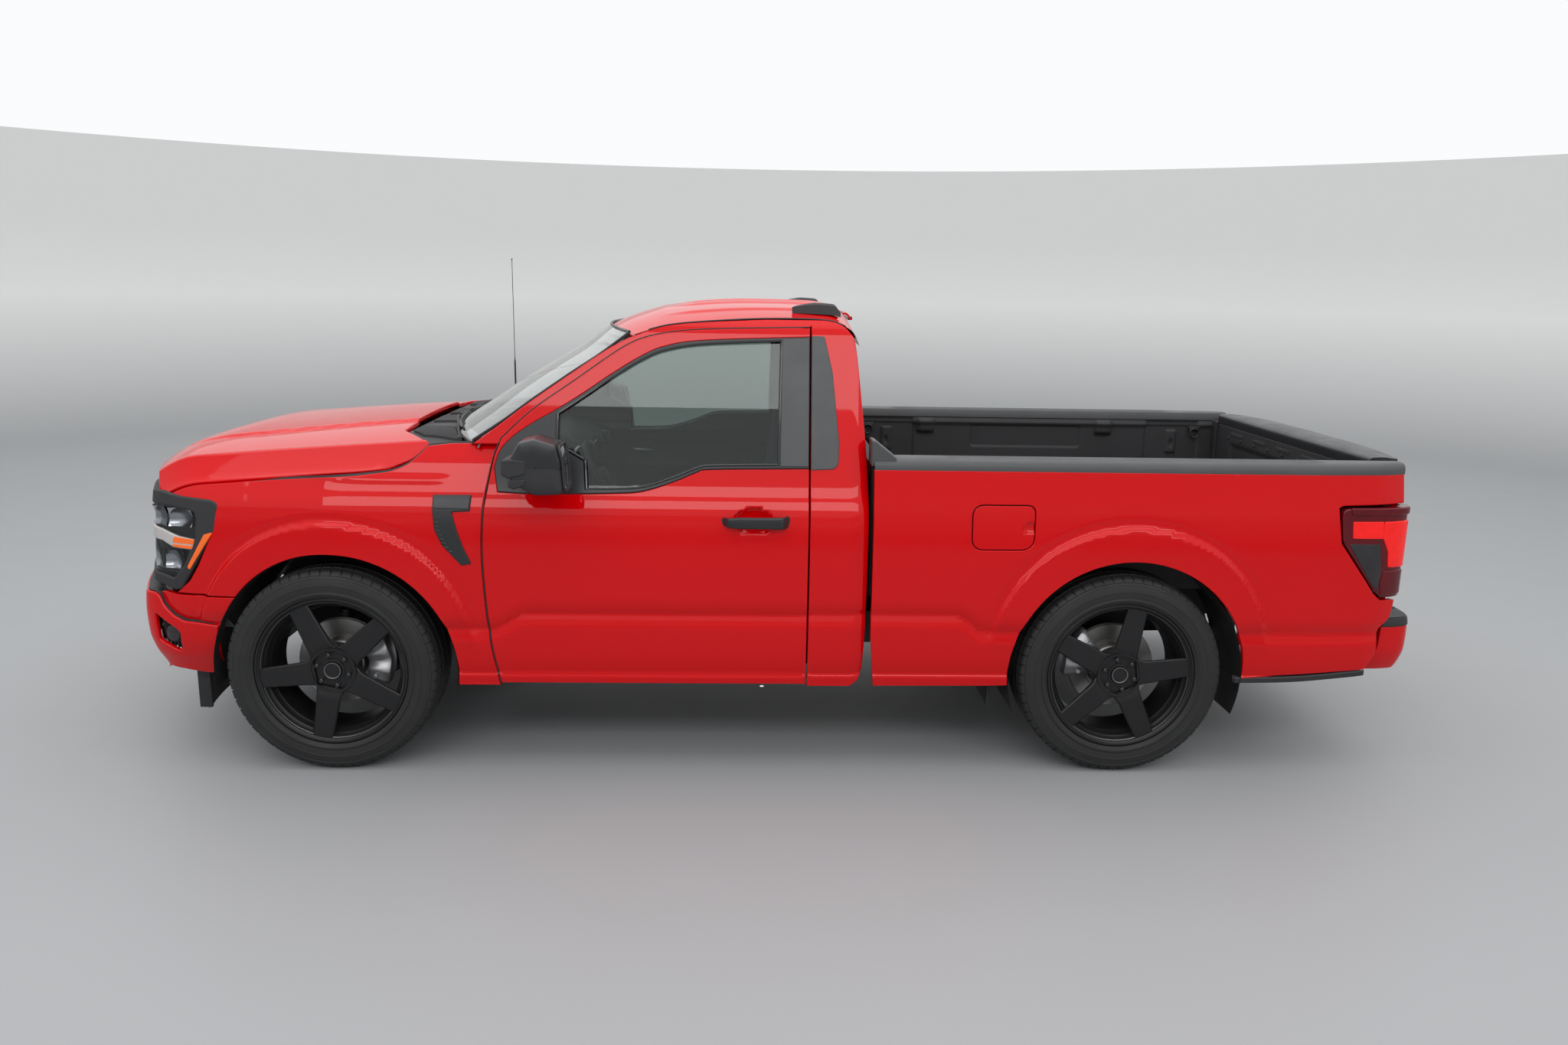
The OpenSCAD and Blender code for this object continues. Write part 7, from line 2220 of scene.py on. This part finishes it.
s.piece("dash_panel", "truck", VINYL, "interior", ["dashboard"], angle=50)
s, bright = Shape(), Shape()
face_x = DOOR_FRONT - 0.268
block(s, (face_x - 0.046, -0.135, 1.035), (face_x - 0.012, 0.135, 1.200), 0.010)
solid(s, rounded(rect(-0.13, 0.925, 0.13, 1.02), 0.01), cross_plane, face_x - 0.022, face_x + 0.02, 0.004)
solid(s, rounded([(0.215, 1.105), (0.525, 1.105), (0.505, 1.225), (0.235, 1.225)], 0.03), cross_plane,
      face_x - 0.030, face_x - 0.010, 0.004)
for y in (-0.71, -0.215, 0.185, 0.71):
    block(s, (face_x - 0.018, y - 0.052, 1.085), (face_x + 0.02, y + 0.052, 1.160), 0.008)
    for k in range(4):
        tube(bright, [(face_x - 0.020, y - 0.044, 1.100 + 0.015 * k),
                      (face_x - 0.020, y + 0.044, 1.100 + 0.015 * k)], 0.002, 6)
for k in range(3):
    lathe(bright, [(0.017, 0.0), (0.016, 0.016), (0.012, 0.019), (0.0005, 0.019)],
          (face_x - 0.022, -0.085 + 0.085 * k, 0.965), "x", -1, 24)
s.piece("dash_fittings", "truck", GLOSS, "interior")
bright.piece("dash_knobs_and_fins", "truck", SILVER, "interior")

# Steering wheel: padded rim, spokes and hub on a tilted column
wheel_at = np.array([MIRROR_X - 0.400, 0.370, 1.075])
tilt = math.radians(62)
HAND_R = 0.176
face_dir = np.array([-math.sin(tilt), 0, math.cos(tilt)])
up_dir = np.array([math.cos(tilt), 0, math.sin(tilt)])


def wheel_pt(y, u, n):
    return (wheel_at + np.array([0, 1.0, 0]) * np.asarray(y, float)[..., None]
            + up_dir * np.asarray(u, float)[..., None] + face_dir * np.asarray(n, float)[..., None])


s = Shape()
t = np.linspace(0, 2 * math.pi, 73)
grip = 0.0145 + 0.0012 * np.cos(4 * t) ** 8
tube(s, wheel_pt(HAND_R * np.cos(t), HAND_R * np.sin(t), 0 * t), list(grip), 14, caps=False)
for a, wide in ((0, 0.030), (180, 0.030), (270, 0.034)):
    c, q = math.cos(math.radians(a)), math.sin(math.radians(a))
    strips = []
    for r in np.linspace(0.045, 0.170, 8):
        out = (r - 0.045) / 0.125
        w, drop_n = wide * (1 - 0.35 * out) / 2, 0.012 * out
        strips.append([wheel_pt(r * c - d * q, r * q + d * c, h - drop_n) for d,
                       h in ((-w, 0.002), (-w * 0.7, 0.012), (w * 0.7, 0.012), (w, 0.002),
                             (w * 0.7, -0.006), (-w * 0.7, -0.006))])
    v = np.array(strips)
    s.add(v.reshape(-1, 3), grid_faces(8, 6, closed_v=True))
hub = resample(rounded([(-0.062, -0.062), (0.062, -0.062), (0.068, 0.040), (0.040, 0.058),
                        (-0.040, 0.058), (-0.068, 0.040)], 0.02), 0.008)
rings = [(1.0, -0.014), (1.0, 0.006), (0.97, 0.014), (0.88, 0.0175), (0.5, 0.0185), (0.02, 0.0185)]
v = np.array([[wheel_pt(p[0] * k, p[1] * k, h) for p in hub] for k, h in rings])
s.add(v.reshape(-1, 3), grid_faces(len(rings), len(hub), closed_v=True))
s.piece("steering_wheel_rim", "steering_wheel", VINYL, "interior", ["steering_wheel"], angle=50)
s = Shape()
back_pts = np.array([wheel_pt(0, 0, d) for d in (-0.022, -0.05, -0.12, -0.20)])
tube(s, back_pts, [0.040, 0.046, 0.050, 0.052], 20)
for side in SIDES:
    tube(s, [wheel_pt(side * 0.03, 0.0, -0.05), wheel_pt(side * 0.15, 0.02, -0.045)], [0.006, 0.004], 8)
for y, wide in ((0.28, 0.03), (0.42, 0.045)):
    block(s, (DOOR_FRONT - 0.10, y - wide, 0.63), (DOOR_FRONT - 0.085, y + wide, 0.70), 0.005)
    tube(s, [(DOOR_FRONT - 0.085, y, 0.66), (DOOR_FRONT - 0.03, y, 0.78)], 0.007, 8)
s.piece("column_and_pedals", "truck", PLASTIC, "interior")
# Inner mirror on the windshield
s = Shape()
block(s, (FRONT_X - 1.020, -0.125, 1.585), (FRONT_X - 0.998, 0.125, 1.645), 0.010)
tube(s, spline([(FRONT_X - 0.998, 0, 1.615), (FRONT_X - 0.965, 0, 1.640),
                tuple(shield(np.array(0.80), np.array(0.0), -0.004))], 6), 0.007, 8)
s.piece("inner_mirror", "truck", GLOSS, "interior")
# Floor covering with ribbed mats
s = Shape()
xx, yy = lattice(np.linspace(CAB_REAR + 0.07, DOOR_FRONT - 0.01, 60), np.linspace(-0.822, 0.822, 150))
tunnel = 0.110 * (1 - smooth(np.abs(yy), 0.150, 0.190)) * smooth(xx, DOOR_REAR + 0.62, DOOR_REAR + 0.66)
mat = (0.008 * (1 - smooth(np.abs(np.abs(yy) - 0.45), 0.21, 0.22))
       * smooth(xx, DOOR_REAR + 0.66, DOOR_REAR + 0.68)
       * (1 - smooth(xx, DOOR_FRONT - 0.12, DOOR_FRONT - 0.10)))
rib = 0.0025 * (np.sin(yy * 160) > 0) * (mat > 0.006)
toe = 0.22 * smooth(xx, DOOR_FRONT - 0.16, DOOR_FRONT + 0.05)
sheet(s, np.stack([xx, yy, 0.552 + tunnel + mat + rib + toe], -1), side=1)
for side in SIDES:
    sill = rounded([(side * 0.826, 0.545), (side * 0.955, 0.535), (side * 0.955, 0.548),
                    (side * 0.826, 0.560)], 0.003)
    solid(s, sill, cross_plane, DOOR_REAR + 0.01, DOOR_FRONT - 0.06, 0.002)
s.piece("cab_floor_covering", "truck", CARPET, "carpet")

# ---------------------------------------------------------------- light, floor and camera

PHOTO_W, SENSOR, FOCAL_PX = 2048, 36.0, 1507.8
CAMERA_AT = (0.0985, 5.334, 1.946)
CAMERA_YAW, CAMERA_PITCH, CAMERA_ROLL = -2.07, 11.96, 1.02
SWEEP_START, SWEEP_R, WALL_TOP = 11.0, 2.5, 3.6


def camera():
    """Camera fitted to the photograph."""
    data = bpy.data.cameras.new("camera")
    obj = bpy.data.objects.new("camera", data)
    bpy.context.scene.collection.objects.link(obj)
    data.sensor_width = SENSOR
    data.lens = FOCAL_PX / PHOTO_W * SENSOR
    data.clip_end = 60
    yaw, pitch, roll = (math.radians(a) for a in (CAMERA_YAW, CAMERA_PITCH, CAMERA_ROLL))
    level = Vector((math.sin(yaw), -math.cos(yaw), 0))
    up0 = Vector((0, 0, 1))
    view = level * math.cos(pitch) - up0 * math.sin(pitch)
    right = level.cross(up0)
    up = right.cross(view)
    r = right * math.cos(roll) + up * math.sin(roll)
    u = up * math.cos(roll) - right * math.sin(roll)
    turn = Matrix((r, u, -view)).transposed().to_4x4()
    obj.matrix_world = Matrix.Translation(CAMERA_AT) @ turn
    bpy.context.scene.camera = obj


def stage_material(name, floor, wall):
    """Pale plaster, its colour going from floor to wall with height."""
    m = bpy.data.materials.new(name)
    m.use_nodes = True
    nodes, link = m.node_tree.nodes, m.node_tree.links.new
    bsdf = nodes["Principled BSDF"]
    place, noise, ramp, axes, rise, mix = (nodes.new("ShaderNode" + k)
                                           for k in ("TexCoord", "TexNoise", "MapRange", "SeparateXYZ",
                                                     "MapRange", "Mix"))
    noise.inputs["Scale"].default_value = 3.0
    link(place.outputs["Object"], noise.inputs["Vector"])
    ramp.inputs["To Min"].default_value, ramp.inputs["To Max"].default_value = 0.46, 0.56
    link(noise.outputs["Fac"], ramp.inputs["Value"])
    link(ramp.outputs["Result"], bsdf.inputs["Roughness"])
    link(place.outputs["Object"], axes.inputs["Vector"])
    rise.inputs["From Max"].default_value = 1.6
    link(axes.outputs["Z"], rise.inputs["Value"])
    mix.data_type = "RGBA"
    link(rise.outputs["Result"], mix.inputs["Factor"])
    mix.inputs[6].default_value, mix.inputs[7].default_value = tuple(floor) + (1.0,), tuple(wall) + (1.0,)
    link(mix.outputs[2], bsdf.inputs["Base Color"])
    return m


def lamp(name, place, aim, size, power):
    data = bpy.data.lights.new(name, "AREA")
    data.shape = "RECTANGLE"
    data.size, data.size_y = size
    data.energy = power
    data.spread = math.radians(180)
    obj = bpy.data.objects.new(name, data)
    bpy.context.scene.collection.objects.link(obj)
    obj.location = place
    obj.rotation_euler = (Vector(aim) - Vector(place)).to_track_quat("-Z", "Y").to_euler()


def stage():
    """Floor that sweeps up into a wall all round, a pale sky, and two soft lamps."""
    turn = np.linspace(0, 2 * math.pi, 129)[:-1]
    sweep = [(SWEEP_START + SWEEP_R * math.sin(a), SWEEP_R - SWEEP_R * math.cos(a))
             for a in np.linspace(0, math.pi / 2, 11)]
    rings = [(0.01, 0.0), (2.0, 0.0), (4.0, 0.0), (7.0, 0.0)] + sweep + [(SWEEP_START + SWEEP_R, WALL_TOP)]
    v = [(q * math.cos(t), q * math.sin(t), z) for t in turn for q, z in rings]
    mesh = bpy.data.meshes.new("floor")
    mesh.from_pydata(v, [], grid_faces(len(turn), len(rings), closed_u=True))
    mesh.polygons.foreach_set("use_smooth", [True] * len(mesh.polygons))
    mesh.materials.append(stage_material("floor_pale", (0.33, 0.34, 0.35), (0.80, 0.80, 0.79)))
    obj = bpy.data.objects.new("floor", mesh)
    bpy.context.scene.collection.objects.link(obj)
    obj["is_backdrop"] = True
    world = bpy.data.worlds.new("world")
    bpy.context.scene.world = world
    world.use_nodes = True
    world.node_tree.nodes["Background"].inputs["Color"].default_value = (0.98, 0.99, 1.0, 1)
    world.node_tree.nodes["Background"].inputs["Strength"].default_value = 0.98
    lamp("ceiling", (0, 0, 5.2), (0, 0, 0), (9.0, 7.0), 170)
    lamp("key", (0.0, 6.8, 5.0), (0, 0, 0.9), (12.0, 1.7), 200)


camera()
stage()
bpy.context.scene.view_settings.view_transform = "Standard"
low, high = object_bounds()
{"cad": [list(CAD_BOX[0]), list(CAD_BOX[1])], "visual": [list(low), list(high)]}
